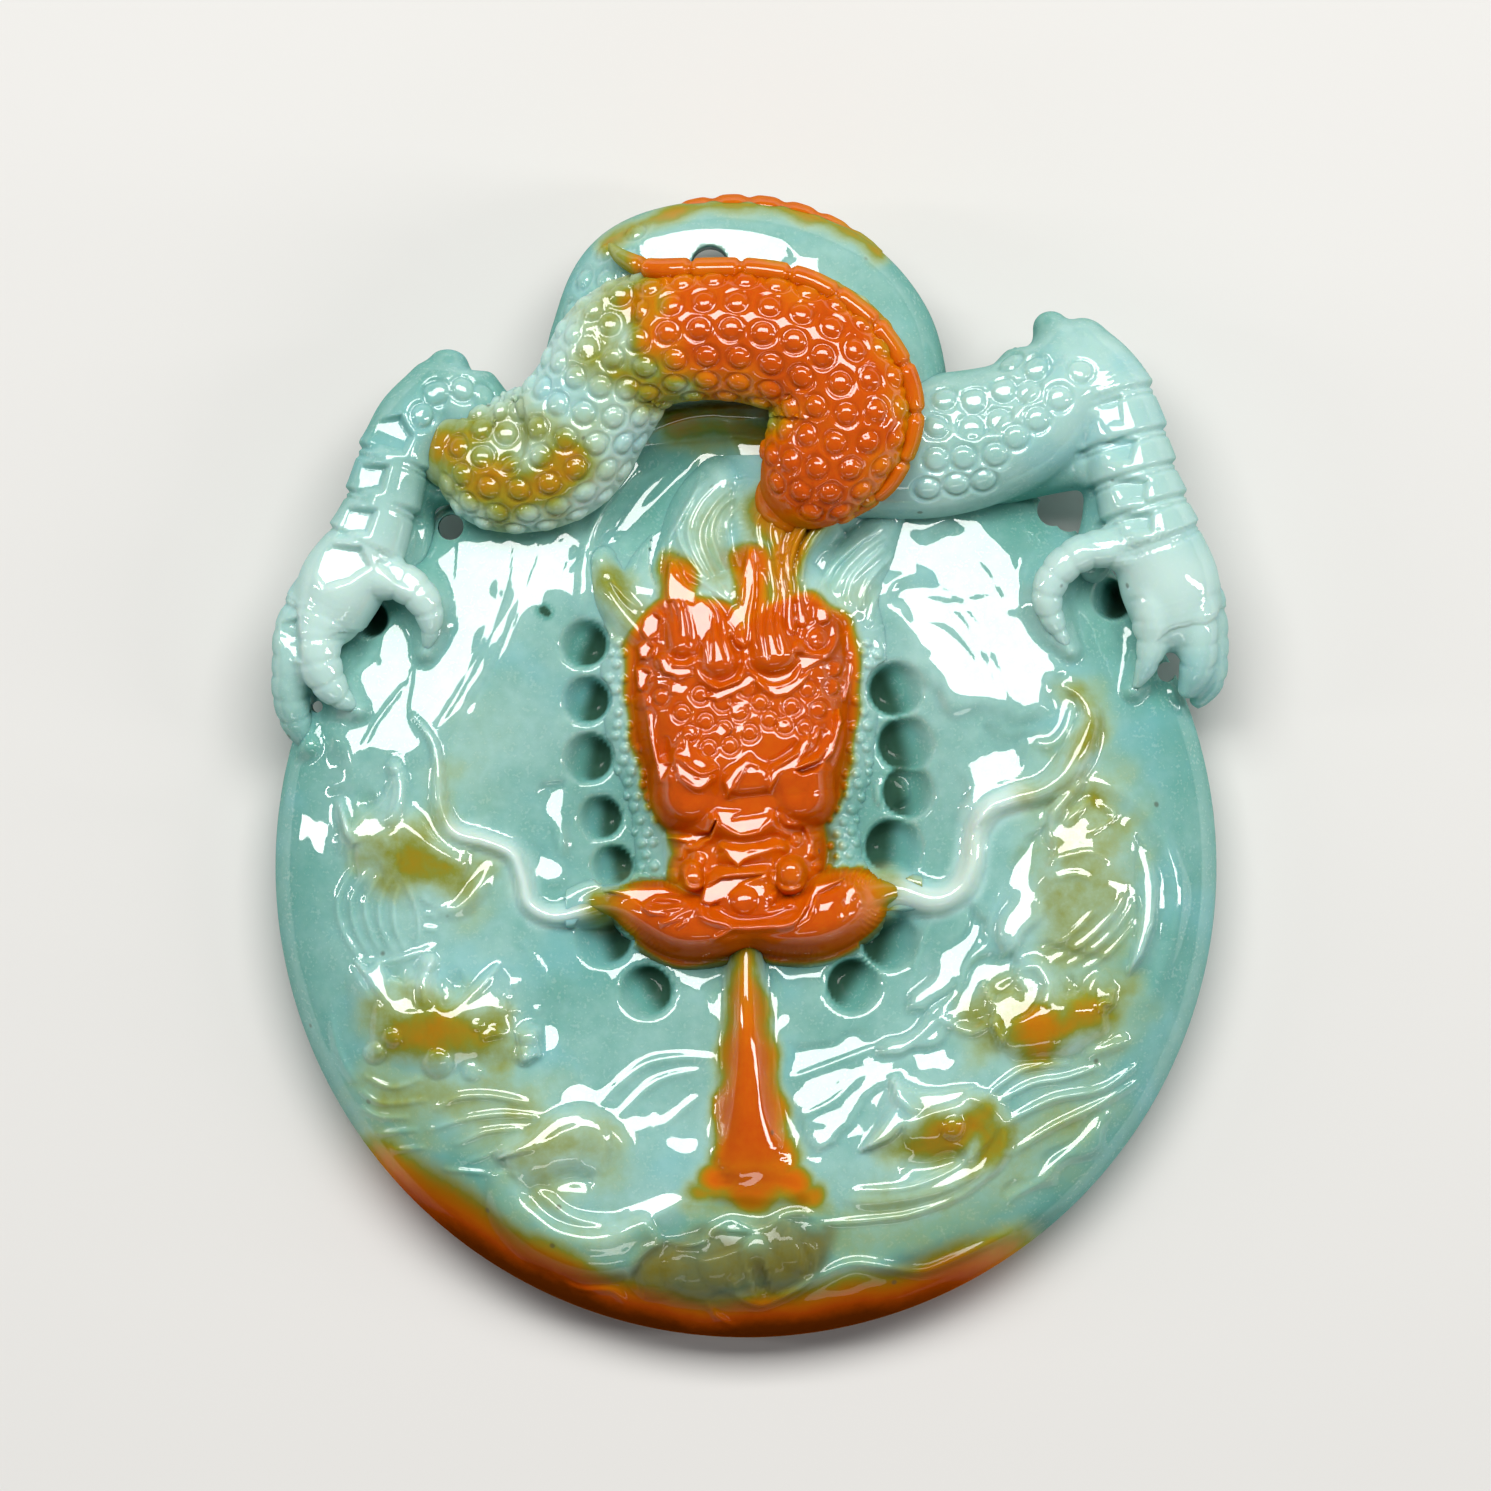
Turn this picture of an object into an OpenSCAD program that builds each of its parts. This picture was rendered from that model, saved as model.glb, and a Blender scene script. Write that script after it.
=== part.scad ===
/* [Stone] */
// Width over the outer claws, in millimetres
stone_w = 48.2; // [40:0.1:60]
// Height from the foot of the disc to the crest of the arch
stone_h = 57.3; // [48:0.1:70]
// Thickness from the back face to the top of the front coil
stone_t = 14; // [11:0.1:18]

/* [Disc] */
// Radius of the round disc
disc_r = 23.65; // [23:0.05:24]
// Height of the disc's widest line above its back face
disc_edge_z = 3; // [2.5:0.1:3.5]
// Height of the disc's front face at its middle
disc_front_z = 7.6; // [7:0.1:8.2]

/* [Drilling] */
// Radius of the hole for the neck cord
cord_hole_r = 0.95; // [0.7:0.05:1.1]
// Radius of the hollows drilled beside the head
hollow_r = 1.35; // [1:0.05:1.6]

/* [Relief] */
// Distance between neighbouring scales
scale_pitch = 1.6; // [1.5:0.05:2]
// Radius of one scale at its foot
scale_r = 0.58; // [0.4:0.02:0.65]
// Height of one scale over the body
scale_rise = 0.4; // [0.2:0.05:0.6]

/* [Hidden] */

disc_x = -0.2;
disc_y = -5;
// The back of the disc would reach this far below its edge if it weren't ground flat
back_depth = 3.2;
front_power = 4;
back_power = 10;
// The ground is sunk round the head by this much, out to this radius
dish_depth = 1.6;
dish_r = 18;

cord_hole_x = -2;
cord_hole_y = 25.1;
// The hole comes out of the arch here, just under the coil's ridge
cord_hole_top_z = 9.6;

disc_sides = 48;
body_sides = 12;
limb_sides = 7;
strand_sides = 6;
thread_sides = 5;
ball_sides = 8;
hole_sides = 12;
scale_sides = 5;
// A scale's foot is sunk this far into the body
scale_sink = 0.25;
// Waves and whiskers stand this much prouder of the disc's face than their rows say
relief_lift = 0.3;

jade = [0.62, 0.82, 0.76];
russet = [0.85, 0.32, 0.04];
amber = [0.72, 0.62, 0.18];

// Rows: x, y, z of the middle of the section, half its width, half its height

// The dragon's body, from its neck over the front coil to the left haunch
body_rows = [
    [0.6, 10.2, 8.6, 1.6, 1.6],
    [1.6, 12.2, 9.3, 2.4, 2.3],
    [3.4, 14.6, 10.0, 3.3, 3.2],
    [4.7, 17.4, 10.3, 3.6, 3.5],
    [3.5, 20.2, 10.4, 3.6, 3.5],
    [0.4, 21.6, 10.5, 3.5, 3.5],
    [-3.2, 21.7, 10.2, 3.4, 3.4],
    [-6.3, 20.9, 9.4, 3.4, 3.3],
    [-7.6, 18.2, 8.6, 3.4, 3.3],
    [-9.4, 15.8, 8.0, 3.5, 3.3],
    [-12.4, 15.0, 7.6, 3.2, 3.0],
    [-15.2, 15.9, 7.2, 2.6, 2.6],
    [-17.0, 17.2, 6.8, 2.0, 2.2],
];
// The smooth loop that rises behind the front coil
arch_rows = [
    [-8.2, 18.0, 5.6, 2.2, 3.0],
    [-7.4, 22.0, 5.8, 2.5, 3.4],
    [-5.2, 24.7, 5.8, 3.1, 3.6],
    [-1.0, 25.3, 5.8, 3.3, 3.6],
    [3.3, 24.3, 5.8, 3.3, 3.6],
    [6.2, 21.4, 5.6, 3.0, 3.4],
    [7.4, 17.6, 5.4, 2.6, 3.0],
];
// The body that comes out behind the coil and runs to the right haunch
right_body_rows = [
    [5.5, 15.8, 6.6, 3.4, 3.2],
    [9.5, 16.0, 6.8, 3.6, 3.4],
    [13.0, 17.4, 6.8, 3.3, 3.3],
    [16.0, 19.2, 6.6, 3.0, 3.2],
    [18.0, 19.2, 6.2, 2.4, 2.8],
];
right_knee_rows = [
    [17.0, 17.6, 6.2, 2.2, 3.0],
    [16.2, 20.0, 6.2, 2.3, 2.8],
    [15.2, 21.6, 6.0, 1.5, 2.0],
    [14.6, 22.9, 5.8, 0.5, 0.8],
];
right_shank_rows = [
    [16.9, 20.8, 6.2, 1.2, 1.6],
    [17.9, 18.6, 6.4, 2.2, 2.7],
    [18.8, 15.8, 6.6, 2.1, 2.5],
    [19.6, 13.2, 6.6, 2.0, 2.3],
    [20.4, 10.8, 6.4, 2.2, 2.3],
    [21.0, 8.6, 5.8, 2.1, 2.0],
];
left_knee_rows = [
    [-16.0, 16.8, 6.2, 1.9, 2.6],
    [-15.6, 18.6, 6.2, 2.0, 2.6],
    [-15.1, 20.2, 6.0, 1.1, 1.6],
    [-15.0, 20.9, 5.8, 0.4, 0.7],
];
left_shank_rows = [
    [-16.2, 19.3, 6.2, 1.1, 1.6],
    [-17.0, 17.2, 6.4, 1.9, 2.5],
    [-17.8, 15.0, 6.6, 1.8, 2.3],
    [-18.5, 12.8, 6.6, 1.7, 2.2],
    [-19.5, 10.6, 6.4, 1.9, 2.2],
    [-20.6, 8.6, 5.8, 2.0, 1.9],
];
// One table for each digit, from its knuckle to its claw
right_digits = [
    [
        [18.6, 10.6, 6.6, 1.0, 1.2],
        [17.0, 10.8, 7.2, 0.9, 1.1],
        [15.6, 10.2, 7.5, 0.85, 1.0],
        [14.9, 8.9, 7.5, 0.8, 0.9],
        [15.3, 7.3, 7.4, 0.6, 0.7],
        [16.0, 5.5, 7.2, 0.2, 0.3],
    ],
    [
        [19.4, 9.8, 6.8, 1.1, 1.2],
        [20.0, 7.9, 7.1, 1.0, 1.2],
        [19.9, 6.2, 7.0, 0.9, 1.1],
        [19.4, 4.8, 6.8, 0.6, 0.8],
        [18.8, 3.4, 6.6, 0.2, 0.3],
    ],
    [
        [21.4, 10.0, 6.0, 1.2, 1.3],
        [22.3, 8.0, 5.9, 1.1, 1.2],
        [22.5, 6.0, 5.7, 1.0, 1.2],
        [22.2, 4.4, 5.5, 0.85, 1.0],
        [21.3, 3.5, 5.4, 0.4, 0.5],
    ],
    [
        [22.0, 9.8, 4.6, 1.1, 1.3],
        [23.1, 7.6, 4.2, 0.95, 1.2],
        [23.4, 5.6, 4.0, 0.7, 1.1],
        [23.2, 4.2, 4.0, 0.7, 1.0],
        [22.4, 3.2, 4.0, 0.4, 0.6],
    ],
];
left_digits = [
    [
        [-19.4, 9.9, 6.6, 0.9, 1.1],
        [-17.9, 9.7, 7.2, 0.85, 1.0],
        [-16.6, 9.0, 7.5, 0.8, 0.9],
        [-16.0, 7.8, 7.5, 0.6, 0.8],
        [-16.1, 6.0, 7.3, 0.2, 0.3],
    ],
    [
        [-21.2, 8.6, 6.2, 1.1, 1.2],
        [-22.0, 6.6, 6.4, 1.05, 1.2],
        [-21.8, 5.0, 6.4, 1.0, 1.2],
        [-21.0, 3.8, 6.3, 0.75, 0.9],
        [-19.6, 3.2, 6.2, 0.2, 0.3],
    ],
    [
        [-22.0, 8.4, 4.8, 1.0, 1.2],
        [-23.1, 6.6, 4.4, 0.9, 1.2],
        [-23.25, 4.8, 4.2, 0.85, 1.1],
        [-23.1, 3.2, 4.0, 0.85, 1.0],
        [-22.5, 1.7, 4.0, 0.7, 0.8],
        [-22.1, 0.8, 4.0, 0.3, 0.4],
    ],
];

// Ridge along the outer side of the front coil
ridge_rows = [
    [-6.9, 25.7, 8.8, 0.3, 0.4],
    [-5.6, 24.9, 9.8, 0.6, 0.7],
    [-3.0, 24.8, 10.6, 0.65, 0.9],
    [0.4, 24.8, 10.8, 0.65, 0.9],
    [3.2, 24.1, 10.8, 0.65, 0.9],
    [5.8, 22.1, 10.8, 0.65, 0.9],
    [7.5, 19.4, 10.8, 0.65, 0.9],
    [7.8, 16.6, 10.6, 0.65, 0.9],
    [6.4, 14.0, 10.2, 0.6, 0.8],
    [4.4, 12.4, 9.6, 0.3, 0.4],
];
// Notched ridge on the far side of the arch: number of lobes, and its first and last angle about its middle
crest_lobes = 7;
crest_middle = [-0.4, 18.6];
crest_radius = 9.3;
crest_from = 58;
crest_to = 126;
crest_lobe_r = 0.8;
crest_z = 5;

skull_rows = [
    [-0.1, 9.0, 8.2, 1.6, 1.4],
    [-0.2, 7.9, 8.4, 4.6, 2.4],
    [-0.3, 6.0, 8.6, 5.5, 3.1],
    [-0.3, 3.5, 8.7, 5.7, 3.4],
    [-0.1, 0.6, 8.7, 5.1, 3.2],
    [-0.1, -1.4, 8.6, 4.5, 2.9],
    [-0.1, -3.0, 8.3, 3.8, 2.4],
    [-0.1, -4.4, 8.2, 3.8, 2.4],
    [-0.1, -5.6, 8.1, 3.6, 2.3],
    [-0.1, -7.2, 7.8, 3.0, 1.9],
];
lip_rows = [
    [-6.7, -6.5, 7.6, 0.6, 0.7],
    [-4.9, -7.3, 8.2, 1.2, 1.6],
    [-2.4, -8.1, 8.7, 1.35, 1.9],
    [-0.2, -7.8, 8.9, 1.3, 1.8],
    [2.2, -8.0, 8.7, 1.35, 1.9],
    [4.6, -7.0, 8.2, 1.3, 1.6],
    [6.1, -5.9, 7.6, 0.7, 0.7],
];
flames = [
    [
        [-2.4, 5.6, 10.4, 1.2, 1.4],
        [-3.0, 7.8, 9.8, 1.1, 1.1],
        [-3.8, 10.1, 8.8, 0.2, 0.3],
    ],
    [
        [0.4, 6.2, 10.6, 1.3, 1.5],
        [0.4, 8.6, 10.0, 0.9, 1.1],
        [0.0, 10.8, 9.2, 0.2, 0.3],
    ],
    [
        [2.2, 6.2, 10.4, 0.9, 1.2],
        [2.3, 8.8, 9.8, 0.6, 0.9],
        [3.0, 11.0, 9.4, 0.5, 0.7],
        [4.2, 12.4, 9.0, 0.3, 0.3],
    ],
];
horns = [
    [
        [-5.2, 5.4, 7.6, 0.9, 0.9],
        [-6.3, 8.0, 7.8, 0.8, 0.8],
        [-7.3, 10.2, 7.6, 0.35, 0.4],
    ],
    [
        [4.8, 6.0, 7.6, 0.8, 0.8],
        [5.2, 8.0, 7.8, 0.6, 0.7],
        [4.9, 9.2, 7.6, 0.2, 0.3],
    ],
];
// Strands of the mane: foot and tip of each
mane_strands = [
    [[-1.0, 8.4], [-1.4, 13.0]],
    [[-2.0, 8.6], [-2.9, 12.9]],
    [[-3.2, 8.8], [-4.2, 12.2]],
    [[3.6, 8.4], [6.4, 12.6]],
    [[4.4, 8.4], [7.4, 12.0]],
];
mane_z = 7.6;
mane_r = 0.55;
// Rounded forms on the head: x, y, z, radius
head_knobs = [
    [-1.8, 5.6, 10.8, 1.5],
    [1.2, 6.0, 10.8, 1.8],
    [-4.6, 6.8, 9.4, 1.2],
    [4.2, 6.7, 9.4, 1.4],
    [-2.6, -1.8, 9.7, 1.8],
    [2.4, -1.8, 9.7, 1.8],
    [-2.5, -4.9, 9.8, 0.9],
    [2.3, -4.9, 9.8, 0.9],
    [-0.1, -6.4, 9.0, 1.9],
];

column_rows = [
    [0.0, -9.0, 7.8, 0.7, 1.0],
    [0.0, -11.0, 7.9, 1.1, 1.6],
    [0.0, -14.0, 7.7, 1.35, 1.7],
    [0.0, -17.0, 7.3, 1.65, 1.6],
    [0.1, -19.2, 6.8, 2.2, 1.4],
    [0.2, -20.8, 6.2, 3.1, 1.1],
    [0.2, -21.8, 5.7, 3.3, 0.5],
];

// Rows below: x, y, height above the disc's face, half width, half height
left_whisker_rows = [
    [-5.6, -6.6, 0.6, 0.75, 0.9],
    [-8.4, -7.2, 0.3, 0.65, 0.8],
    [-10.4, -7.4, 0.3, 0.6, 0.7],
    [-11.6, -6.0, 0.3, 0.5, 0.6],
    [-12.4, -4.3, 0.2, 0.4, 0.5],
    [-14.2, -3.7, 0.2, 0.4, 0.5],
    [-15.2, -1.8, 0.2, 0.35, 0.4],
    [-15.5, 0.4, 0.1, 0.3, 0.4],
    [-16.5, 2.4, 0.0, 0.15, 0.2],
];
right_whisker_rows = [
    [5.6, -6.0, 0.6, 0.75, 0.9],
    [8.0, -6.2, 0.3, 0.7, 0.8],
    [10.2, -5.9, 0.3, 0.6, 0.7],
    [11.2, -4.3, 0.3, 0.5, 0.6],
    [11.6, -2.2, 0.2, 0.5, 0.6],
    [13.2, -1.3, 0.2, 0.5, 0.6],
    [15.2, -0.2, 0.3, 0.6, 0.7],
    [16.6, 1.8, 0.3, 0.5, 0.6],
    [16.5, 3.3, 0.2, 0.4, 0.4],
    [15.6, 4.1, 0.0, 0.15, 0.2],
];
// Crests of the waves
wave_crests = [
    [
        [-20.5, -2.0, 0.0, 0.3, 0.3],
        [-19.4, -3.2, 0.0, 0.9, 0.7],
        [-17.0, -4.3, 0.0, 1.6, 0.9],
        [-14.6, -5.2, 0.0, 1.0, 0.7],
        [-13.0, -5.0, 0.0, 0.3, 0.3],
    ],
    [
        [-17.9, 0.2, 0.0, 0.3, 0.4],
        [-17.8, -1.4, 0.0, 0.6, 0.6],
        [-17.0, -3.4, 0.0, 1.1, 0.7],
    ],
    [
        [-19.5, -10.2, 0.0, 0.5, 0.3],
        [-18.0, -11.6, 0.0, 1.2, 0.8],
        [-15.6, -12.6, 0.0, 1.5, 0.9],
        [-13.4, -11.6, 0.0, 0.9, 0.6],
        [-12.3, -9.9, 0.0, 0.3, 0.4],
    ],
    [
        [-16.0, -9.6, 0.0, 0.5, 0.5],
        [-16.4, -11.0, 0.0, 0.7, 0.6],
        [-16.2, -12.6, 0.0, 0.9, 0.6],
    ],
    [
        [-12.6, -19.2, 0.0, 0.4, 0.4],
        [-10.4, -18.6, 0.0, 0.9, 0.8],
        [-8.4, -18.2, 0.0, 1.0, 0.9],
        [-6.9, -19.4, 0.0, 0.4, 0.4],
    ],
    [
        [-12.8, -20.4, 0.0, 0.7, 0.5],
        [-11.2, -22.2, 0.0, 1.2, 0.8],
        [-7.8, -23.8, 0.1, 1.3, 0.9],
        [-4.4, -23.2, 0.1, 1.0, 0.6],
    ],
    [
        [-5.6, -25.0, 0.2, 0.8, 0.5],
        [-3.2, -24.6, 0.3, 1.2, 0.9],
        [0.0, -23.8, 0.3, 1.2, 0.9],
        [2.6, -23.4, 0.2, 1.0, 0.8],
        [3.4, -24.8, 0.1, 0.5, 0.5],
    ],
    [
        [-2.4, -26.6, 0.6, 0.4, 0.3],
        [1.0, -27.0, 0.8, 0.6, 0.5],
        [4.6, -25.6, 0.4, 0.6, 0.5],
        [8.4, -25.3, 0.6, 0.5, 0.5],
        [11.2, -24.2, 0.7, 0.3, 0.3],
    ],
    [
        [7.3, -15.4, 0.0, 0.3, 0.4],
        [8.0, -16.8, 0.0, 0.9, 0.8],
        [10.2, -16.9, 0.0, 1.1, 0.9],
        [12.0, -18.0, 0.0, 0.9, 0.8],
        [11.4, -19.8, 0.0, 0.8, 0.6],
        [8.6, -20.8, 0.0, 0.6, 0.5],
    ],
    [
        [14.0, -9.8, 0.0, 0.4, 0.5],
        [14.2, -11.4, 0.0, 1.0, 0.8],
        [14.6, -13.0, 0.0, 1.6, 0.9],
        [17.2, -12.8, 0.0, 0.9, 0.6],
    ],
    [
        [11.9, -11.1, 0.0, 0.3, 0.3],
        [12.6, -12.4, 0.0, 0.9, 0.7],
        [13.6, -13.4, 0.0, 1.0, 0.6],
    ],
    [
        [16.2, -1.6, 0.0, 0.8, 0.5],
        [18.2, -3.2, 0.0, 1.3, 0.7],
        [19.0, -5.8, 0.0, 1.2, 0.8],
        [18.4, -8.6, 0.0, 1.0, 0.6],
        [17.2, -10.2, 0.0, 0.4, 0.3],
    ],
];
// Foam and curls: x, y, radius
foam_balls = [
    [-18.6, -14.0, 0.9],
    [-15.9, -14.6, 1.0],
    [-13.8, -14.9, 0.8],
    [-9.4, -20.4, 1.0],
    [0.7, -25.4, 1.2],
    [10.2, -18.2, 0.7],
];
// Hollows beside the head: x and y
hollows = [
    [-8.0, 3.2],
    [-8.0, 0.4],
    [-7.8, -2.7],
    [-7.2, -5.0],
    [-7.0, -8.9],
    [-4.9, -11.1],
    [7.2, 4.2],
    [7.8, 1.2],
    [7.2, -3.6],
    [6.7, -8.6],
    [4.8, -10.8],
];
// Holes right through beside the legs: x, y, radius
leg_holes = [
    [-15.4, 12.3, 0.7],
    [-21.6, 3.0, 0.4],
    [15.1, 13.0, 0.75],
    [16.1, 12.6, 0.75],
    [20.9, 4.7, 0.5],
];
// Deep blind holes between the claws: x, y, radius
claw_pits = [
    [-19.1, 7.5, 0.9],
    [18.2, 8.6, 0.95],
];
claw_pit_floor = 3;

// The disc's front face, as a height above the back face
function disc_face(x, y) =
    let (
        from_middle = norm([x - disc_x, y - disc_y]),
        far = min(from_middle / disc_r, 1),
        dish = max(0, 1 - pow(from_middle / dish_r, 2))
    )
    disc_edge_z + (disc_front_z - disc_edge_z) * sqrt(1 - pow(far, front_power)) - dish_depth * dish * dish;

function disc_back(far) = max(0, disc_edge_z - back_depth * sqrt(1 - pow(far, back_power)));

// Half of the disc's outline, from the middle of its back round the edge to the middle of its front
function disc_outline() = concat(
    [[0, 0]],
    [for (a = [50:10:90]) [disc_r * sin(a), disc_back(sin(a))]],
    [for (a = [10:10:90]) [disc_r * cos(a), disc_face(disc_x + disc_r * cos(a), disc_y)]]
);

// A point on the Catmull-Rom curve through four rows
function curve_at(a, b, c, d, t) =
    (2 * b + (c - a) * t + (2 * a - 5 * b + 4 * c - d) * t * t + (3 * b - a - 3 * c + d) * t * t * t) / 2;

function row_at(rows, i) = rows[max(0, min(len(rows) - 1, i))];

// Rows along the curve through a table's rows
function along(rows, steps) = concat(
    [for (i = [0:len(rows) - 2], s = [0:steps - 1])
        curve_at(row_at(rows, i - 1), rows[i], rows[i + 1], row_at(rows, i + 2), s / steps)],
    [rows[len(rows) - 1]]
);

function place(row) = [row[0], row[1], row[2]];

function unit(v) = v / norm(v);

// The last row that is no further along than this
function row_reached(reach, at) = max([for (k = [0:len(reach) - 1]) if (reach[k] <= at) k]);

// A ring of points round one row, square to the curve
function section(rows, i, sides) =
    let (
        forward = unit(place(row_at(rows, i + 1)) - place(row_at(rows, i - 1))),
        side = unit(cross([0, 0, 1], forward)),
        up = cross(forward, side)
    )
    [for (k = [0:sides - 1])
        let (a = 360 * k / sides)
        place(rows[i]) + side * rows[i][3] * cos(a) + up * rows[i][4] * sin(a)];

// A rounded form swept through a table of rows
module sweep(rows, steps = 2, sides = limb_sides) {
    curve = along(rows, steps);
    last = len(curve) - 1;
    rings = [for (i = [0:last]) section(curve, i, sides)];
    walls = [for (i = [0:last - 1], k = [0:sides - 1])
        let (a = i * sides + k, b = i * sides + (k + 1) % sides)
        each [[a, b + sides, b], [a, a + sides, b + sides]]];
    polyhedron(
        points = [for (ring = rings) each ring],
        faces = concat(
            walls,
            [[for (k = [0:sides - 1]) k]],
            [[for (k = [0:sides - 1]) last * sides + sides - 1 - k]]
        )
    );
}

// The same for a table whose heights are measured from the disc's face
module sweep_on_disc(rows, steps = 2, sides = thread_sides) {
    sweep([for (r = rows) [r[0], r[1], disc_face(r[0], r[1]) + r[2] + relief_lift, r[3], r[4]]], steps, sides);
}

module disc() {
    color(jade) translate([disc_x, disc_y, 0]) rotate_extrude($fn = disc_sides) polygon(disc_outline());
}

// One scale: a low point on the surface, its foot sunk into it
module scale_point(foot, out) {
    side = unit(cross(out, [1, 2, 0]));
    up = cross(out, side);
    polyhedron(
        points = concat(
            [for (k = [0:scale_sides - 1])
                let (a = 360 * k / scale_sides)
                foot - out * scale_sink + (side * cos(a) + up * sin(a)) * scale_r],
            [foot + out * scale_rise]
        ),
        faces = concat(
            [[for (k = [0:scale_sides - 1]) k]],
            [for (k = [0:scale_sides - 1]) [(k + 1) % scale_sides, k, scale_sides]]
        )
    );
}

// Scales in staggered rows over the upper side of a swept body, between two shares of its length
module scales(rows, first, last, lean = 54, fan = 2) {
    curve = along(rows, 12);
    reach = [for (i = 0, s = 0; i < len(curve);
        s = s + (i + 1 < len(curve) ? norm(place(curve[i + 1]) - place(curve[i])) : 0), i = i + 1) s];
    total = reach[len(reach) - 1];
    for (n = [0:floor((last - first) * total / scale_pitch)]) {
        i = row_reached(reach, first * total + n * scale_pitch);
        forward = unit(place(row_at(curve, i + 1)) - place(row_at(curve, i - 1)));
        side = unit(cross([0, 0, 1], forward));
        up = cross(forward, side);
        for (k = [-fan:fan]) {
            a = (k + (n % 2) / 2) * lean / fan;
            if (abs(a) <= lean)
                scale_point(
                    place(curve[i]) + side * curve[i][3] * sin(a) + up * curve[i][4] * cos(a),
                    unit(side * sin(a) / curve[i][3] + up * cos(a) / curve[i][4])
                );
        }
    }
}

module body() {
    color(russet) sweep(body_rows, 2, body_sides);
    color(russet) sweep(ridge_rows, 2, strand_sides);
    color(amber) scales(body_rows, 0.14, 0.93);
}

module arch() {
    color(jade) sweep(arch_rows, 2, body_sides);
    color(russet)
        for (i = [0:crest_lobes - 1]) {
            a = crest_from + (crest_to - crest_from) * i / (crest_lobes - 1);
            translate([crest_middle[0] + crest_radius * cos(a), crest_middle[1] + crest_radius * sin(a), crest_z])
                sphere(crest_lobe_r, $fn = ball_sides);
        }
}

module right_limb() {
    color(jade) sweep(right_body_rows, 2, body_sides);
    color(jade) sweep(right_knee_rows);
    color(jade) sweep(right_shank_rows);
    color(jade) for (digit = right_digits) sweep(digit, 2, thread_sides);
    color(jade) scales(right_body_rows, 0.3, 0.9);
}

module left_limb() {
    color(jade) sweep(left_knee_rows);
    color(jade) sweep(left_shank_rows);
    color(jade) for (digit = left_digits) sweep(digit, 2, thread_sides);
}

module head() {
    color(russet) sweep(skull_rows, 2, body_sides);
    color(russet) sweep(lip_rows, 2);
    color(russet) for (knob = head_knobs) translate(place(knob)) sphere(knob[3], $fn = ball_sides);
    color(russet) scales(skull_rows, 0.32, 0.58, 42, 3);
    color(russet) for (flame = flames) sweep(flame, 2, strand_sides);
}

module mane() {
    color(amber) for (horn = horns) sweep(horn, 1, strand_sides);
    color(amber)
        for (s = mane_strands)
            sweep([
                [s[0][0], s[0][1], mane_z, mane_r, mane_r],
                [(s[0][0] + s[1][0]) / 2, (s[0][1] + s[1][1]) / 2, mane_z + mane_r / 2, mane_r, mane_r],
                [s[1][0], s[1][1], mane_z - mane_r, mane_r / 2, mane_r / 2],
            ], 1, strand_sides);
}

module whiskers() {
    color(amber) sweep_on_disc(left_whisker_rows);
    color(amber) sweep_on_disc(right_whisker_rows);
}

module water_column() {
    color(russet) sweep(column_rows, 2);
}

module waves() {
    color(amber) for (crest = wave_crests) sweep_on_disc(crest, 1);
    color(jade) for (b = foam_balls) translate([b[0], b[1], disc_face(b[0], b[1])]) sphere(b[2], $fn = ball_sides);
}

module drilled_hollows() {
    for (h = hollows) translate([h[0], h[1], disc_face(h[0], h[1])]) sphere(hollow_r, $fn = ball_sides);
    for (h = leg_holes) translate([h[0], h[1], -1]) cylinder(r = h[2], h = stone_t, $fn = hole_sides);
    for (h = claw_pits) translate([h[0], h[1], claw_pit_floor]) cylinder(r = h[2], h = stone_t, $fn = hole_sides);
}

module carving() {
    difference() {
        union() {
            disc();
            waves();
            arch();
            right_limb();
            left_limb();
        }
        drilled_hollows();
    }
    body();
    mane();
    head();
    whiskers();
    water_column();
}

module cord_hole() {
    translate([cord_hole_x, cord_hole_y, 0]) cylinder(r = cord_hole_r, h = cord_hole_top_z, $fn = 48);
}

module carved_stone() {
    difference() {
        resize([stone_w, stone_h, stone_t]) carving();
        cord_hole();
    }
}

carved_stone();
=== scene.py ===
"""Looks of the jadeite dragon plaque pendant.

The stone lies on its back. It is carved in millimetres, feature by feature, and each feature
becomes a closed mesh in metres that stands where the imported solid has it.
"""

import logging
import math
from collections.abc import Callable, Sequence
from dataclasses import dataclass, field
from enum import Enum
from typing import ClassVar

import bmesh
import bpy
import numpy as np
from mathutils import Matrix, Vector


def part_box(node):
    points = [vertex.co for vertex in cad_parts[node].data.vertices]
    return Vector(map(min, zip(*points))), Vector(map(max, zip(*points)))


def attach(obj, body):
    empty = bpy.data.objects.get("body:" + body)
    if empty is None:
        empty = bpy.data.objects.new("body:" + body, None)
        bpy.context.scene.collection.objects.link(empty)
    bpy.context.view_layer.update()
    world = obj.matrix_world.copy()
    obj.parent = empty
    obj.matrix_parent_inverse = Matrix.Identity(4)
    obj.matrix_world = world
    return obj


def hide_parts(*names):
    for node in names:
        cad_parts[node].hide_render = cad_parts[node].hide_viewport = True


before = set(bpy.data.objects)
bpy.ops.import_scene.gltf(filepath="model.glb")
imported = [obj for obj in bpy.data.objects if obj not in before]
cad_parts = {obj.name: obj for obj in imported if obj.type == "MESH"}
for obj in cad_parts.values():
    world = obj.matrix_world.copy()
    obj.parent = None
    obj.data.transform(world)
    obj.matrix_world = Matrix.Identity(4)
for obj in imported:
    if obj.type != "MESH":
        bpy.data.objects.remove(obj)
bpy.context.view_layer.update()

NODE = "carved_stone"
BODY = "root"
MM = 0.001
UP = np.array([0.0, 0.0, 1.0])
# A distance beyond anything on the stone, and one that only keeps a division away from zero.
FAR = 99.0
TINY = 1e-9
# Points that are compared with a curve or with the scales at a time, to save memory.
BLOCK = 8192

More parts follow.
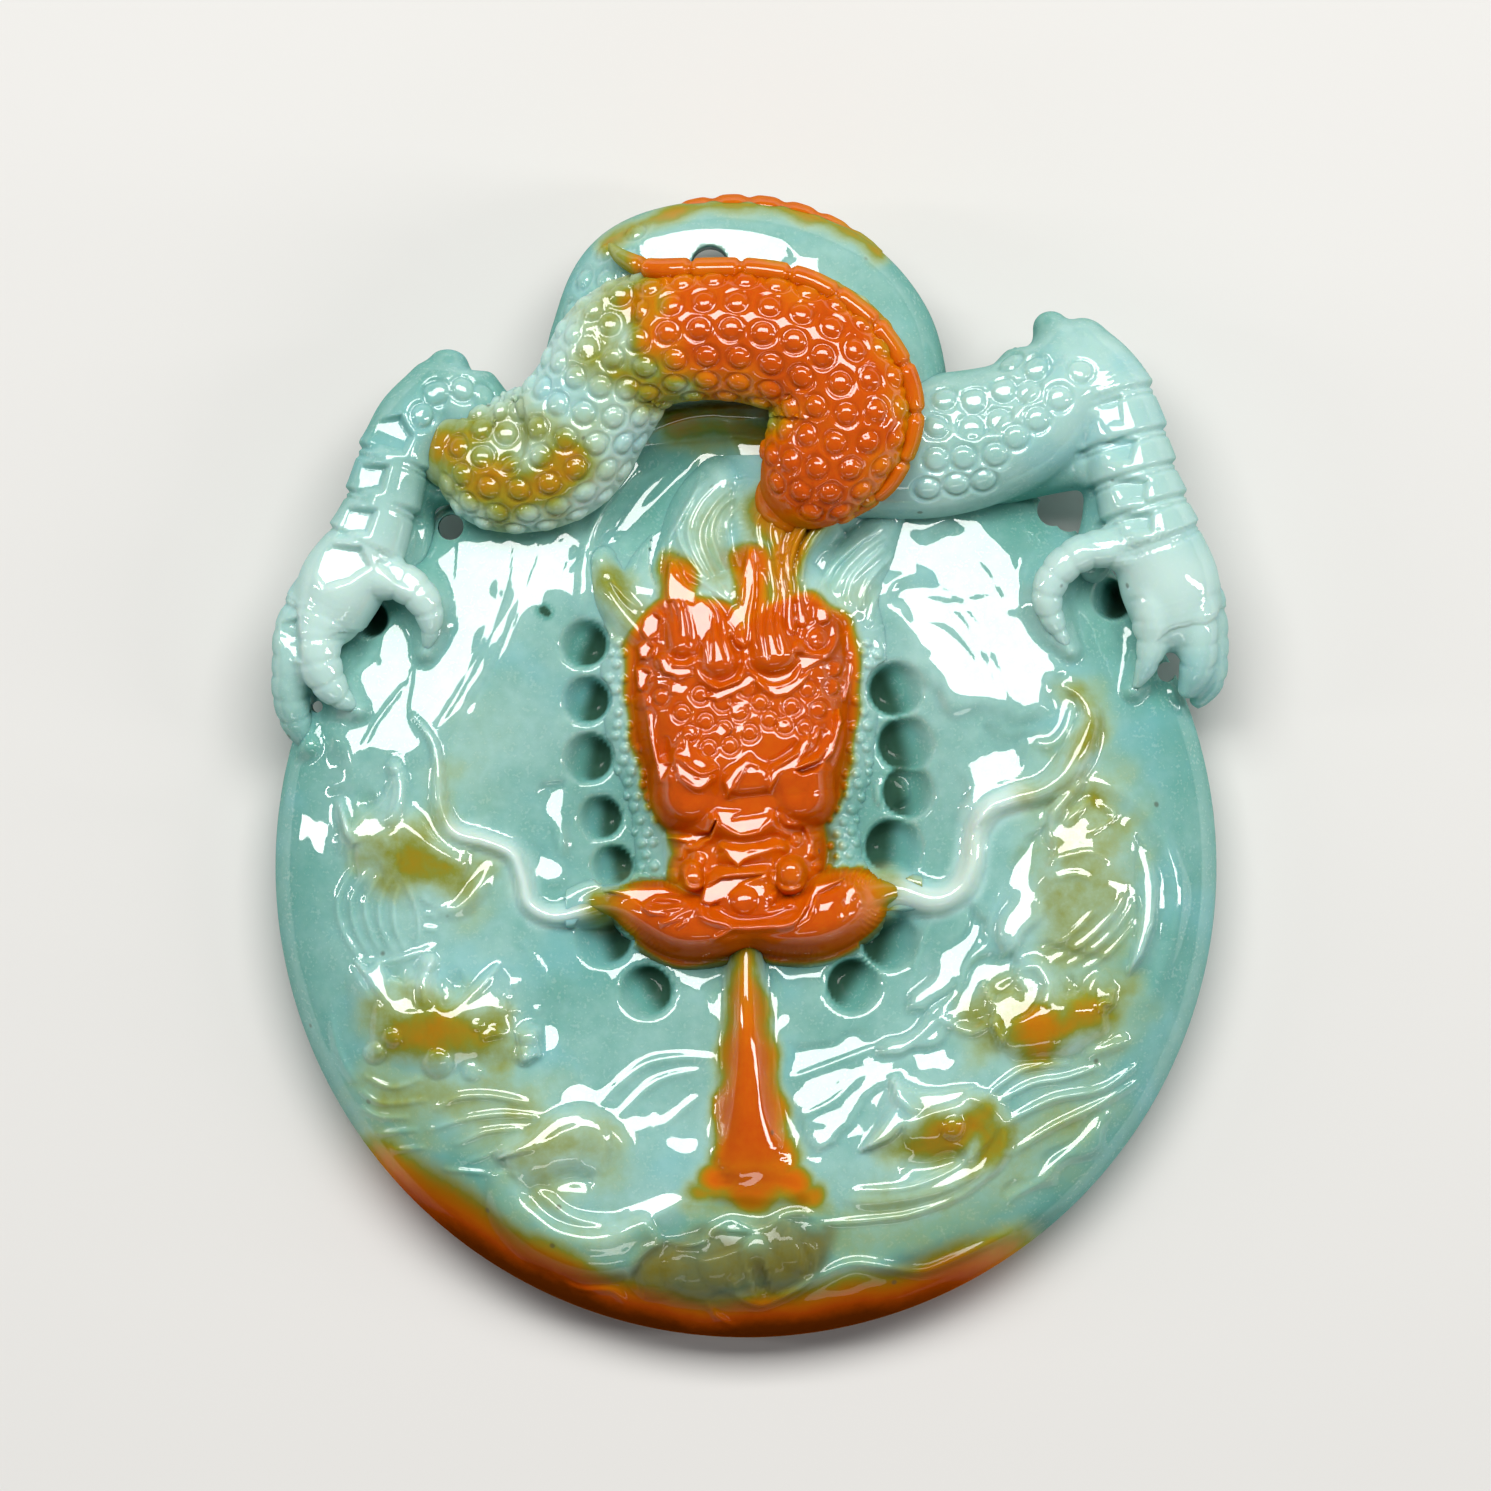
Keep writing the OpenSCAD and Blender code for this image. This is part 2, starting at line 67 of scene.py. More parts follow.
# Rows run along a line: x and y, or x, y, z, half width and half height. Spots are places on the face.
Rows = Sequence[Sequence[float]]
Spots = Sequence[Sequence[float]]

log = logging.getLogger("pendant")


def smooth_max(a: np.ndarray, b: np.ndarray, blend: float) -> np.ndarray:
    """The higher of two heights, with a fillet where they cross.

    Args:
        a: The first heights.
        b: The second heights.
        blend: How wide the fillet is, in millimetres of height.

    Returns:
        The joined heights.
    """
    share = np.clip(0.5 + 0.5 * (b - a) / blend, 0, 1)
    return b * share + a * (1 - share) + blend * share * (1 - share)


def ease(low: float, high: float, value: np.ndarray) -> np.ndarray:
    """A smooth step from 0 at low to 1 at high."""
    t = np.clip((value - low) / (high - low), 0, 1)
    return t * t * (3 - 2 * t)


def unit(vectors: np.ndarray) -> np.ndarray:
    """Vectors at a length of 1."""
    return vectors / np.maximum(np.linalg.norm(vectors, axis=-1, keepdims=True), TINY)


def within(points: np.ndarray, corners: Spots, soft: float) -> np.ndarray:
    """How far points lie inside a polygon, from 0 outside to 1 inside.

    Args:
        points: The points.
        corners: x and y of the polygon's corners.
        soft: Half the width of its soft edge.

    Returns:
        The shares.
    """
    x, y = points[:, 0], points[:, 1]
    gap = np.full(len(points), FAR)
    inside = np.zeros(len(points), bool)
    for (ax, ay), (bx, by) in zip(corners, [*corners[1:], corners[0]]):
        dx, dy = bx - ax, by - ay
        run = np.clip(((x - ax) * dx + (y - ay) * dy) / (dx**2 + dy**2), 0, 1)
        gap = np.minimum(gap, np.hypot(x - ax - run * dx, y - ay - run * dy))
        inside ^= ((ay > y) != (by > y)) & (x < dx * (y - ay) / (dy + TINY) + ax)
    return ease(-soft, soft, np.where(inside, gap, -gap))


def hollow_side(
    points: np.ndarray, pit: Sequence[float], towards: Sequence[float]
) -> tuple[np.ndarray, np.ndarray]:
    """How points lie in a round hollow that a leaning drill left.

    Args:
        points: The points.
        pit: x, y and radius of the hollow.
        towards: Where the drill leaned to.

    Returns:
        Their distances from its middle over its radius, and how far they lie to that side, from 0 to 1.
    """
    gap = points[:, :2] - np.array(pit[:2])
    lean = np.array(towards, float) / max(math.hypot(*towards), TINY)
    return np.hypot(gap[:, 0], gap[:, 1]) / pit[2], np.clip(0.5 + 0.5 * (gap @ lean) / pit[2], 0, 1)


def draw_out(
    inside: bmesh.types.BMesh, edge: Sequence[bmesh.types.BMEdge]
) -> tuple[list[bmesh.types.BMVert], list[bmesh.types.BMEdge]]:
    """Extrudes a mesh's open edge.

    Args:
        inside: The mesh.
        edge: Its open edge.

    Returns:
        The new points, and the new open edge.
    """
    made = bmesh.ops.extrude_edge_only(inside, edges=edge)["geom"]
    verts = [g for g in made if isinstance(g, bmesh.types.BMVert)]
    return verts, [g for g in made if isinstance(g, bmesh.types.BMEdge) and g.is_boundary]


@dataclass
class Look:
    """How points lie beside a curve.

    Attributes:
        index: Which points lie near it.
        along: How far along it they lie.
        across: How far they lie to its left.
        share: How far they lie from it over the section's half width.
        z: The curve's height there.
        rise: The section's half height there.
    """

    index: np.ndarray
    along: np.ndarray
    across: np.ndarray
    share: np.ndarray
    z: np.ndarray
    rise: np.ndarray


class Curve:
    """A smooth line through rows of x, y, z, half width and half height, in millimetres.

    Each stretch between two rows is worked out at PARTS places. No section is thinner than THINNEST.
    """

    PARTS: ClassVar[int] = 16
    THINNEST: ClassVar[float] = 0.02

    def __init__(self, rows: Rows, step: float = 0.2) -> None:
        """Runs a Catmull-Rom curve through the rows.

        Args:
            rows: The named columns, a row for each section.
            step: Distance between the curve's points.
        """
        table = np.array(rows, float)
        ends = np.vstack([table[:1], table, table[-1:]])
        t = np.linspace(0, 1, self.PARTS, endpoint=False)[:, None]
        runs = []
        for a, b, c, d in zip(ends[:-3], ends[1:-2], ends[2:-1], ends[3:]):
            squared, cubed = 2 * a - 5 * b + 4 * c - d, 3 * b - a - 3 * c + d
            runs.append((2 * b + (c - a) * t + squared * t**2 + cubed * t**3) / 2)
        fine = np.vstack([*runs, table[-1:]])
        reach = np.concatenate([[0], np.cumsum(np.linalg.norm(np.diff(fine[:, :3], axis=0), axis=1))])
        count = max(3, int(math.ceil(reach[-1] / step)) + 1)
        self.along = np.linspace(0, reach[-1], count)
        columns = [np.interp(self.along, reach, column) for column in fine.T]
        self.place = np.stack(columns[:3], axis=1)
        self.half = np.maximum(np.stack(columns[3:], axis=1), self.THINNEST)
        self.forward = unit(np.gradient(self.place, axis=0))
        self.side = unit(np.cross(UP, self.forward))
        self.up = np.cross(self.forward, self.side)

    def at(self, along: np.ndarray, columns: np.ndarray) -> np.ndarray:
        """Values of the curve's columns at distances along it."""
        return np.stack([np.interp(along, self.along, column) for column in columns.T], axis=1)

    def skin(self, along: np.ndarray, turn: np.ndarray) -> np.ndarray:
        """Points on the swept surface.

        Args:
            along: Distances along the curve.
            turn: Angles about it from the top, in radians.

        Returns:
            The points.
        """
        half = self.at(along, self.half)
        side = unit(self.at(along, self.side)) * (half[:, 0] * np.sin(turn))[:, None]
        up = unit(self.at(along, self.up)) * (half[:, 1] * np.cos(turn))[:, None]
        return self.at(along, self.place) + side + up

    def look(self, points: np.ndarray, margin: float = 1.5, flat: bool = True) -> Look:
        """Finds how points lie beside the curve.

        Args:
            points: The points.
            margin: How far outside the widest section a point may lie.
            flat: Whether they are seen from above, without their heights.

        Returns:
            The points near the curve, with their places beside it.
        """
        axes = 2 if flat else 3
        line, spots = self.place[:, :axes], points[:, :axes]
        reach = self.half.max() + margin
        near = np.all((spots > line.min(0) - reach) & (spots < line.max(0) + reach), axis=1)
        index = np.flatnonzero(near)
        best = np.zeros(len(index), int)
        for start in range(0, len(index), BLOCK):
            part = spots[index[start : start + BLOCK]]
            gap = ((part[:, None, :] - line[None, :, :]) ** 2).sum(2)
            best[start : start + BLOCK] = np.argmin(gap / self.half[None, :, 0] ** 2, axis=1)
        run = unit(self.forward[:, :axes])[best]
        offset = spots[index] - line[best]
        step = self.along[1] - self.along[0]
        forth = (offset * run).sum(1)
        along = np.clip(forth, np.where(best == 0, 0, -step), np.where(best == len(line) - 1, 0, step))
        over = np.abs(forth - along)
        cross = np.linalg.norm(offset - run * forth[:, None], axis=1)
        where = self.along[best] + along
        half = self.at(where, self.half)
        ends = (best == 0) | (best == len(line) - 1)
        cap = np.where(ends, half.min(axis=1), half[:, 0])
        turn = np.sign(run[:, 0] * offset[:, 1] - run[:, 1] * offset[:, 0])
        height = np.interp(where, self.along, self.place[:, 2])
        share = np.hypot(cross / half[:, 0], over / cap)
        return Look(index, where, np.hypot(cross, over) * turn, share, height, half[:, 1])


class Relief:
    """Heights of a carved face over points seen from above.

    A ridge has the section of a roof, and a hollow's wall falls slowly on the drill's shallow side.
    """

    RIDGE_TOP: ClassVar[float] = 1.08
    RIDGE_ROUNDING: ClassVar[float] = 0.006
    RIDGE_FOOT: ClassVar[float] = 0.12
    SHALLOW_SIDE: ClassVar[float] = 0.25
    SCALE_RISE: ClassVar[float] = 0.05
    SCALE_FLATNESS: ClassVar[float] = 0.8

    def __init__(self, points: np.ndarray, heights: np.ndarray) -> None:
        """Starts from plain heights.

        Args:
            points: x and y of the points.
            heights: Their heights.
        """
        self.points = points
        self.z = heights.copy()
        self.ground = heights.copy()

    def swell(self, rows: Rows, blend: float = 0.25, power: float = 2.6, lifted: bool = False) -> Look:
        """Raises a rounded form along a curve.

        Args:
            rows: The curve's rows. Their heights are of the section's middle.
            blend: How wide the fillet at its foot is.
            power: How square its section is.
            lifted: Whether the heights are counted from the plain face.

        Returns:
            How the points lie beside the curve.
        """
        seen = Curve(rows).look(self.points)
        base = self.ground[seen.index] if lifted else 0
        top = base + seen.z + seen.rise * (1 - seen.share**power)
        self.z[seen.index] = smooth_max(self.z[seen.index], top, blend)
        return seen

    def crest(self, rows: Rows) -> None:
        """Raises a ridge with two sloping faces along a curve.

        Args:
            rows: x, y, rise, and the widths of the faces to the left and the right of the way along it.
        """
        line = Curve([(r[0], r[1], 0.0, 1.0, 1.0) for r in rows])
        rises = Curve([(r[0], r[1], 0.0, r[2], 1.0) for r in rows])
        faces = Curve([(r[0], r[1], 0.0, r[3], r[4]) for r in rows])
        seen = line.look(self.points, margin=float(faces.half.max()))
        widths = faces.at(seen.along, faces.half)
        rise = rises.at(seen.along, rises.half)[:, 0] - Curve.THINNEST
        away = np.abs(seen.across) / np.where(seen.across > 0, widths[:, 0], widths[:, 1])
        roof = self.RIDGE_TOP - np.sqrt(away**2 + self.RIDGE_ROUNDING)
        self.z[seen.index] += rise * smooth_max(roof, np.zeros(len(away)), self.RIDGE_FOOT)

    def wedge(self, corners: Spots, height: float, lean: Sequence[float], soft: float = 0.14) -> None:
        """Sets a flat facet into the relief.

        Args:
            corners: x and y of its corners.
            height: How far its middle stands above the plain face.
            lean: How much it falls for each millimetre along x and y.
            soft: Half the width of its soft edge.
        """
        middle = np.mean(np.array(corners, float), axis=0)
        gap = self.points - middle
        share = within(self.points, corners, soft)
        level = self.ground[np.argmin(np.hypot(gap[:, 0], gap[:, 1]))] + height
        self.z += (level - gap @ np.array(lean, float) - self.z) * share

    def plane(self, corners: Spots, lean: Sequence[float], rise: float = 0.05, soft: float = 0.07) -> None:
        """Cuts a flat facet about level with the relief around it.

        Args:
            corners: x and y of its corners.
            lean: How much it falls for each millimetre along x and y.
            rise: How far it stands above the mean of what it replaces.
            soft: Half the width of its soft edge.
        """
        gap = (self.points - np.mean(np.array(corners, float), axis=0)) @ np.array(lean, float)
        share = within(self.points, corners, soft)
        inside = share > 0.5
        level = float(np.mean(self.z[inside] + gap[inside])) + rise
        self.z += (level - gap - self.z) * share

    def score(self, line: Rows, depth: float, width: float) -> None:
        """Cuts a groove, or with a depth below 0 raises a thread, along points that taper at both ends.

        Args:
            line: x and y of the points.
            depth: How deep the groove is.
            width: Half of its width.
        """
        curve = Curve([(p[0], p[1], 0.0, width, depth) for p in line])
        seen = curve.look(self.points, margin=3 * width)
        length = curve.along[-1]
        taper = np.sqrt(np.clip(4 * seen.along * (length - seen.along) / length**2, 0, 1))
        self.z[seen.index] -= depth * taper * np.exp(-(seen.share**2))

    def dome(self, x: float, y: float, radius: float, rise: float) -> None:
        """Raises a round dome on the face as it is."""
        share = np.hypot(self.points[:, 0] - x, self.points[:, 1] - y) / radius
        near = share < 1
        self.z[near] += rise * np.sqrt(1 - share[near] ** 2)

    def ring(self, x: float, y: float, radius: float, depth: float, width: float) -> None:
        """Cuts a ring groove, or raises one with a depth below 0."""
        gap = np.hypot(self.points[:, 0] - x, self.points[:, 1] - y) - radius
        self.z -= depth * np.exp(-((gap / width) ** 2))

    def stroke(self, line: Rows, rise: float, width: float) -> None:
        """Raises a thread with pointed ends along a line."""
        self.score(line, -rise, width)

    def drill(self, pit: Sequence[float], depth: float, towards: Sequence[float]) -> None:
        """Sinks a hollow below the plain face.

        Args:
            pit: x, y and radius of the hollow.
            depth: How deep it is.
            towards: Where the drill leaned to. The hollow is deep and steep on that side.
        """
        share, side = hollow_side(self.points, pit, towards)
        near = share < 1.3
        share, side = share[near], side[near]
        depths = depth * (self.SHALLOW_SIDE + (1 - self.SHALLOW_SIDE) * side)
        wall = self.ground[near] + depths * (share ** (2 + 4 * side) - 1)
        self.z[near] = -smooth_max(-self.z[near], -wall, blend=0.1)

    def scale(self, x: float, y: float, size: float) -> None:
        """Raises one flat-topped scale in its ring.

        Args:
            x: Where its middle is.
            y: Where its middle is.
            size: Its radius.
        """
        share = np.hypot(self.points[:, 0] - x, self.points[:, 1] - y) / size
        near = share < 1
        level = float(self.z[near].mean()) + self.SCALE_RISE
        self.ring(x, y, radius=1.16 * size, depth=0.16, width=0.12)
        self.z[near] += (level - self.z[near]) * self.SCALE_FLATNESS * (1 - share[near] ** 6)


@dataclass(frozen=True)
class Scales:
    """Drilled scales over a body: a dome inside a ring groove."""

    pitch: float = 1.58
    lane: float = 1.4
    dome_r: float = 0.47
    rise: float = 0.15
    ring_r: float = 0.62
    ring_depth: float = 0.14
    ring_width: float = 0.1
    fine_steps: int = 400

    def centres(self, curve: Curve, first: float, last: float, lean: float) -> np.ndarray:
        """Places scales in lanes that run along a swept body.

        Args:
            curve: The body's curve.
            first: Where the lanes start, as a share of its length.
            last: Where they end.
            lean: How far from the top the outermost lanes lie, in degrees.

        Returns:
            The scales' centres.
        """
        width = float(curve.half.mean())
        lanes = int(math.radians(lean) * width / self.lane)
        fine = np.linspace(curve.along[-1] * first, curve.along[-1] * last, self.fine_steps)
        spots = []
        for lane in range(-lanes, lanes + 1):
            line = curve.skin(fine, np.full(len(fine), lane * self.lane / width))
            reach = np.concatenate([[0], np.cumsum(np.linalg.norm(np.diff(line, axis=0), axis=1))])
            count = max(1, int(reach[-1] / self.pitch))
            at = (np.arange(count) + (0.25 if lane % 2 else 0.75)) * reach[-1] / count
            spots.append(np.stack([np.interp(at, reach, line[:, k]) for k in range(3)], axis=1))
        return np.vstack(spots)

    def height(self, points: np.ndarray, spots: np.ndarray) -> np.ndarray:
        """How far the scales push each point out.

        Args:
            points: The surface's points.
            spots: The scales' centres.

        Returns:
            The push, in millimetres.
        """
        gap = np.full(len(points), FAR)
        for start in range(0, len(points), BLOCK):
            part = points[start : start + BLOCK]
            away = np.linalg.norm(part[:, None, :] - spots[None, :, :], axis=2)
            gap[start : start + BLOCK] = away.min(axis=1)
        dome = self.rise * np.sqrt(np.clip(1 - (gap / self.dome_r) ** 2, 0, 1))
        return dome - self.ring_depth * np.exp(-(((gap - self.ring_r) / self.ring_width) ** 2))


class Clay:
    """A mesh being shaped in millimetres: operators start it, and then its points move.

    Points closer than SEAM are one point. A swept form closes within POLE of its grid's ends. UPWARD is
    how much a surface faces up, at the least, where things are dropped on it.
    """

    SEAM: ClassVar[float] = 5e-4
    POLE: ClassVar[float] = 1e-5
    HOLE_SIDES: ClassVar[int] = 40
    UPWARD: ClassVar[float] = 0.2

    def __init__(self, start: bmesh.types.BMesh) -> None:
        """Takes over a bmesh."""
        self.mesh = bpy.data.meshes.new("clay")
        start.to_mesh(self.mesh)
        start.free()

    @classmethod
    def sheet(cls, across: int, along: int) -> "Clay":
        """A flat grid from 0 to 1 both ways.

        Args:
            across: Its faces along x.
            along: Its faces along y.

        Returns:
            The open mesh.
        """
        start = bmesh.new()
        bmesh.ops.create_grid(start, x_segments=across, y_segments=along, size=0.5)
        bmesh.ops.translate(start, vec=(0.5, 0.5, 0), verts=start.verts)
        return cls(start)

    @classmethod
    def tube(
        cls,
        rows: Rows,
        step: float,
        around: int,
        crowd: float = 0.6,
        swell: Callable[[np.ndarray], np.ndarray] | None = None,
    ) -> "Clay":
        """A closed form with round ends, swept through rows.

        Args:
            rows: The curve's rows.
            step: Distance between its rings.
            around: Faces round it.
            crowd: How much closer the rings' points lie at the top than on average.
            swell: How much bigger the section is at each distance along.

        Returns:
            The closed mesh.
        """
        curve = Curve(rows, min(step, 0.2))
        length = curve.along[-1]
        first, last = float(curve.half[0].min()), float(curve.half[-1].min())
        total = first + length + last
        clay = cls.sheet(around, max(8, int(total / step)))
        grid = clay.points
        lean = 2 * grid[:, 0] - 1
        turn = math.pi * lean * (crowd + (1 - crowd) * np.abs(lean))
        at = grid[:, 1] * total - first
        over = np.clip(-at / first, 0, 1) + np.clip((at - length) / last, 0, 1)
        over[(grid[:, 1] < cls.POLE) | (grid[:, 1] > 1 - cls.POLE)] = 1.0
        inner = np.clip(at, 0, length)
        middle = curve.at(inner, curve.place)
        size = np.sqrt(np.clip(1 - over**2, 0, 1))
        if swell is not None:
            size = size * swell(inner)
        beyond = (at - inner)[:, None] * unit(curve.at(inner, curve.forward))
        clay.points = middle + (curve.skin(inner, turn) - middle) * size[:, None] + beyond
        return clay.weld()

    @property
    def points(self) -> np.ndarray:
        """The mesh's points."""
        flat = np.empty(len(self.mesh.vertices) * 3)
        self.mesh.vertices.foreach_get("co", flat)
        return flat.reshape(-1, 3)

    @points.setter
    def points(self, places: np.ndarray) -> None:
        """Moves the mesh's points."""
        self.mesh.vertices.foreach_set("co", np.ascontiguousarray(places, float).ravel())
        self.mesh.update()

    @property
    def normals(self) -> np.ndarray:
        """The surface's outward directions at its points."""
        flat = np.empty(len(self.mesh.vertices) * 3)
        self.mesh.vertex_normals.foreach_get("vector", flat)
        return flat.reshape(-1, 3)

    def edit(self, work: Callable[[bmesh.types.BMesh], None]) -> "Clay":
        """Runs bmesh operators on the mesh.

        Args:
            work: What runs them.

        Returns:
            The mesh.
        """
        inside = bmesh.new()
        inside.from_mesh(self.mesh)
        work(inside)
        inside.to_mesh(self.mesh)
        inside.free()
        return self

    def weld(self) -> "Clay":
        """Closes seams and poles, and turns the faces outwards.

        Returns:
            The mesh.
        """

        def close(inside: bmesh.types.BMesh) -> None:
            """Merges what meets."""
            bmesh.ops.remove_doubles(inside, verts=inside.verts, dist=self.SEAM)
            bmesh.ops.recalc_face_normals(inside, faces=inside.faces)

        return self.edit(close)

    def push(self, heights: np.ndarray) -> "Clay":
        """Moves points along their normals."""
        self.points = self.points + self.normals * heights[:, None]
        return self

    def facet(
        self, at: Sequence[float], lean: Sequence[float], corners: Spots, soft: float = 0.25
    ) -> "Clay":
        """Grinds a flat facet: what stands above a tilted plane comes down to it.

        Args:
            at: x, y and z of a place on the plane.
            lean: How much it falls for each millimetre along x and y.
            corners: x and y of the facet's corners.
            soft: How round its edges are.

        Returns:
            The mesh.
        """
        points = self.points
        x, y = points[:, 0] - at[0], points[:, 1] - at[1]
        plane = at[2] - x * lean[0] - y * lean[1]
        cut = -smooth_max(-points[:, 2], -plane, blend=0.2)
        points[:, 2] += (cut - points[:, 2]) * within(points, corners, soft)
        self.points = points
        return self

    def close_below(self, level: float) -> "Clay":
        """Takes an open sheet's edge down to a level and closes it there.

        Args:
            level: The level's height.

        Returns:
            The mesh.
        """

        def close(inside: bmesh.types.BMesh) -> None:
            """Draws the edge out and fills the bottom.

            Args:
                inside: The mesh.
            """
            verts, edge = draw_out(inside, [e for e in inside.edges if e.is_boundary])
            for vert in verts:
                vert.co.z = level
            bmesh.ops.edgeloop_fill(inside, edges=edge)
            bmesh.ops.recalc_face_normals(inside, faces=inside.faces)

        return self.edit(close)

    def modify(self, kind: str, **settings: object) -> "Clay":
        """Runs one modifier on the mesh and keeps its result.

        Args:
            kind: The modifier's type.
            **settings: Its properties.

        Returns:
            The mesh.
        """
        holder = bpy.data.objects.new("holder", self.mesh)
        bpy.context.scene.collection.objects.link(holder)
        modifier = holder.modifiers.new("work", kind)
        for name, value in settings.items():
            setattr(modifier, name, value)
        graph = bpy.context.evaluated_depsgraph_get()
        self.mesh = bpy.data.meshes.new_from_object(holder.evaluated_get(graph))
        bpy.data.objects.remove(holder)
        return self

    def join(self, others: Sequence["Clay"]) -> "Clay":
        """Adds other meshes to this one, without fusing them.

        Args:
            others: The other meshes.

        Returns:
            The mesh.
        """

        def gather(inside: bmesh.types.BMesh) -> None:
            """Copies the others in."""
            for other in others:
                inside.from_mesh(other.mesh)

        return self.edit(gather)

    def fuse(self, voxel: float, passes: int) -> "Clay":
        """Makes one skin over what overlaps, softens its creases and divides it once more.

        Args:
            voxel: The skin's mesh size.
            passes: How often its creases are softened.

        Returns:
            The mesh.
        """
        self.modify("REMESH", mode="VOXEL", voxel_size=voxel, use_smooth_shade=True)
        self.modify("SMOOTH", factor=0.5, iterations=passes)
        return self.modify("SUBSURF", levels=1, render_levels=1)

    def bore(self, holes: Spots, low: float, high: float) -> "Clay":
        """Cuts round holes.

        Args:
            holes: x, y and radius of each.
            low: Where the holes start.
            high: Where they end.

        Returns:
            The mesh.
        """
        start = bmesh.new()
        for x, y, radius in holes:
            bmesh.ops.create_cone(
                start,
                cap_ends=True,
                segments=self.HOLE_SIDES,
                radius1=radius,
                radius2=radius,
                depth=high - low,
                matrix=Matrix.Translation((x, y, (low + high) / 2)),
            )
        cutter = bpy.data.objects.new("cutter", Clay(start).mesh)
        bpy.context.scene.collection.objects.link(cutter)
        self.modify("BOOLEAN", operation="DIFFERENCE", solver="MANIFOLD", object=cutter)
        bpy.data.objects.remove(cutter)
        return self

    def drop(self, spots: Spots) -> np.ndarray:
        """Drops places onto the upper surface.

        Args:
            spots: x and y of the places.

        Returns:
            The surface's point under each.
        """
        upper = self.points[self.normals[:, 2] > self.UPWARD]
        found = [upper[np.argmin(np.hypot(upper[:, 0] - s[0], upper[:, 1] - s[1]))] for s in spots]
        return np.array(found)

    def paint(self, name: str, values: np.ndarray) -> "Clay":
        """Keeps a value at each point for the stone's finish.

        Args:
            name: The value's name.
            values: The values.

        Returns:
            The mesh.
        """
        layer = self.mesh.attributes.new(name, "FLOAT", "POINT")
        layer.data.foreach_set("value", np.clip(values, -2, 2).astype(np.float32))
        return self


@dataclass(frozen=True)
class Stain:
    """A patch of the stone's orange skin along a line, with an uneven edge.

    Attributes:
        width: Half of its width.
        colour: Depth of its colour, as in Tone.
        soft: How wide its soft edge is.
        line: x and y of the line's points. A point may add its own width and colour.
    """

    width: float
    colour: float
    soft: float
    line: Rows

    def over(self, points: np.ndarray) -> np.ndarray:
        """How strongly the patch colours each point.

        Args:
            points: The points.

        Returns:
            The depth of colour at each.
        """
        rows = [(p[0], p[1], 0.0, *(p[2:] or (self.width, self.colour))) for p in self.line]
        curve = Curve(rows, 0.3)
        seen = curve.look(points, margin=1.3 * self.soft)
        width, colour = curve.at(seen.along, curve.half).T
        result = np.zeros(len(points))
        x, y = points[seen.index, 0], points[seen.index, 1]
        wander = np.sin(1.9 * x + 0.7 * y + 1.3 * np.sin(1.1 * y))
        wander += np.sin(2.3 * y - 1.1 * x + 1.7 * np.sin(0.8 * x))
        gap = np.abs(seen.across) - width + 0.12 * self.soft * wander
        result[seen.index] = colour * (1 - ease(-0.6 * self.soft, 1.1 * self.soft, gap))
        return result


def stained(points: np.ndarray, stains: Sequence[Stain], plain: float = 0.0) -> np.ndarray:
    """The strongest stain at each point.

    Args:
        points: The points.
        stains: The stains.
        plain: The colour's depth where there is none.

    Returns:
        The depth of colour at each point.
    """
    result = np.full(len(points), plain)
    for stain in stains:
        result = np.maximum(result, stain.over(points))
    return result


class Tone(Enum):
    """Depth of the stone's skin colour, from plain jade to the reddest orange."""

    JADE = 0.0
    MOSS = 0.2
    OLIVE = 0.4
    AMBER = 0.6
    ORANGE = 0.8
    RED = 1.0
    RUST = 1.3


class Socket:
    """A shader socket that adds its own maths nodes when it is used in an expression."""

    def __init__(self, tree: "Tree", socket: bpy.types.NodeSocket) -> None:
        """Wraps one output."""
        self.tree = tree
        self.socket = socket

    def maths(self, operation: str, first: object, second: object) -> "Socket":
        """One Math node on two values or sockets."""
        return self.tree.add("ShaderNodeMath", {"operation": operation}, {0: first, 1: second})

    def __add__(self, other: object) -> "Socket":
        """self + other."""
        return self.maths("ADD", self, other)

    __radd__ = __add__

    def __sub__(self, other: object) -> "Socket":
        """self - other."""
        return self.maths("SUBTRACT", self, other)

    def __rsub__(self, other: object) -> "Socket":
        """other - self."""
        return self.maths("SUBTRACT", other, self)

    def __mul__(self, other: object) -> "Socket":
        """self * other."""
        return self.maths("MULTIPLY", self, other)

    __rmul__ = __mul__

    def step(self, low: float, high: float) -> "Socket":
        """A smooth step from 0 at low to 1 at high."""
        settings = {"interpolation_type": "SMOOTHSTEP", "clamp": True}
        inputs = {"Value": self, "From Min": low, "From Max": high}
        return self.tree.add("ShaderNodeMapRange", settings, inputs)


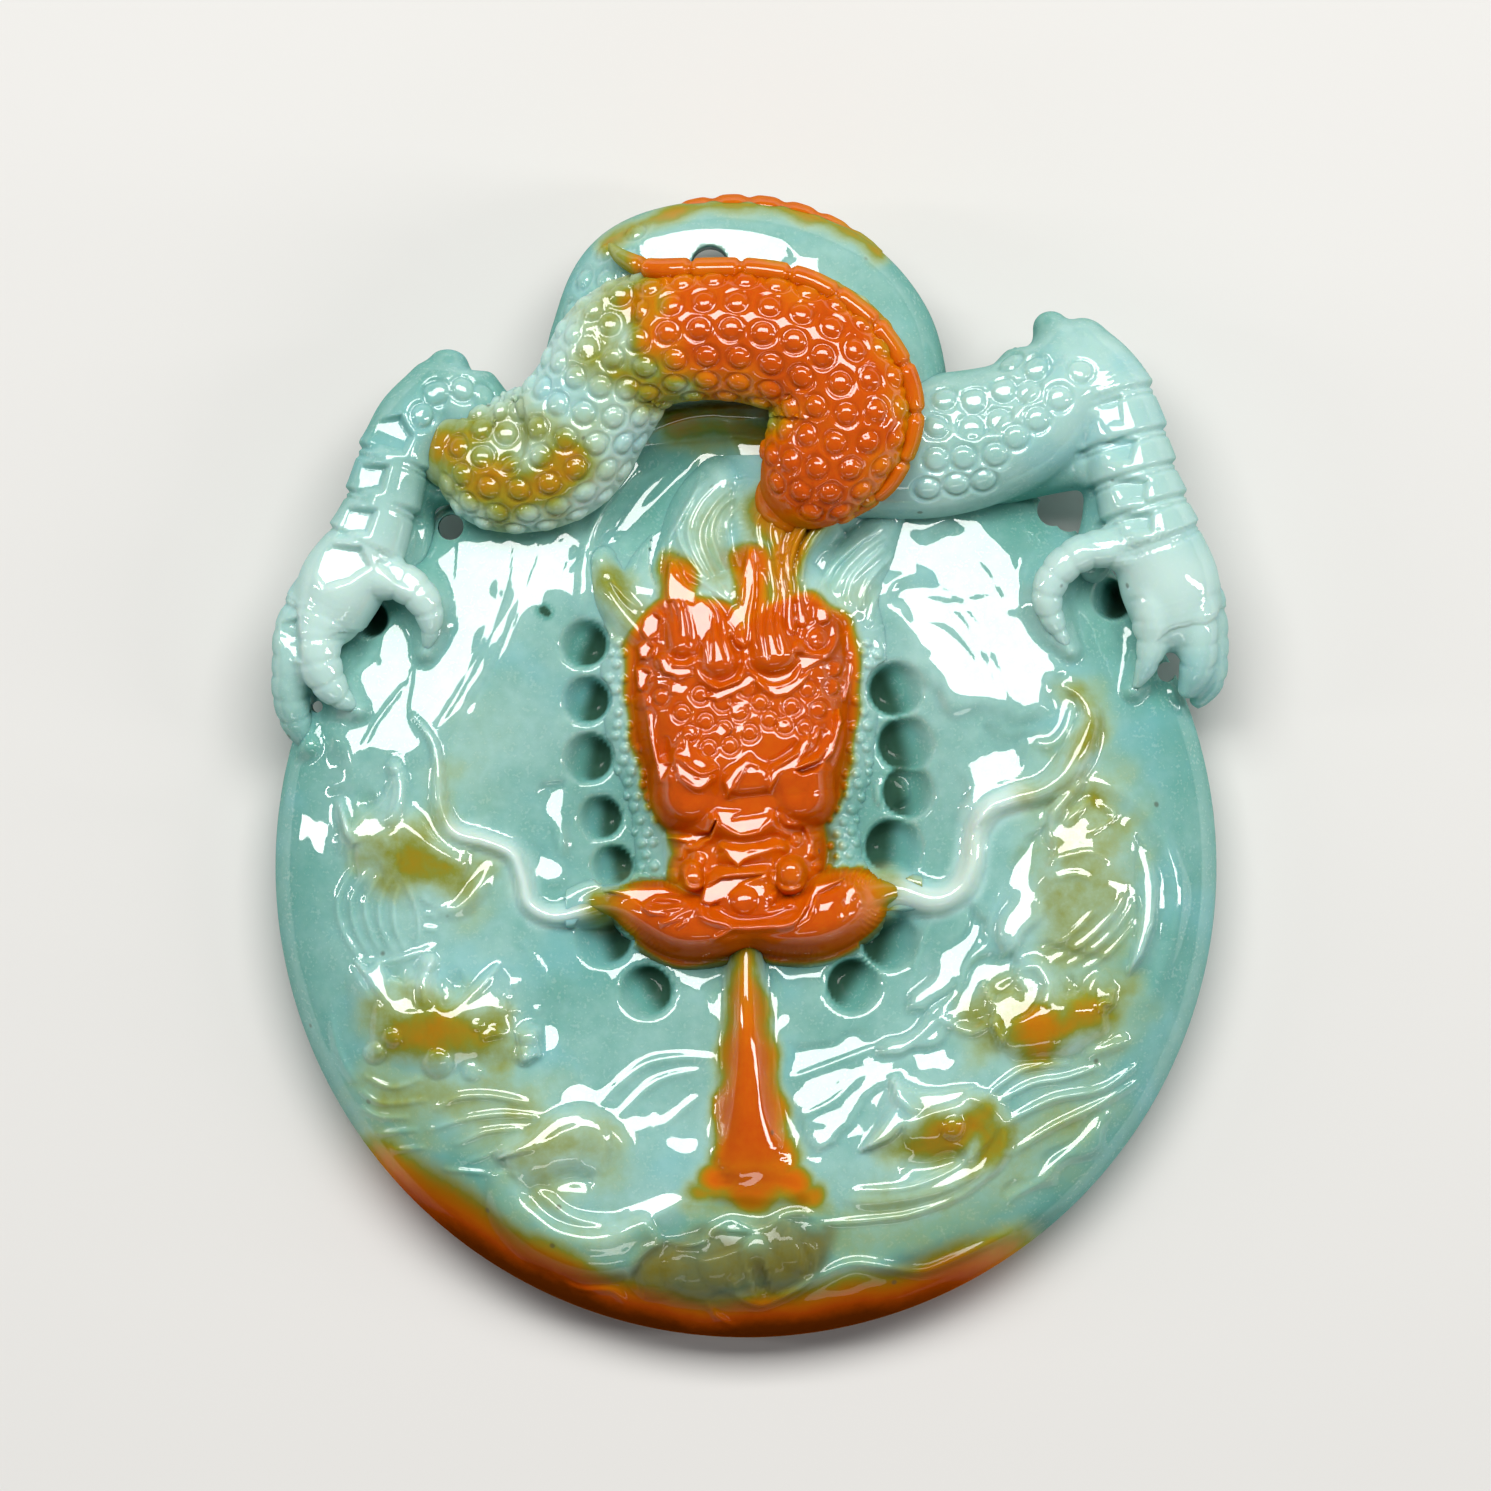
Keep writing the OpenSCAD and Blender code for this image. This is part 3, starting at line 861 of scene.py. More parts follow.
class Tree:
    """A material's nodes."""

    def __init__(self, name: str) -> None:
        """Starts an empty material.

        Args:
            name: The material's name.
        """
        self.material = bpy.data.materials.new(name)
        self.material.use_nodes = True
        self.nodes = self.material.node_tree.nodes
        self.nodes.clear()

    def add(
        self, kind: str, settings: dict[str, object], inputs: dict[object, object], output: object = 0
    ) -> Socket:
        """Adds one node.

        Args:
            kind: The node's type.
            settings: Its properties. "stops" is a ramp's list of place and colour.
            inputs: Values or links of its sockets.
            output: Which output to return.

        Returns:
            That output, wrapped, or the first input of a node without outputs.
        """
        node = self.nodes.new(kind)
        for name, value in settings.items():
            if name == "stops":
                ramp = node.color_ramp
                while len(ramp.elements) < len(value):
                    ramp.elements.new(1.0)
                for element, (place, colour) in zip(ramp.elements, value):
                    element.position = place
                    element.color = (*colour, 1.0)
            else:
                setattr(node, name, value)
        for name, value in inputs.items():
            if isinstance(value, Socket):
                self.material.node_tree.links.new(value.socket, node.inputs[name])
            else:
                node.inputs[name].default_value = value
        return Socket(self, node.outputs[output] if len(node.outputs) else node.inputs[0])

    def noise(self, place: Socket, scale: float, detail: float, roughness: float = 0.5) -> Socket:
        """Cloudy noise.

        Args:
            place: The coordinates.
            scale: How fine it is.
            detail: How many finer layers it has.
            roughness: How strong the finer layers are.

        Returns:
            A value around a half.
        """
        inputs = {"Vector": place, "Scale": scale, "Detail": detail, "Roughness": roughness}
        return self.add("ShaderNodeTexNoise", {}, inputs)

    def painted(self, name: str) -> Socket:
        """A value that a piece's mesh carries at its points."""
        return self.add("ShaderNodeAttribute", {"attribute_name": name}, {}, "Fac")

    def mix(self, share: Socket, low: object, high: object) -> Socket:
        """One colour blended into another.

        Args:
            share: How much of the second colour shows.
            low: The first colour.
            high: The second colour.

        Returns:
            The blended colour.
        """
        first, second = (c if isinstance(c, Socket) else (*c, 1.0) for c in (low, high))
        settings = {"data_type": "RGBA", "clamp_factor": True}
        return self.add("ShaderNodeMix", settings, {0: share, 6: first, 7: second}, 2)


def srgb(red: int, green: int, blue: int) -> tuple[float, float, float]:
    """A screen colour as linear light."""
    shares = (red / 255, green / 255, blue / 255)
    return tuple(s / 12.92 if s <= 0.04045 else ((s + 0.055) / 1.055) ** 2.4 for s in shares)


@dataclass(frozen=True)
class PolishedJade:
    """Finish of the whole stone: translucent pale green under an orange skin, with a wet polish.

    Its meshes carry three values: "skin" is the depth of the orange skin, as in Tone, "lift" is painted
    light and shade, paler where a point stands high and darker where it lies low or has painted shade, and
    "dull" marks walls too steep to polish.
    """

    pale: tuple[float, float, float] = srgb(178, 218, 213)
    deep: tuple[float, float, float] = srgb(106, 170, 160)
    cool: tuple[float, float, float] = srgb(128, 196, 204)
    # Dark green of painted shade.
    hollow: tuple[float, float, float] = srgb(52, 88, 72)
    # Milky white: the stone's own flecks, and painted light where it stands highest.
    milky_and_painted_light: tuple[float, float, float] = srgb(214, 238, 233)
    moss: tuple[float, float, float] = srgb(172, 188, 126)
    olive: tuple[float, float, float] = srgb(140, 146, 38)
    amber: tuple[float, float, float] = srgb(190, 128, 8)
    orange: tuple[float, float, float] = srgb(214, 112, 4)
    red: tuple[float, float, float] = srgb(204, 84, 3)
    # Rusty brown: the skin's deepest tone, and painted shade on the skin.
    rust_and_shade: tuple[float, float, float] = srgb(96, 40, 3)
    speck: tuple[float, float, float] = srgb(84, 78, 60)
    cloud_scale: float = 0.16
    drift_scale: float = 0.22
    cell_scale: float = 0.55
    grain_scale: float = 1.5
    peel_scale: float = 1.6
    fleck_scale: float = 6.0
    peel_height: float = 0.06
    roughness: float = 0.05
    scatter: float = 0.9

    def build(self) -> bpy.types.Material:
        """Makes the material.

        Returns:
            The material.
        """
        tree = Tree("polished_jade")
        place = tree.add("ShaderNodeTexCoord", {}, {}, "Object")
        mm = tree.add("ShaderNodeVectorMath", {"operation": "SCALE"}, {0: place, "Scale": 1 / MM})
        # The value read as height is the painted light level: paler high up, darker low down and under
        # painted shade.
        skin, height, dull = tree.painted("skin"), tree.painted("lift"), tree.painted("dull")

        cloud = tree.noise(mm, self.cloud_scale, 4.0, 0.6)
        grain = tree.noise(mm, self.grain_scale, 5.0, 0.65)
        fleck = tree.noise(mm, self.fleck_scale, 2.0)
        drift = tree.noise(mm, self.drift_scale, 2.0)
        cells = {"Vector": mm, "Scale": self.cell_scale, "Randomness": 1.0}
        dots = tree.add("ShaderNodeTexVoronoi", {}, cells, "Distance")
        chance = tree.add("ShaderNodeTexVoronoi", {}, cells, "Color")

        # The jade: its own cloudy tones, cool drifts and milky flecks, under painted shading that deepens
        # it where it lies low, makes it milky where it stands highest or has painted light, and turns it
        # dark green under painted shade.
        depth = (1 - height) * 0.8 + (cloud - 0.5) * 0.9 + (grain - 0.5) * 0.5
        jade = tree.mix(depth.step(0.0, 1.0), self.pale, self.deep)
        jade = tree.mix(drift.step(0.5, 0.7) * 0.4, jade, self.cool)
        jade = tree.mix((fleck + grain).step(1.08, 1.3) * 0.2, jade, self.milky_and_painted_light)
        jade = tree.mix(height.step(0.9, 1.5) * 0.8, jade, self.milky_and_painted_light)
        # Painted shade: where the painted light level is lowest, the jade turns dark green, the skin darker
        # and the polish duller.
        shadow = (1 - height).step(1.15, 2.0)
        jade = tree.mix(shadow, jade, self.hollow)

        # The skin over it, through its tones, with a mottled edge and a few dark specks.
        worn = skin + ((grain - 0.5) * 0.2 + (cloud - 0.5) * 0.24) * skin.step(0.0, 0.2)
        tones = {
            Tone.JADE: self.moss,
            Tone.MOSS: self.moss,
            Tone.OLIVE: self.olive,
            Tone.AMBER: self.amber,
            Tone.ORANGE: self.orange,
            Tone.RED: self.red,
            Tone.RUST: self.rust_and_shade,
        }
        reach = Tone.RUST.value
        stops = [(tone.value / reach, colour) for tone, colour in tones.items()]
        crust = tree.add("ShaderNodeValToRGB", {"stops": stops}, {"Fac": worn * (1 / reach)}, "Color")
        # Painted shade darkens the skin towards rusty brown.
        crust = tree.mix(shadow * 0.5, crust, self.rust_and_shade)
        colour = tree.mix(worn.step(0.02, 0.46), jade, crust)
        rare = chance.step(0.72, 0.74) * (1 - dots.step(0.04, 0.11)) * 0.6
        colour = tree.mix(rare, colour, self.speck)

        # The polish: wet and faintly uneven, and gone from the hollows and other places of painted shade,
        # from the rusty skin and from the steep walls.
        crusted = skin.step(0.98, 1.25)
        uneven = tree.noise(mm, self.peel_scale, 3.0) + fleck * 0.1
        relief = {"Height": uneven, "Strength": 0.13, "Distance": self.peel_height * MM}
        bump = tree.add("ShaderNodeBump", {}, relief, "Normal")
        shader = tree.add(
            "ShaderNodeBsdfPrincipled",
            {"subsurface_method": "RANDOM_WALK"},
            {
                "Base Color": colour,
                "Roughness": self.roughness + (grain - 0.5) * 0.02 + shadow * 0.3 + crusted * 0.3,
                "IOR": 1.5,
                "Normal": bump,
                "Subsurface Weight": 0.5,
                "Subsurface Radius": (1.0, 0.8, 0.5),
                "Subsurface Scale": self.scatter * MM,
                "Specular IOR Level": 0.0,
                "Coat Weight": (0.95 - shadow * 0.75 - crusted * 0.85) * (1 - dull * 0.9),
                "Coat Roughness": 0.03,
                "Coat IOR": 1.8,
            },
            "BSDF",
        )
        tree.add("ShaderNodeOutputMaterial", {}, {"Surface": shader})
        return tree.material


@dataclass
class Stone:
    """What the carved features share: the disc they stand on, their finish and their place."""

    middle: tuple[float, float] = (-0.2, -5.0)
    radius: float = 23.65
    edge_z: float = 3.0
    face_z: float = 7.6
    face_power: float = 4.0
    back_depth: float = 3.2
    back_power: float = 10.0
    dish_depth: float = 2.3
    dish_r: float = 18.0
    facets: tuple[tuple[tuple[float, float], float, float, Spots], ...] = (
        ((0, 0.05), 0, 1.5, (
            (-1.2, -9.6), (-8.2, -10), (-10.8, -12.6), (-9.6, -16.6), (-4, -18.4), (-1, -18),
        )),
        ((0, 0.05), 0, 1.3, ((0.8, -9.4), (8.6, -9.6), (10.4, -12), (8.4, -15), (3.4, -19), (1, -18))),
        ((-0.17, 0.15), 0.1, 0.9, (
            (-15.6, 12.2), (-9.9, 11.5), (-12.4, 8.2), (-13.3, 5.6), (-14.2, 2.6), (-16.9, 0.6),
            (-18.8, -0.2), (-20.2, -0.9), (-20.9, 1.5), (-20.2, 4), (-18.8, 6.6), (-16.9, 10.2),
        )),
        ((0.03, 0.15), 0.26, 0.6, (
            (7.6, 11.2), (9.2, 11.9), (11.4, 12.5), (12.7, 10.6), (12.9, 8.9), (14.4, 7), (15.3, 5.2),
            (14.8, 3), (12.6, 2.6), (9.9, 3.2), (8.6, 5.1), (8.2, 6.6), (7.1, 8.4), (7.9, 9.6),
        )),
        ((0, 0.15), 0, 0.45, ((11.7, 1.7), (14, 1.5), (12.8, -1), (11.2, -3), (10.6, -1.6), (11.2, 1))),
        ((0, 0.12), 0.5, 0.8, ((-9, 9.5), (9, 9.5), (9, 18), (-9, 18))),
        ((-0.04, 0.16), 0, 0.22, (
            (2.2, -14), (4.4, -13.3), (6.3, -13.6), (7.6, -14.7), (6.6, -16.2), (5, -17.4), (4.6, -18.8),
            (3, -18.8), (2.3, -16.5),
        )),
        ((-0.05, 0.17), 0, 0.22, (
            (12.9, -9), (13.3, -9.7), (11.8, -11.4), (9.9, -13.2), (7.9, -14.6), (6.5, -14.1), (8.6, -12.6),
            (10.6, -10.9), (11.9, -9.4),
        )),
        ((-0.04, 0.15), 0, 0.25, (
            (11.2, -6.8), (11.9, -7.8), (10.4, -10.6), (8.9, -12.1), (8, -11.9), (9.4, -9.6),
        )),
        ((-0.06, 0.17), 0, 0.3, ((12.4, -9), (13, -6), (13.5, -3.2), (15, -3), (14.6, -6.2), (13.6, -8.7))),
        ((-0.06, 0.13), -0.05, 0.3, (
            (12.9, -21.5), (13.4, -20.6), (15.2, -19.2), (17.9, -17.5), (17.6, -18.8), (15, -20.8),
        )),
        ((0.05, 0.17), 0, 0.25, ((-10.4, -0.6), (-9.5, -0.7), (-9, -3.4), (-9.6, -3.9), (-10.1, -2.6))),
        ((0.05, 0.17), 0, 0.25, ((-10.9, -4), (-9.8, -4.2), (-9, -5.8), (-10.2, -5.7))),
    )
    ripple: float = 0.014
    carved_top: float = 14.35
    # Heights over which the painted light level rises from darkest to palest.
    relief_z: tuple[float, float] = (5.0, 9.5)
    unpolished: tuple[float, float] = (0.72, 0.34)
    finish: bpy.types.Material | None = None

    def dome(self, x: np.ndarray | float, y: np.ndarray | float) -> np.ndarray:
        """Height of the disc's front face before it is ground and carved.

        Args:
            x: x of the places.
            y: y of the places.

        Returns:
            The heights.
        """
        away = np.hypot(x - self.middle[0], y - self.middle[1])
        dome = np.sqrt(np.clip(1 - np.minimum(away / self.radius, 1) ** self.face_power, 0, 1))
        dish = np.clip(1 - (away / self.dish_r) ** 2, 0, 1) ** 2
        return self.edge_z + (self.face_z - self.edge_z) * dome - self.dish_depth * dish

    def face(self, x: np.ndarray, y: np.ndarray) -> np.ndarray:
        """Height of the disc's plain front face with its ground facets and faint ripples.

        Args:
            x: x of the places.
            y: y of the places.

        Returns:
            The heights.
        """
        z = self.dome(x, y)
        shift = 0.24 * np.sin(1.3 * x + 1.9 * y) + 0.1 * np.sin(3.7 * x - 2.9 * y)
        points = np.stack([x + shift, y + 0.24 * np.sin(1.7 * x - 1.1 * y) - shift * 0.5], axis=1)
        inner = ease(1.0, 0.9, np.hypot(x - self.middle[0], y - self.middle[1]) / self.radius)
        for lean, drop, soft, corners in self.facets:
            at = np.mean(np.array(corners), axis=0)
            plane = self.dome(*at) - drop - (x - at[0]) * lean[0] - (y - at[1]) * lean[1]
            z = z + (plane - z) * within(points, corners, soft) * inner
        wave = np.sin(1.7 * x + 0.9 * y + 1.6 * np.sin(0.6 * y + 0.3 * x))
        wave += 0.5 * np.sin(3.1 * x - 1.4 * y + 2 * np.sin(0.9 * x))
        wave += 0.3 * np.sin(4.3 * x + 3.3 * y + 2.2 * np.sin(1.9 * x - 1.2 * y))
        return z + self.ripple * wave * inner

    def back(self, share: float) -> float:
        """Height of the disc's back at a share of its radius."""
        return max(0.0, self.edge_z - self.back_depth * math.sqrt(max(0.0, 1 - share**self.back_power)))

    def hand_over(self, clay: Clay, name: str, skin: np.ndarray, gloom: np.ndarray | float = 0) -> None:
        """Makes a shaped mesh a piece of the pendant.

        Args:
            clay: The mesh, in millimetres.
            name: The piece's name.
            skin: The orange skin's depth at its points.
            gloom: Painted shade at its points, and painted light where it is below 0.
        """
        clay.paint("skin", skin)
        # Painted light and shade: paler the higher a point stands, darker where it has painted shade.
        clay.paint("lift", ease(*self.relief_z, clay.points[:, 2]) - gloom)
        clay.paint("dull", ease(*self.unpolished, clay.normals[:, 2]))
        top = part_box(NODE)[1].z / MM
        clay.mesh.transform(Matrix.Diagonal((MM, MM, MM * top / self.carved_top, 1)))
        clay.mesh.shade_smooth()
        clay.mesh.materials.clear()
        clay.mesh.materials.append(self.finish)
        clay.mesh.name = name
        piece = bpy.data.objects.new(name, clay.mesh)
        bpy.context.scene.collection.objects.link(piece)
        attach(piece, BODY)
        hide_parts(NODE)
        log.info("%s: %d triangles", name, sum(len(p.vertices) - 2 for p in clay.mesh.polygons))


PITS: Spots = (
    (-8.3, 6.2, 1.25), (-8.2, 3.4, 1.25), (-8.1, 0.5, 1.3), (-7.5, -2.5, 1.15), (-6.9, -4.9, 1.1),
    (-7.3, -8.5, 1.5), (-5.2, -11.2, 1.4), (7.3, 3.9, 1.45), (7.8, 1.2, 1.5), (7.9, -1.2, 1.4),
    (7.2, -4, 1.55), (7, -8.7, 1.5), (5.2, -10.9, 1.45),
)


@dataclass(frozen=True)
class Stroke:
    """Carved threads of one size, raised or cut, that taper to points at both ends."""

    rise: float
    width: float
    lines: tuple[Rows, ...]

    def carve(self, relief: Relief) -> None:
        """Sets the threads into a relief."""
        for line in self.lines:
            relief.stroke(line, self.rise, self.width)


@dataclass
class WaveDisc:
    """The round disc with its waves, whiskers and water column, all in low relief.

    Its grid has cells both ways, which lie closer at the disc's foot and towards its edge.
    """

    stone: Stone
    cells: int = 300
    crowding: float = 0.9
    lower_share: float = 0.2
    outer_share: float = 0.3
    plain_edge: float = 0.975
    back_rings: tuple[float, ...] = (0.995, 0.97, 0.92, 0.86, 0.78)
    whiskers: tuple[Rows, ...] = (
        (
            (4.6, -6.4, 0.7, 1.5, 1.2), (5.9, -6.3, 0.7, 1.3, 1.1), (7.3, -6.15, 0.5, 0.95, 0.9),
            (9.1, -6.6, 0.4, 0.75, 0.75), (10.4, -6.1, 0.3, 0.62, 0.7), (11.1, -4.8, 0.3, 0.52, 0.65),
            (11.3, -3.2, 0.3, 0.5, 0.65), (12.1, -2, 0.3, 0.52, 0.65), (13.3, -1.5, 0.3, 0.56, 0.65),
            (14.6, -1.15, 0.3, 0.6, 0.7), (15.8, -0.3, 0.35, 0.75, 0.75), (16.6, 1.2, 0.3, 0.75, 0.75),
            (17, 2.6, 0.2, 0.55, 0.6), (16.5, 3.6, 0.1, 0.35, 0.4), (15.8, 4, 0, 0.15, 0.2),
        ),
        (
            (-4.6, -6.6, 0.7, 1.1, 1.1), (-6.4, -6.6, 0.5, 0.8, 0.9), (-8.2, -7.1, 0.4, 0.62, 0.75),
            (-9.8, -7.4, 0.3, 0.5, 0.7), (-11, -6.8, 0.3, 0.42, 0.6), (-11.4, -5.4, 0.3, 0.38, 0.6),
            (-11.9, -4.3, 0.3, 0.38, 0.55), (-13.2, -3.7, 0.3, 0.4, 0.5), (-14.8, -3.2, 0.25, 0.45, 0.5),
            (-15.5, -1.8, 0.2, 0.4, 0.5), (-15.6, 0.2, 0.15, 0.25, 0.4), (-15.9, 1.4, 0.1, 0.18, 0.3),
            (-16.8, 2.6, 0, 0.1, 0.2),
        ),
    )
    column: Rows = (
        (-0.2, -9, 6.6, 0.8, 1.6), (-0.2, -11, 6.7, 0.95, 1.9), (-0.15, -13.2, 6.7, 1.15, 2.1),
        (-0.1, -15, 6.7, 1.35, 2), (-0.1, -16.8, 6.7, 1.55, 1.85), (0, -18.4, 6.7, 1.85, 1.6),
        (0.1, -19.7, 6.7, 2.4, 1.25), (0.25, -20.7, 6.6, 3.1, 0.8), (0.3, -21.7, 6.2, 3.9, 0.5),
        (0.3, -22.6, 5.7, 4.2, 0.2),
    )
    masses: tuple[Rows, ...] = (
        ((-19.4, -4.6, 0, 1.2, 0.25), (-17, -4.6, 0, 2, 0.35), (-14.6, -5.4, 0, 1.6, 0.3)),
        ((-18.6, -13, 0, 1.4, 0.3), (-15.6, -13.2, 0, 1.8, 0.4), (-12.2, -12.8, 0, 1.5, 0.35)),
        ((-11.8, -20, 0, 1.2, 0.3), (-9.4, -19, 0, 1.5, 0.4), (-7.4, -18.9, 0, 1.2, 0.3)),
        (
            (-12.2, -20.4, 0, 0.8, 0.3), (-11.9, -22.2, 0.1, 1.1, 0.6), (-10, -23.9, 0.2, 1.2, 0.7),
            (-7.4, -24.4, 0.2, 1.3, 0.7), (-5, -23.4, 0.1, 1.1, 0.5),
        ),
        (
            (-5.2, -25.4, 0.1, 1, 0.4), (-3, -25.2, 0.2, 1.6, 0.6), (0, -24.8, 0.2, 2, 0.6),
            (2.2, -24.2, 0.1, 1.5, 0.5),
        ),
        (
            (15.8, -2.4, 0, 1.2, 0.4), (16.6, -4.4, 0.1, 2.1, 0.6), (16.8, -6.4, 0.1, 2.3, 0.6),
            (16.2, -8.8, 0, 1.8, 0.4),
        ),
        ((13, -13.4, 0, 1.1, 0.4), (15.2, -13, 0.1, 1.5, 0.6), (17.4, -12.4, 0, 1.1, 0.4)),
        ((8, -18.2, 0, 0.9, 0.3), (10, -17.9, 0, 1.3, 0.4), (11.6, -18.8, 0, 1.1, 0.3)),
    )
    crests: tuple[Rows, ...] = (
        # upper left wave
        (
            (-20.5, -3.3, 0, 0.4, 0.5), (-20, -3.7, 0.45, 1.2, 1), (-18.9, -3.3, 0.6, 1.4, 2.2),
            (-18.2, -3.15, 0.65, 2.2, 2.6), (-17.4, -2.75, 0.6, 1.2, 2.8), (-16.6, -3.3, 0.5, 0.7, 2.6),
            (-15.9, -3.9, 0.35, 0.5, 2.2), (-14.8, -4.6, 0.15, 0.5, 1.4), (-13.6, -5, 0, 0.4, 0.8),
        ),
        (
            (-16, -7.1, 0, 0.3, 0.4), (-14.6, -7, 0.4, 0.5, 0.6), (-13.6, -6, 0.4, 0.5, 0.6),
            (-12.9, -4.6, 0, 0.3, 0.3),
        ),
        # middle left wave
        (
            (-19.9, -9.8, 0, 0.4, 0.4), (-19.3, -10.9, 0.5, 0.9, 1), (-18.4, -11.8, 0.65, 1.7, 2.2),
            (-17.2, -12.15, 0.7, 2, 2.4), (-16.2, -11.8, 0.7, 1.6, 2.6), (-15.6, -12.1, 0.65, 0.5, 2.6),
            (-14.8, -12.35, 0.6, 0.55, 2.4), (-13.7, -11.6, 0.5, 0.55, 2.2), (-13, -10.6, 0.4, 0.5, 1.6),
            (-12.5, -9.9, 0, 0.3, 0.6),
        ),
        # lower left wave
        (
            (-12.9, -19.4, 0, 0.3, 0.5), (-12.2, -19.1, 0.5, 0.5, 1.6), (-10.6, -18.5, 0.65, 0.65, 2.2),
            (-9.7, -17.8, 0.65, 0.65, 2.4), (-8.4, -17.4, 0.6, 0.6, 2.4), (-7.2, -17.9, 0.4, 0.6, 2),
            (-6.3, -19, 0.25, 0.6, 1.3), (-5.9, -20.3, 0, 0.4, 0.6),
        ),
        (
            (-10.8, -21, 0, 0.3, 0.5), (-10.2, -21.5, 0.4, 0.4, 1.4), (-8.9, -22.5, 0.5, 0.5, 1.6),
            (-6.9, -22.9, 0.5, 0.7, 1.4), (-5, -22.5, 0.45, 0.9, 1.2), (-3.9, -21.9, 0.3, 0.7, 0.8),
            (-3.3, -21.4, 0, 0.3, 0.4),
        ),
        # flank of the upper right wave
        (
            (12.7, -9.6, 0, 0.6, 0.6), (13.4, -8.4, 0.2, 1.2, 1), (14.2, -6.2, 0.25, 1.3, 1.4),
            (14.9, -3.6, 0.2, 1.2, 1.2), (15.1, -2.6, 0, 0.5, 0.5),
        ),
        # middle right wave
        (
            (11.3, -10.9, 0, 0.3, 0.4), (11.9, -11.5, 0.45, 0.6, 1.2), (12.7, -12.6, 0.55, 1.3, 1.8),
            (13.7, -12.4, 0.65, 2, 2.2), (14.7, -11.3, 0.65, 1.2, 2.8), (15.6, -11.7, 0.6, 0.5, 2.6),
            (16.6, -11.5, 0.5, 0.45, 2.2), (17.2, -10.6, 0.3, 0.4, 1.4), (17.4, -10.1, 0, 0.3, 0.6),
        ),
        # lower right wave
        (
            (5.7, -19.1, 0, 0.4, 0.5), (6.8, -18.4, 0.4, 0.7, 1), (7.9, -17.4, 0.6, 1.6, 1.6),
            (9.4, -16.8, 0.65, 0.8, 1.8), (11, -16.5, 0.6, 0.6, 1.4), (12.2, -17.2, 0.5, 0.6, 1.1),
            (12.7, -18.2, 0.4, 0.5, 0.9), (12.4, -19.6, 0.4, 0.5, 0.8), (11, -20.5, 0.35, 0.5, 0.8),
            (9, -21.3, 0.35, 0.5, 0.9), (6, -21.7, 0.3, 0.5, 0.9), (4.2, -21.3, 0, 0.3, 0.5),
        ),
    )
    wedges: tuple[tuple[float, tuple[float, float], Spots], ...] = (
        (0.55, (-0.16, 0.17), (
            (-20.5, -1.85), (-20.3, -3.3), (-19.9, -3.9), (-18.9, -3.5), (-18.3, -3.3), (-17.4, -2.8),
            (-17.2, -1.9), (-17.2, -0.9), (-17.35, 0.1), (-17.9, 0.25), (-18, -0.7), (-18.4, -1.7),
            (-19.4, -2.4), (-19.9, -3),
        )),
        (0.6, (-0.12, 0.18), (
            (-19.7, -9.7), (-19.1, -10.1), (-18.5, -9.7), (-18.1, -10.5), (-17.2, -10.8), (-16.5, -10.6),
            (-15.8, -9.4), (-15.6, -10.8), (-15.8, -12), (-16.3, -12.1), (-17.3, -12.2), (-18.3, -11.7),
            (-18.9, -11),
        )),
        (0.75, (-0.05, 0.2), (
            (-15.6, -12.2), (-14.9, -12.6), (-13.4, -11.2), (-12.6, -9.9), (-13.6, -10.8), (-14.9, -11.9),
        )),
        (0.5, (0, 0.18), ((-11.6, -13.2), (-10.6, -13), (-10.5, -14.4), (-11.4, -14.8))),
        (0.75, (-0.05, 0.2), (
            (-12.6, -19.5), (-11, -18.5), (-9.6, -17.3), (-8.4, -17.1), (-8.5, -17.7), (-9.5, -18.1),
            (-10.9, -19.1),
        )),
        (0.5, (0.08, 0.2), ((15.5, -1), (16.7, -0.4), (16.5, -1.2), (15.7, -2.2), (15, -3), (14.9, -2.2))),
        (0.3, (0.06, 0.16), (
            (19.3, -3.4), (20, -4.2), (20.3, -6), (20.2, -7.8), (19.6, -9.4), (18.9, -10.3), (19.3, -8.6),
            (19.5, -7.2), (19.2, -5.6),
        )),
        (0.6, (0.08, 0.2), (
            (11.6, -10.8), (12.2, -11.6), (13, -11.1), (13.3, -10.4), (13.2, -9.9), (14.4, -9.8),
            (14.9, -10.9), (13.9, -12.3), (13, -12.7), (12.6, -13.9), (12.1, -12.9), (12.1, -12),
        )),
        (0.55, (0.15, 0.18), ((17.4, -11), (18.2, -11.1), (18.2, -11.9), (17.5, -11.8))),
        (0.6, (0.03, 0.2), (
            (7.1, -15.5), (8.3, -16.2), (9.6, -16.2), (11.2, -15.9), (10.4, -16.7), (9, -17.1),
            (7.8, -17.7), (6.9, -18.6), (5.6, -19.1), (6.6, -17.8), (7.3, -16.9),
        )),
        (0.25, (0, 0.2), (
            (-4, -24), (-2.4, -23.8), (-1.6, -23.1), (0, -23.3), (-0.4, -23.9), (-2.2, -24.5),
        )),
    )
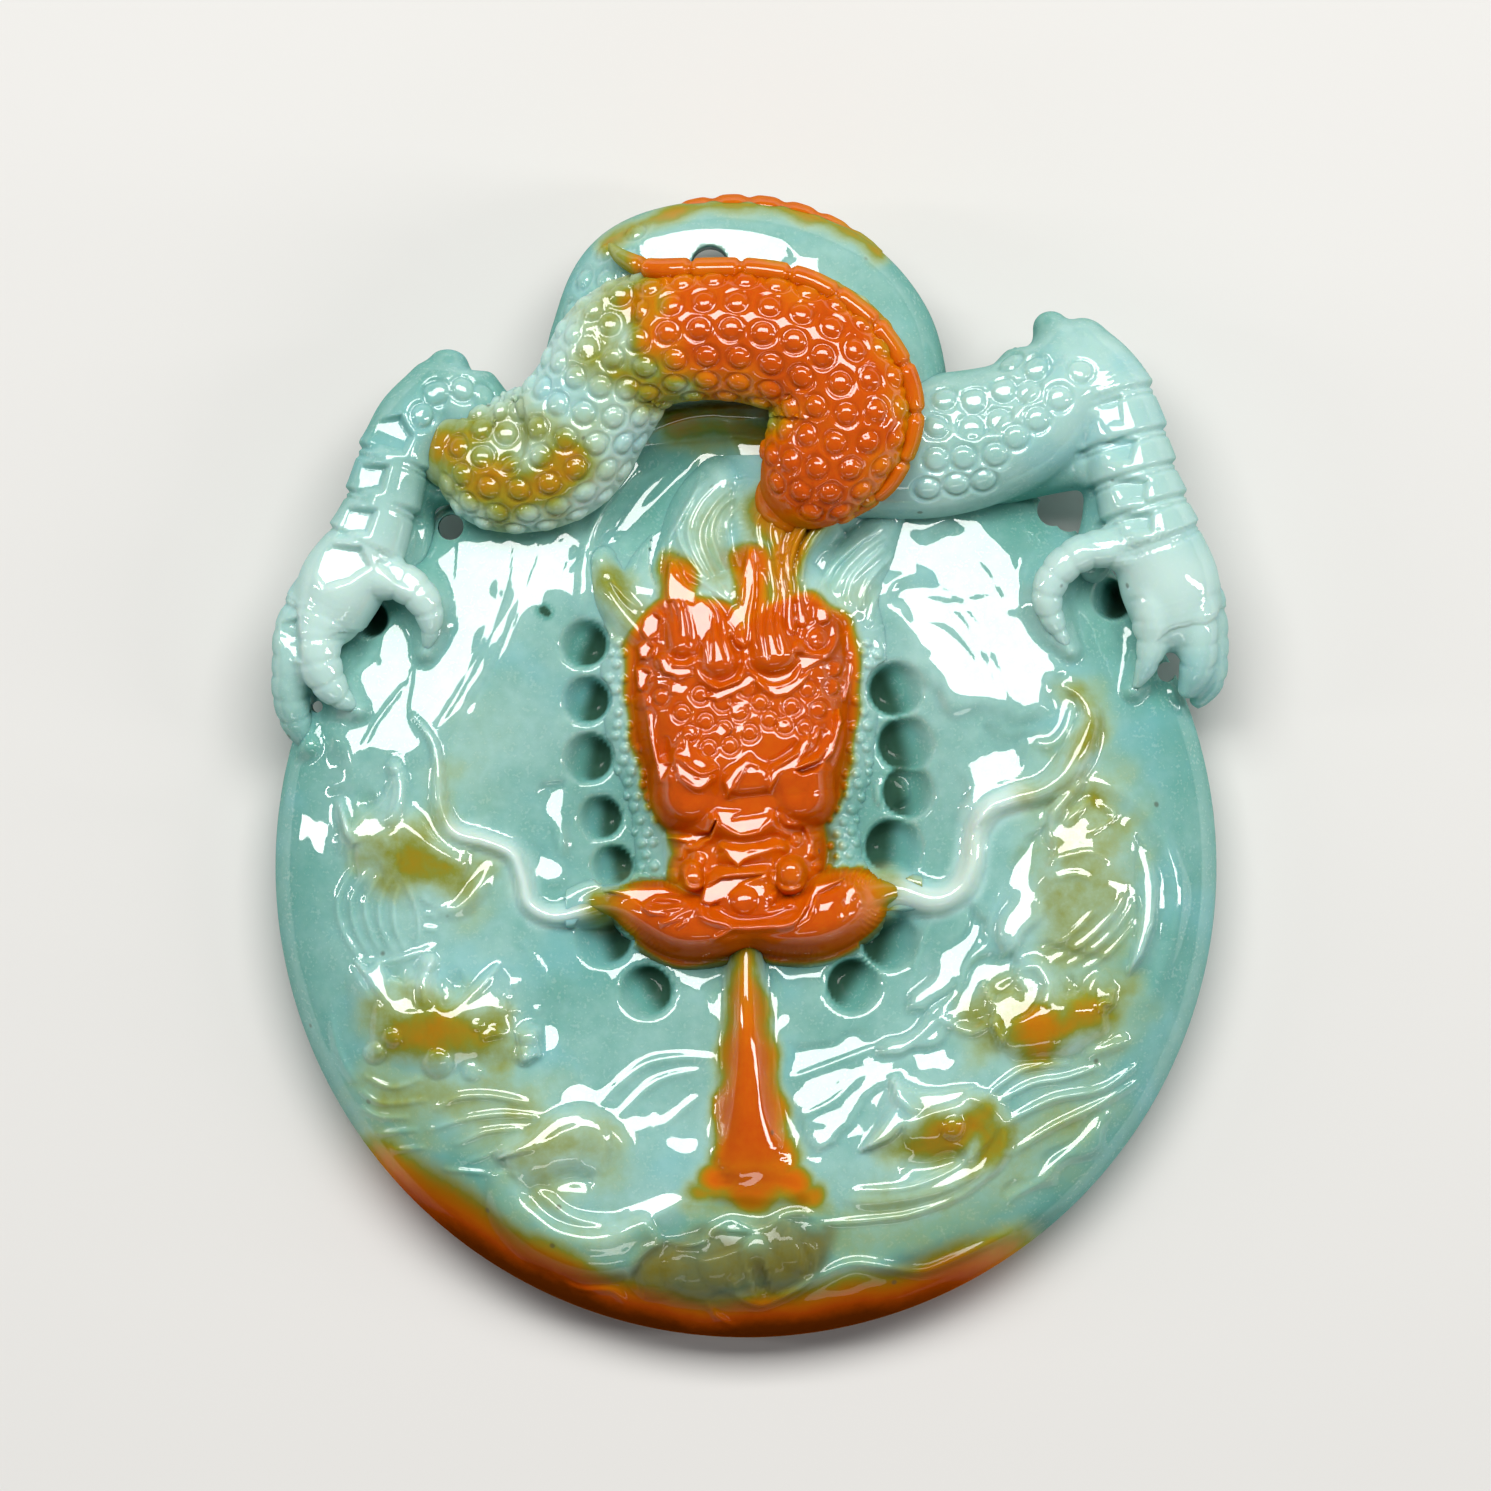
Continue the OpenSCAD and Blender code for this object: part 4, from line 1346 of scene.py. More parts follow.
    strokes: tuple[Stroke, ...] = (
        # upper left wave
        Stroke(0.45, 0.36, (((-18, -2.9), (-17.5, -1.6), (-17.5, -0.5), (-17.9, 0.3)),)),
        Stroke(0.35, 0.3, (((-20.5, -1.5), (-20.3, -2.6), (-20, -3.6)),)),
        Stroke(-0.3, 0.5, (((-19.4, -2), (-18.6, -1.6)),)),
        Stroke(0.16, 0.13, (
            ((-19.7, -4.8), (-20.6, -6.6), (-20.3, -8.3), (-19.5, -9.5)),
            ((-19, -5), (-19.9, -6.6), (-19.7, -8.1), (-19, -9.4)),
            ((-18.4, -5.2), (-19.2, -6.7), (-19, -8.1), (-18.4, -9.3)),
            ((-17.9, -5.4), (-18.5, -6.8), (-18.4, -8.1), (-17.8, -9.2)),
            ((-17.5, -5.8), (-17.8, -6.9), (-17.7, -8), (-17.2, -9.1)),
            ((-17.4, -5.4), (-16.8, -6.6), (-16.5, -7.8), (-16.6, -8.9)),
        )),
        Stroke(0.14, 0.12, (
            ((-16.5, -6.4), (-15.7, -6.9)), ((-16.3, -7.2), (-15.6, -7.5)), ((-16.3, -8), (-15.6, -8.1)),
        )),
        Stroke(0.2, 0.15, (((-19.8, -9.5), (-18.2, -9.7), (-15.6, -8.9)),)),
        # middle left wave
        Stroke(0.5, 0.36, (((-16.1, -12), (-16.3, -10.9), (-16.2, -9.9), (-15.7, -9.4)),)),
        Stroke(-0.35, 0.6, (((-18.2, -10.8), (-17.2, -10.6)),)),
        Stroke(-0.3, 0.55, (((-15, -11), (-14.2, -10.6)),)),
        Stroke(0.16, 0.15, (
            ((-19.4, -15.4), (-17.9, -16), (-16.4, -15.5)),
            ((-19.6, -16.1), (-18.4, -16.8), (-16.1, -16.6)), ((-19.6, -17), (-18.5, -17.5), (-17, -17.5)),
        )),
        Stroke(0.14, 0.14, (((-18.9, -18.4), (-16.6, -18.1)), ((-18, -19.2), (-16.2, -19)))),
        Stroke(0.24, 0.18, (((-15.8, -17.2), (-14.7, -16.5), (-12.9, -16.4), (-11, -16.8)),)),
        Stroke(0.2, 0.15, (
            ((-16.2, -18.2), (-14.4, -17.6), (-12.3, -17.3), (-10.2, -17.5)),
            ((-14.8, -18.9), (-13.2, -18.2), (-11.1, -18)),
        )),
        Stroke(0.16, 0.14, (((-14.3, -19.8), (-12, -18.9)), ((-15.4, -20.1), (-13, -20.3)))),
        Stroke(0.14, 0.2, (((-21, -12.4), (-20.6, -14.2), (-19.8, -15.8)),)),
        # lower left wave
        Stroke(-0.4, 0.55, (((-9.9, -20.7), (-8.9, -20.5), (-7.8, -20.8)),)),
        Stroke(0.2, 0.16, (((-10, -25.2), (-8.6, -26.1), (-6.9, -26.2), (-6.2, -27)),)),
        Stroke(0.16, 0.22, (((-7.8, -17.1), (-5.5, -15), (-3.6, -14.5), (-1.9, -14.6)),)),
        Stroke(0.14, 0.16, (((-6.6, -17.5), (-4.7, -15.7), (-2.4, -15.1)),)),
        Stroke(0.12, 0.16, (((-4.4, -18), (-2.6, -16.4)),)),
        Stroke(0.06, 0.1, (((-12, -8.1), (-10.4, -10), (-8.8, -13)),)),
        # cloud at the bottom
        Stroke(0.26, 0.2, ((
            (-6.2, -25.6), (-5.4, -24.3), (-4.4, -23.7), (-3.3, -23.8), (-2.5, -23.7), (-1.9, -23),
            (-0.9, -22.6), (0.1, -22.9), (0.8, -22.9), (1.5, -22.4), (2.4, -22.2), (3.2, -22.5),
            (3.8, -23.4),
        ),)),
        Stroke(-0.7, 0.8, (((0.1, -25.6), (0.9, -25.4)),)),
        Stroke(0.3, 0.2, ((
            (2.2, -23.2), (3.2, -24.2), (3.1, -25.4), (1.8, -26.4), (0.5, -26.9), (-0.6, -26.4),
            (-0.8, -25.4),
        ),)),
        Stroke(0.4, 0.28, ((
            (1.5, -26.6), (3.4, -25.5), (5.1, -24.8), (6.9, -25), (8.6, -25.2), (10.3, -24.6),
            (13.3, -23.2),
        ),)),
        Stroke(0.18, 0.14, (((-2.3, -26.5), (-1.7, -27.4), (-0.7, -28.1)),)),
        # upper right wave
        Stroke(0.3, 0.5, (
            ((15.6, -0.6), (18, -0.9), (19.4, -1.8), (20.6, -3.3), (21.4, -5.9), (21.1, -8.8), (19.9, -12)),
        )),
        Stroke(0.25, 0.5, (((18.6, -2.6), (19.6, -4.4), (20, -6.2), (19.8, -8.3), (19, -10.2)),)),
        Stroke(0.18, 0.14, (
            ((14.9, -9.8), (16.7, -8.7), (18.2, -7.2), (18.6, -6.3)),
            ((15.7, -10), (17.4, -8.9), (18.7, -7.5), (19.1, -6.6)),
            ((16.5, -10.2), (18, -9.2), (19.3, -7.7)), ((14.5, -9.2), (16, -8.3), (17.3, -7)),
        )),
        Stroke(0.36, 0.24, (((14.9, -2.5), (16.6, -0.5)),)),
        Stroke(0.24, 0.16, (((15.7, -2.8), (17.1, -1.5)),)),
        Stroke(0.2, 0.14, (((16.8, -3.3), (18.2, -2.4), (17.3, -1.7)),)),
        Stroke(0.14, 0.13, (
            ((14.8, -4.7), (16.9, -4.2), (18, -4.7)), ((15, -5.6), (16.2, -5.3), (17.2, -5.7)),
        )),
        Stroke(0.14, 0.16, (((12.8, -5.8), (11.6, -8.4), (9.7, -12.1), (7.3, -14.3)),)),
        Stroke(0.12, 0.16, (((11.4, -6.6), (9.1, -7.7), (7.9, -11.5)),)),
        # middle right wave
        Stroke(0.45, 0.34, (((14.6, -11.9), (14.9, -10.8), (14.4, -9.9), (13.4, -9.8)),)),
        Stroke(0.3, 0.24, (
            ((12.1, -12.4), (12.4, -13.4), (12.7, -14.2)), ((9.4, -12.4), (11, -13.2), (12.1, -12.6)),
        )),
        Stroke(-0.3, 0.45, (((13.1, -11.2), (13.5, -10.9)),)),
        Stroke(-0.25, 0.4, (((16, -10.8), (16.3, -10.6)),)),
        Stroke(0.24, 0.17, (
            ((11.7, -16.5), (12.8, -15.6), (13.9, -15), (16, -14.8)),
            ((12.4, -16.7), (14.1, -15.8), (15.8, -15.5), (17.6, -14.9)),
        )),
        Stroke(0.3, 0.22, (((12.7, -17.8), (15.1, -16.6), (17.6, -16.1), (19.4, -14.9)),)),
        Stroke(0.26, 0.22, (((12.9, -19.4), (15.1, -18), (17.4, -16.9), (19.5, -15.7)),)),
        Stroke(0.3, 0.32, (((16.7, -14.4), (17.9, -14), (19, -13.6)),)),
        Stroke(0.16, 0.4, (((12.7, -21.6), (15.1, -20), (18.1, -17.3)),)),
        # lower right wave
        Stroke(0.45, 0.34, (((7.2, -15.3), (7.5, -16.4), (8.4, -17.2)),)),
        Stroke(-0.4, 0.5, (((7.4, -19.9), (9, -19.9), (10.8, -19.3)),)),
        Stroke(0.18, 0.14, (((5.3, -21.1), (8.1, -20.9), (10.7, -19.7), (11.7, -18.6)),)),
        Stroke(0.26, 0.18, (((3.4, -22.8), (6, -22.6), (8.1, -22.3), (10.7, -21.3), (12.6, -19.8)),)),
        Stroke(0.14, 0.13, (((1.9, -15.6), (4.6, -14.6), (7.2, -13.6)),)),
        Stroke(0.12, 0.12, (((2.6, -17.4), (4.2, -16.6), (5.6, -15.2)), ((3.6, -19), (4.6, -17.6)))),
        # tip of the right whisker
        Stroke(0.35, 0.22, (((14.2, 1.2), (15.1, 1.2), (15.8, 2), (16.1, 3.2)),)),
        # edges left by the polishing on the plain ground
        Stroke(-0.05, 0.1, (
            ((-10.6, 11.4), (-11.6, 8), (-13.2, 4.4), (-15.4, 1)), ((-14.8, 11), (-15, 8.4), (-15.4, 6.4)),
        )),
        Stroke(-0.06, 0.12, (
            ((-12, 11.4), (-12.4, 8.2), (-14.4, 4), (-16.4, 1)), ((-17.2, 4.2), (-18.6, 2.4), (-19.4, 0.9)),
        )),
        Stroke(-0.05, 0.12, (((-16.9, 5), (-17.2, 2.6), (-16.6, 1.2)), ((9, 3), (9.4, -0.4), (8.8, -3.6)))),
        Stroke(0.04, 0.12, (((9.4, 9.4), (10.8, 8.2), (12, 6.4), (13.2, 3.2)),)),
        Stroke(-0.03, 0.12, (
            ((9.2, 8.6), (10.6, 7.2), (11.6, 5.4), (12.4, 3.2)), ((10.2, 11.4), (12, 9.4), (13, 6.8)),
        )),
        Stroke(-0.04, 0.12, (
            ((8.6, 8.3), (10.4, 8.2), (12.2, 8.5)), ((8.4, 7), (9.6, 6.9), (10.9, 5.6), (11.6, 4)),
            ((13.2, 6.2), (12.8, 4.8), (13.4, 3.4)),
        )),
    )
    knobs: tuple[Rows, ...] = (
        (-16.05, -9.7, 0.45, 0.3), (-17.8, 0.1, 0.4, 0.25), (-18.8, -14.3, 0.55, 0.4),
        (-17.9, -13.5, 0.48, 0.3), (-15.6, -14.8, 0.75, 0.45), (-13.9, -15.2, 0.5, 0.25),
        (-11.1, -13.3, 0.6, 0.35), (-11.3, -14.4, 0.5, 0.3), (-12.8, -13.2, 0.35, 0.2),
        (-13.6, -12.9, 0.3, 0.18), (17.7, -11.9, 0.42, 0.35), (10.15, -18, 0.6, 0.4),
        (7.1, -1.2, 0.85, 0.9), (-4.8, -25.2, 1.5, 0.25), (-2.7, -25, 1.7, 0.3), (-0.7, -24.6, 1.9, 0.3),
        (1.3, -24.3, 1.8, 0.3), (2.7, -24, 1.3, 0.25), (-12.3, -12, 0.2, 0.16), (-11.8, -12.1, 0.22, 0.18),
        (-12.1, -11.3, 0.2, 0.16), (-11.7, -10.8, 0.18, 0.14), (-13.2, -13.4, 0.24, 0.2),
        (-12.4, -13.3, 0.2, 0.18), (-10.6, -12.1, 0.2, 0.14),
    )
    trough_cut: tuple[float, float] = (0.7, 1.1)
    trough: Rows = ((-7.2, 10.6), (-5.4, 13.0), (-3.2, 15.0), (-0.9, 16.2))
    leaves: tuple[Spots, ...] = (
        (
            (-6.8, 11.8), (-6.4, 12.8), (-5.4, 14.1), (-4.2, 15), (-3.2, 15.3), (-4.1, 14.3), (-5.2, 13.1),
            (-6.1, 11.7),
        ),
        ((-2.8, 14.9), (-2.5, 15.6), (-1.1, 15.9), (-1.3, 15.2)),
    )
    back_slope: Rows = ((-6.4, 16.6, 3.6, 1.6, 2.6), (-3, 17.9, 3.8, 1.9, 3.2), (0.6, 17.9, 3.8, 1.9, 3.2))
    horn_rim: Rows = ((-8.5, 7.6), (-8.3, 9.4), (-8.1, 11.0), (-7.3, 12.8), (-5.6, 15.0))
    limb_skirt: float = 0.45
    pit_depth: float = 2.1
    claw_pit_depth: float = 3.0
    claw_lean: tuple[float, float] = (1.0, -0.2)
    leaf_lean: tuple[float, float] = (-0.05, 0.14)
    # Painted shade in the drilled hollows and along the bottom rim.
    pit_painted_shade: float = 1.3
    foot_painted_shade: float = 1.2
    foot_reach: tuple[float, float] = (-0.64, -0.9)
    skin_reach: tuple[float, float] = (-0.66, -0.93)
    skin_levels: tuple[float, float] = (5.6, 3.4)
    skin_side: float = 0.96
    # How much darker the skin turns at the very edge of the bottom rim, partly painted shade.
    rust_and_shade_edge: float = 0.35
    holes: Spots = (
        (-21.7, 3.05, 0.3), (20.9, 4.8, 0.5), (15.2, 12.9, 0.8), (16, 12.6, 0.78), (-15, 12.05, 0.66),
    )
    claw_pits: Spots = ((-19.05, 7.45, 0.98), (18.15, 8.45, 1.12))
    stains: tuple[Stain, ...] = (
        Stain(1, 1, 1, (
            (-0.2, -8.8, 0.5, 0.46), (-0.2, -10.6, 0.65, 0.62), (-0.15, -13.2, 0.9, 0.84),
            (-0.1, -15.2, 1.1, 0.92), (-0.1, -16.8, 1.35, 0.95), (0, -18.2, 1.6, 0.97),
            (0.15, -19.2, 1.85, 0.94), (0.25, -19.9, 1.9, 0.8),
        )),
        Stain(0.6, 0.88, 0.8, ((-1.7, -20.6), (0.2, -20.4), (2.2, -20.7))),
        Stain(0.3, 0.64, 1, ((-2.5, -21.3), (0.3, -21.1), (3.2, -21.4))),
        Stain(0.2, 0.36, 1.2, ((-3, -21.9), (0.3, -22), (3.8, -21.9))),
        Stain(1, 1, 2.4, (
            (-19, -3.6, 0.6, 0.34), (-17.4, -4.5, 1.2, 0.46), (-15.8, -4.5, 0.7, 0.46),
            (-14.4, -5.6, 1.1, 0.36),
        )),
        Stain(0.2, 0.32, 1.8, ((-15.3, -2.6), (-15.1, -0.4))),
        Stain(1, 1, 2.3, (
            (-18.4, -12, 0.7, 0.36), (-16.9, -13.1, 1.4, 0.5), (-15.2, -12.8, 0.9, 0.54),
            (-13.4, -13.6, 1.3, 0.42),
        )),
        Stain(0.1, 0.58, 1.6, ((-16.6, -13.2), (-14.8, -13.3))),
        Stain(0.9, 0.34, 2.6, ((-11.4, -19.1), (-9.4, -18.8), (-7.6, -19.2))),
        Stain(1.2, 0.34, 2.6, ((-5, -25.2), (0, -24.6), (2.6, -24.4))),
        Stain(1, 1, 1.8, (
            (13.3, -13.6, 0.5, 0.6), (14.4, -13.2, 1.1, 0.66), (15.6, -13.1, 0.6, 0.6),
            (16.7, -12.2, 0.8, 0.54),
        )),
        Stain(1.4, 0.42, 2.6, ((12.6, -12.6), (15, -12.6), (17.4, -12))),
        Stain(1, 1, 1.9, (
            (7.4, -19.2, 0.6, 0.4), (9.2, -18.6, 1.2, 0.54), (11.3, -17.9, 0.7, 0.56),
            (11.9, -19, 0.8, 0.5), (11, -20.4, 0.4, 0.4),
        )),
        Stain(0.2, 0.6, 1.3, ((10.6, -17.4), (12, -17.9), (12, -18.8))),
        Stain(2, 0.34, 2.6, ((16.4, -1.6), (16.8, -4), (16.4, -7.8))),
        Stain(0.4, 0.46, 2, ((17.2, -1.6), (18.2, -2.8))),
        Stain(0.3, 0.12, 1, (
            (7.2, -6.2), (9.1, -6.6), (10.4, -6.1), (11.1, -4.8), (11.3, -3.2), (12.1, -2),
        )),
        Stain(1.2, 0.22, 2.6, ((-12, -22.4), (-4, -24.2), (4, -23.8), (10, -22.4), (14, -20))),
        Stain(0.5, 0.45, 1.8, ((-5.4, -6.8), (-7.4, -6.9))),
        Stain(0.7, 0.5, 1.2, ((5, -6.4), (6.6, -6.3))),
        Stain(0.3, 0.14, 1.2, ((6.8, -6.2), (8.4, -6.3))),
        Stain(0.3, 0.36, 1.7, ((14, -1.2), (15.4, -0.6), (16.3, 0.5))),
        Stain(0.4, 0.48, 1.5, ((16.4, 0.6), (17, 2.4), (16.4, 3.6))),
        Stain(1.2, 0.34, 3.2, ((-18, -16.4), (-12, -17.2), (-10, -21))),
        Stain(1, 0.28, 3, ((6, -22.4), (12, -20.6), (16.4, -17))),
        Stain(1.2, 0.12, 2.6, ((-13.4, 2.4), (-14.2, -0.8))),
        Stain(0.7, 0.52, 1.6, ((-3.6, 17.2), (0, 16.9), (2.4, 15.8))),
    )
    # Painted light along the two whiskers.
    painted_light_patches: tuple[Stain, ...] = (
        Stain(0.6, 1.1, 0.6, (
            (7, -6.2), (9.1, -6.6), (10.4, -6.1), (11.1, -4.8), (11.3, -3.2), (12.1, -2), (13.3, -1.5),
        )),
        Stain(0.45, 0.8, 0.6, (
            (-7, -6.8), (-9.8, -7.4), (-11, -6.8), (-11.4, -5.4), (-11.9, -4.3), (-14.8, -3.2),
        )),
    )
    # Painted shade: on the cloud, along the lower rim, at the foot of the water column, under the coil, at
    # a small spot left of the head and at the lower left edge.
    painted_shade_patches: tuple[Stain, ...] = (
        Stain(1.6, 1.45, 1.5, ((-4.4, -25.2), (-2, -25), (0.6, -24.8), (2.4, -24.2))),
        Stain(0.4, 0.6, 1.4, ((9, -26.2), (12, -24.6), (15.4, -22.2))),
        Stain(0.3, 1.3, 0.9, ((-1.8, -21.5), (0.3, -21.7), (2.4, -21.6))),
        Stain(0.5, 0.5, 1.3, ((-3.4, 16.8), (0, 16.6), (2.2, 15.8))),
        Stain(0.15, 1.9, 0.3, ((-10.3, 7.85), (-10.1, 7.7))),
        Stain(0.6, 0.3, 2.4, ((-14, -21), (-9, -25.4), (-5, -27))),
    )

    @staticmethod
    def pit_lean(x: float, y: float) -> tuple[float, float]:
        """Which way the drill leaned in a hollow beside the head: under the head."""
        return -x, -0.4 * (y + 3)

    def from_middle(self, points: np.ndarray) -> tuple[np.ndarray, np.ndarray, np.ndarray]:
        """Places against the disc's middle.

        Args:
            points: The points.

        Returns:
            Their x and y over their distance, and the distance over the disc's radius.
        """
        x, y = points[:, 0] - self.stone.middle[0], points[:, 1] - self.stone.middle[1]
        away = np.maximum(np.hypot(x, y), 0.01)
        return x / away, y / away, away / self.stone.radius

    def gloom(self, points: np.ndarray) -> np.ndarray:
        """Painted shade in the drilled hollows, along the bottom rim and in patches, less painted light on
        the whiskers.

        Args:
            points: The disc's points.

        Returns:
            The gloom, below 0 where light is painted on the whiskers.
        """
        x, y, away = self.from_middle(points)
        # Painted shade along the bottom rim.
        foot = self.foot_painted_shade * ease(*self.foot_reach, y + 0.14 * x) * ease(0.82, 0.95, away)
        result = np.maximum(foot, stained(points, self.painted_shade_patches))
        # Painted shade in each drilled hollow, deepest on the side that the drill leaned to.
        pits = [(pit, self.pit_lean(*pit[:2]), (0.1, 0.95)) for pit in PITS]
        pits += [(pit, self.claw_lean, (0.0, 0.9)) for pit in self.claw_pits]
        for pit, towards, shade in pits:
            share, side = hollow_side(points, pit, towards)
            result = np.maximum(result, self.pit_painted_shade * ease(*shade, side) * ease(1.02, 0.8, share))
        # Painted light on the whiskers takes it below 0.
        return result - stained(points, self.painted_light_patches)

    def rim_skin(self, points: np.ndarray) -> np.ndarray:
        """The rusty skin left along the bottom rim, deepest at its very edge: partly its own colour, partly
        painted shade where the rim curves away.

        Args:
            points: The disc's points.

        Returns:
            The skin's depth at each.
        """
        x, y, away = self.from_middle(points)
        bottom = ease(*self.skin_reach, y + 0.15 * x)
        across = points[:, 0] - self.stone.middle[0]
        wander = 0.01 * np.sin(across * 0.5) + 0.006 * np.sin(across * 1.3 + 1)
        edge = ease(0.84, 1.0, away + wander)
        side = self.skin_side * (ease(*self.skin_levels, points[:, 2]) * ease(0.86, 0.94, away))
        # At the very edge the skin turns darker still: partly its own colour, partly painted shade.
        rim = 1 + self.rust_and_shade_edge * ease(0.9, 0.985, away)
        return np.sqrt(bottom) * np.maximum(edge, side) * rim

    def carve(self, points: np.ndarray) -> np.ndarray:
        """Works out the carved face's heights.

        Args:
            points: x and y of the points.

        Returns:
            The heights.
        """
        relief = Relief(points, self.stone.face(points[:, 0], points[:, 1]))
        for rows in Limb.LEFT_ROUTES + Limb.RIGHT_ROUTES:
            skirt = [(r[0], r[1], 0.0, r[3] + self.limb_skirt, 0.9) for r in rows]
            relief.swell(skirt, blend=0.5, power=2.0, lifted=True)
        relief.swell(self.back_slope, blend=0.9, power=2.2)
        relief.score(self.trough, *self.trough_cut)
        for corners in self.leaves:
            relief.plane(corners, self.leaf_lean, rise=0.0, soft=0.3)
        relief.stroke(self.horn_rim, rise=0.35, width=0.35)
        for rows in self.masses:
            relief.swell(rows, blend=0.4, power=3.0, lifted=True)
        for rows in self.crests:
            relief.crest(rows)
        for height, lean, corners in self.wedges:
            relief.wedge(corners, height, lean)
        for pit in PITS:
            relief.drill(pit, self.pit_depth, self.pit_lean(*pit[:2]))
        for threads in self.strokes:
            threads.carve(relief)
        for knob in self.knobs:
            relief.dome(*knob)
        for whisker in self.whiskers:
            relief.swell(whisker, blend=0.2, power=2.2, lifted=True)
        relief.swell(self.column, blend=0.5, power=2.2)
        for pit in self.claw_pits:
            relief.drill(pit, self.claw_pit_depth, self.claw_lean)
        return relief.z

    def build(self) -> None:
        """Makes the disc."""
        clay = Clay.sheet(self.cells, self.cells)
        grid = 2 * clay.points - 1
        u = grid[:, 0] + self.outer_share * np.sin(np.pi * grid[:, 0]) / np.pi
        v = grid[:, 1] - self.lower_share * (1 - grid[:, 1] ** 2)
        flat = np.stack([u * np.sqrt(1 - v**2 / 2), v * np.sqrt(1 - u**2 / 2)], axis=1)
        away = np.linalg.norm(flat, axis=1)
        flat *= (np.maximum(away, TINY) ** (self.crowding - 1))[:, None]
        flat = flat * self.stone.radius + np.array(self.stone.middle)
        plain = self.stone.face(flat[:, 0], flat[:, 1])
        inner = ease(1.0, self.plain_edge, away**self.crowding)
        clay.points = np.column_stack([flat, plain + (self.carve(flat) - plain) * inner])
        clay.edit(self.turn_over)
        for hole in self.holes:
            clay.bore((hole,), low=-1, high=16)
        points = clay.points
        skin = np.maximum(stained(points, self.stains), self.rim_skin(points))
        self.stone.hand_over(clay, "wave_disc", skin, self.gloom(points))

    def turn_over(self, inside: bmesh.types.BMesh) -> None:
        """Carries the face's edge round to the flat back and closes it.

        Args:
            inside: The face's mesh, with its edge open.
        """
        cx, cy = self.stone.middle
        edge = [e for e in inside.edges if e.is_boundary]
        for share in self.back_rings:
            verts, edge = draw_out(inside, edge)
            for vert in verts:
                away = math.hypot(vert.co.x - cx, vert.co.y - cy)
                vert.co.x = cx + (vert.co.x - cx) * share * self.stone.radius / away
                vert.co.y = cy + (vert.co.y - cy) * share * self.stone.radius / away
                vert.co.z = self.stone.back(share)
        bmesh.ops.edgeloop_fill(inside, edges=edge)
        bmesh.ops.recalc_face_normals(inside, faces=inside.faces)


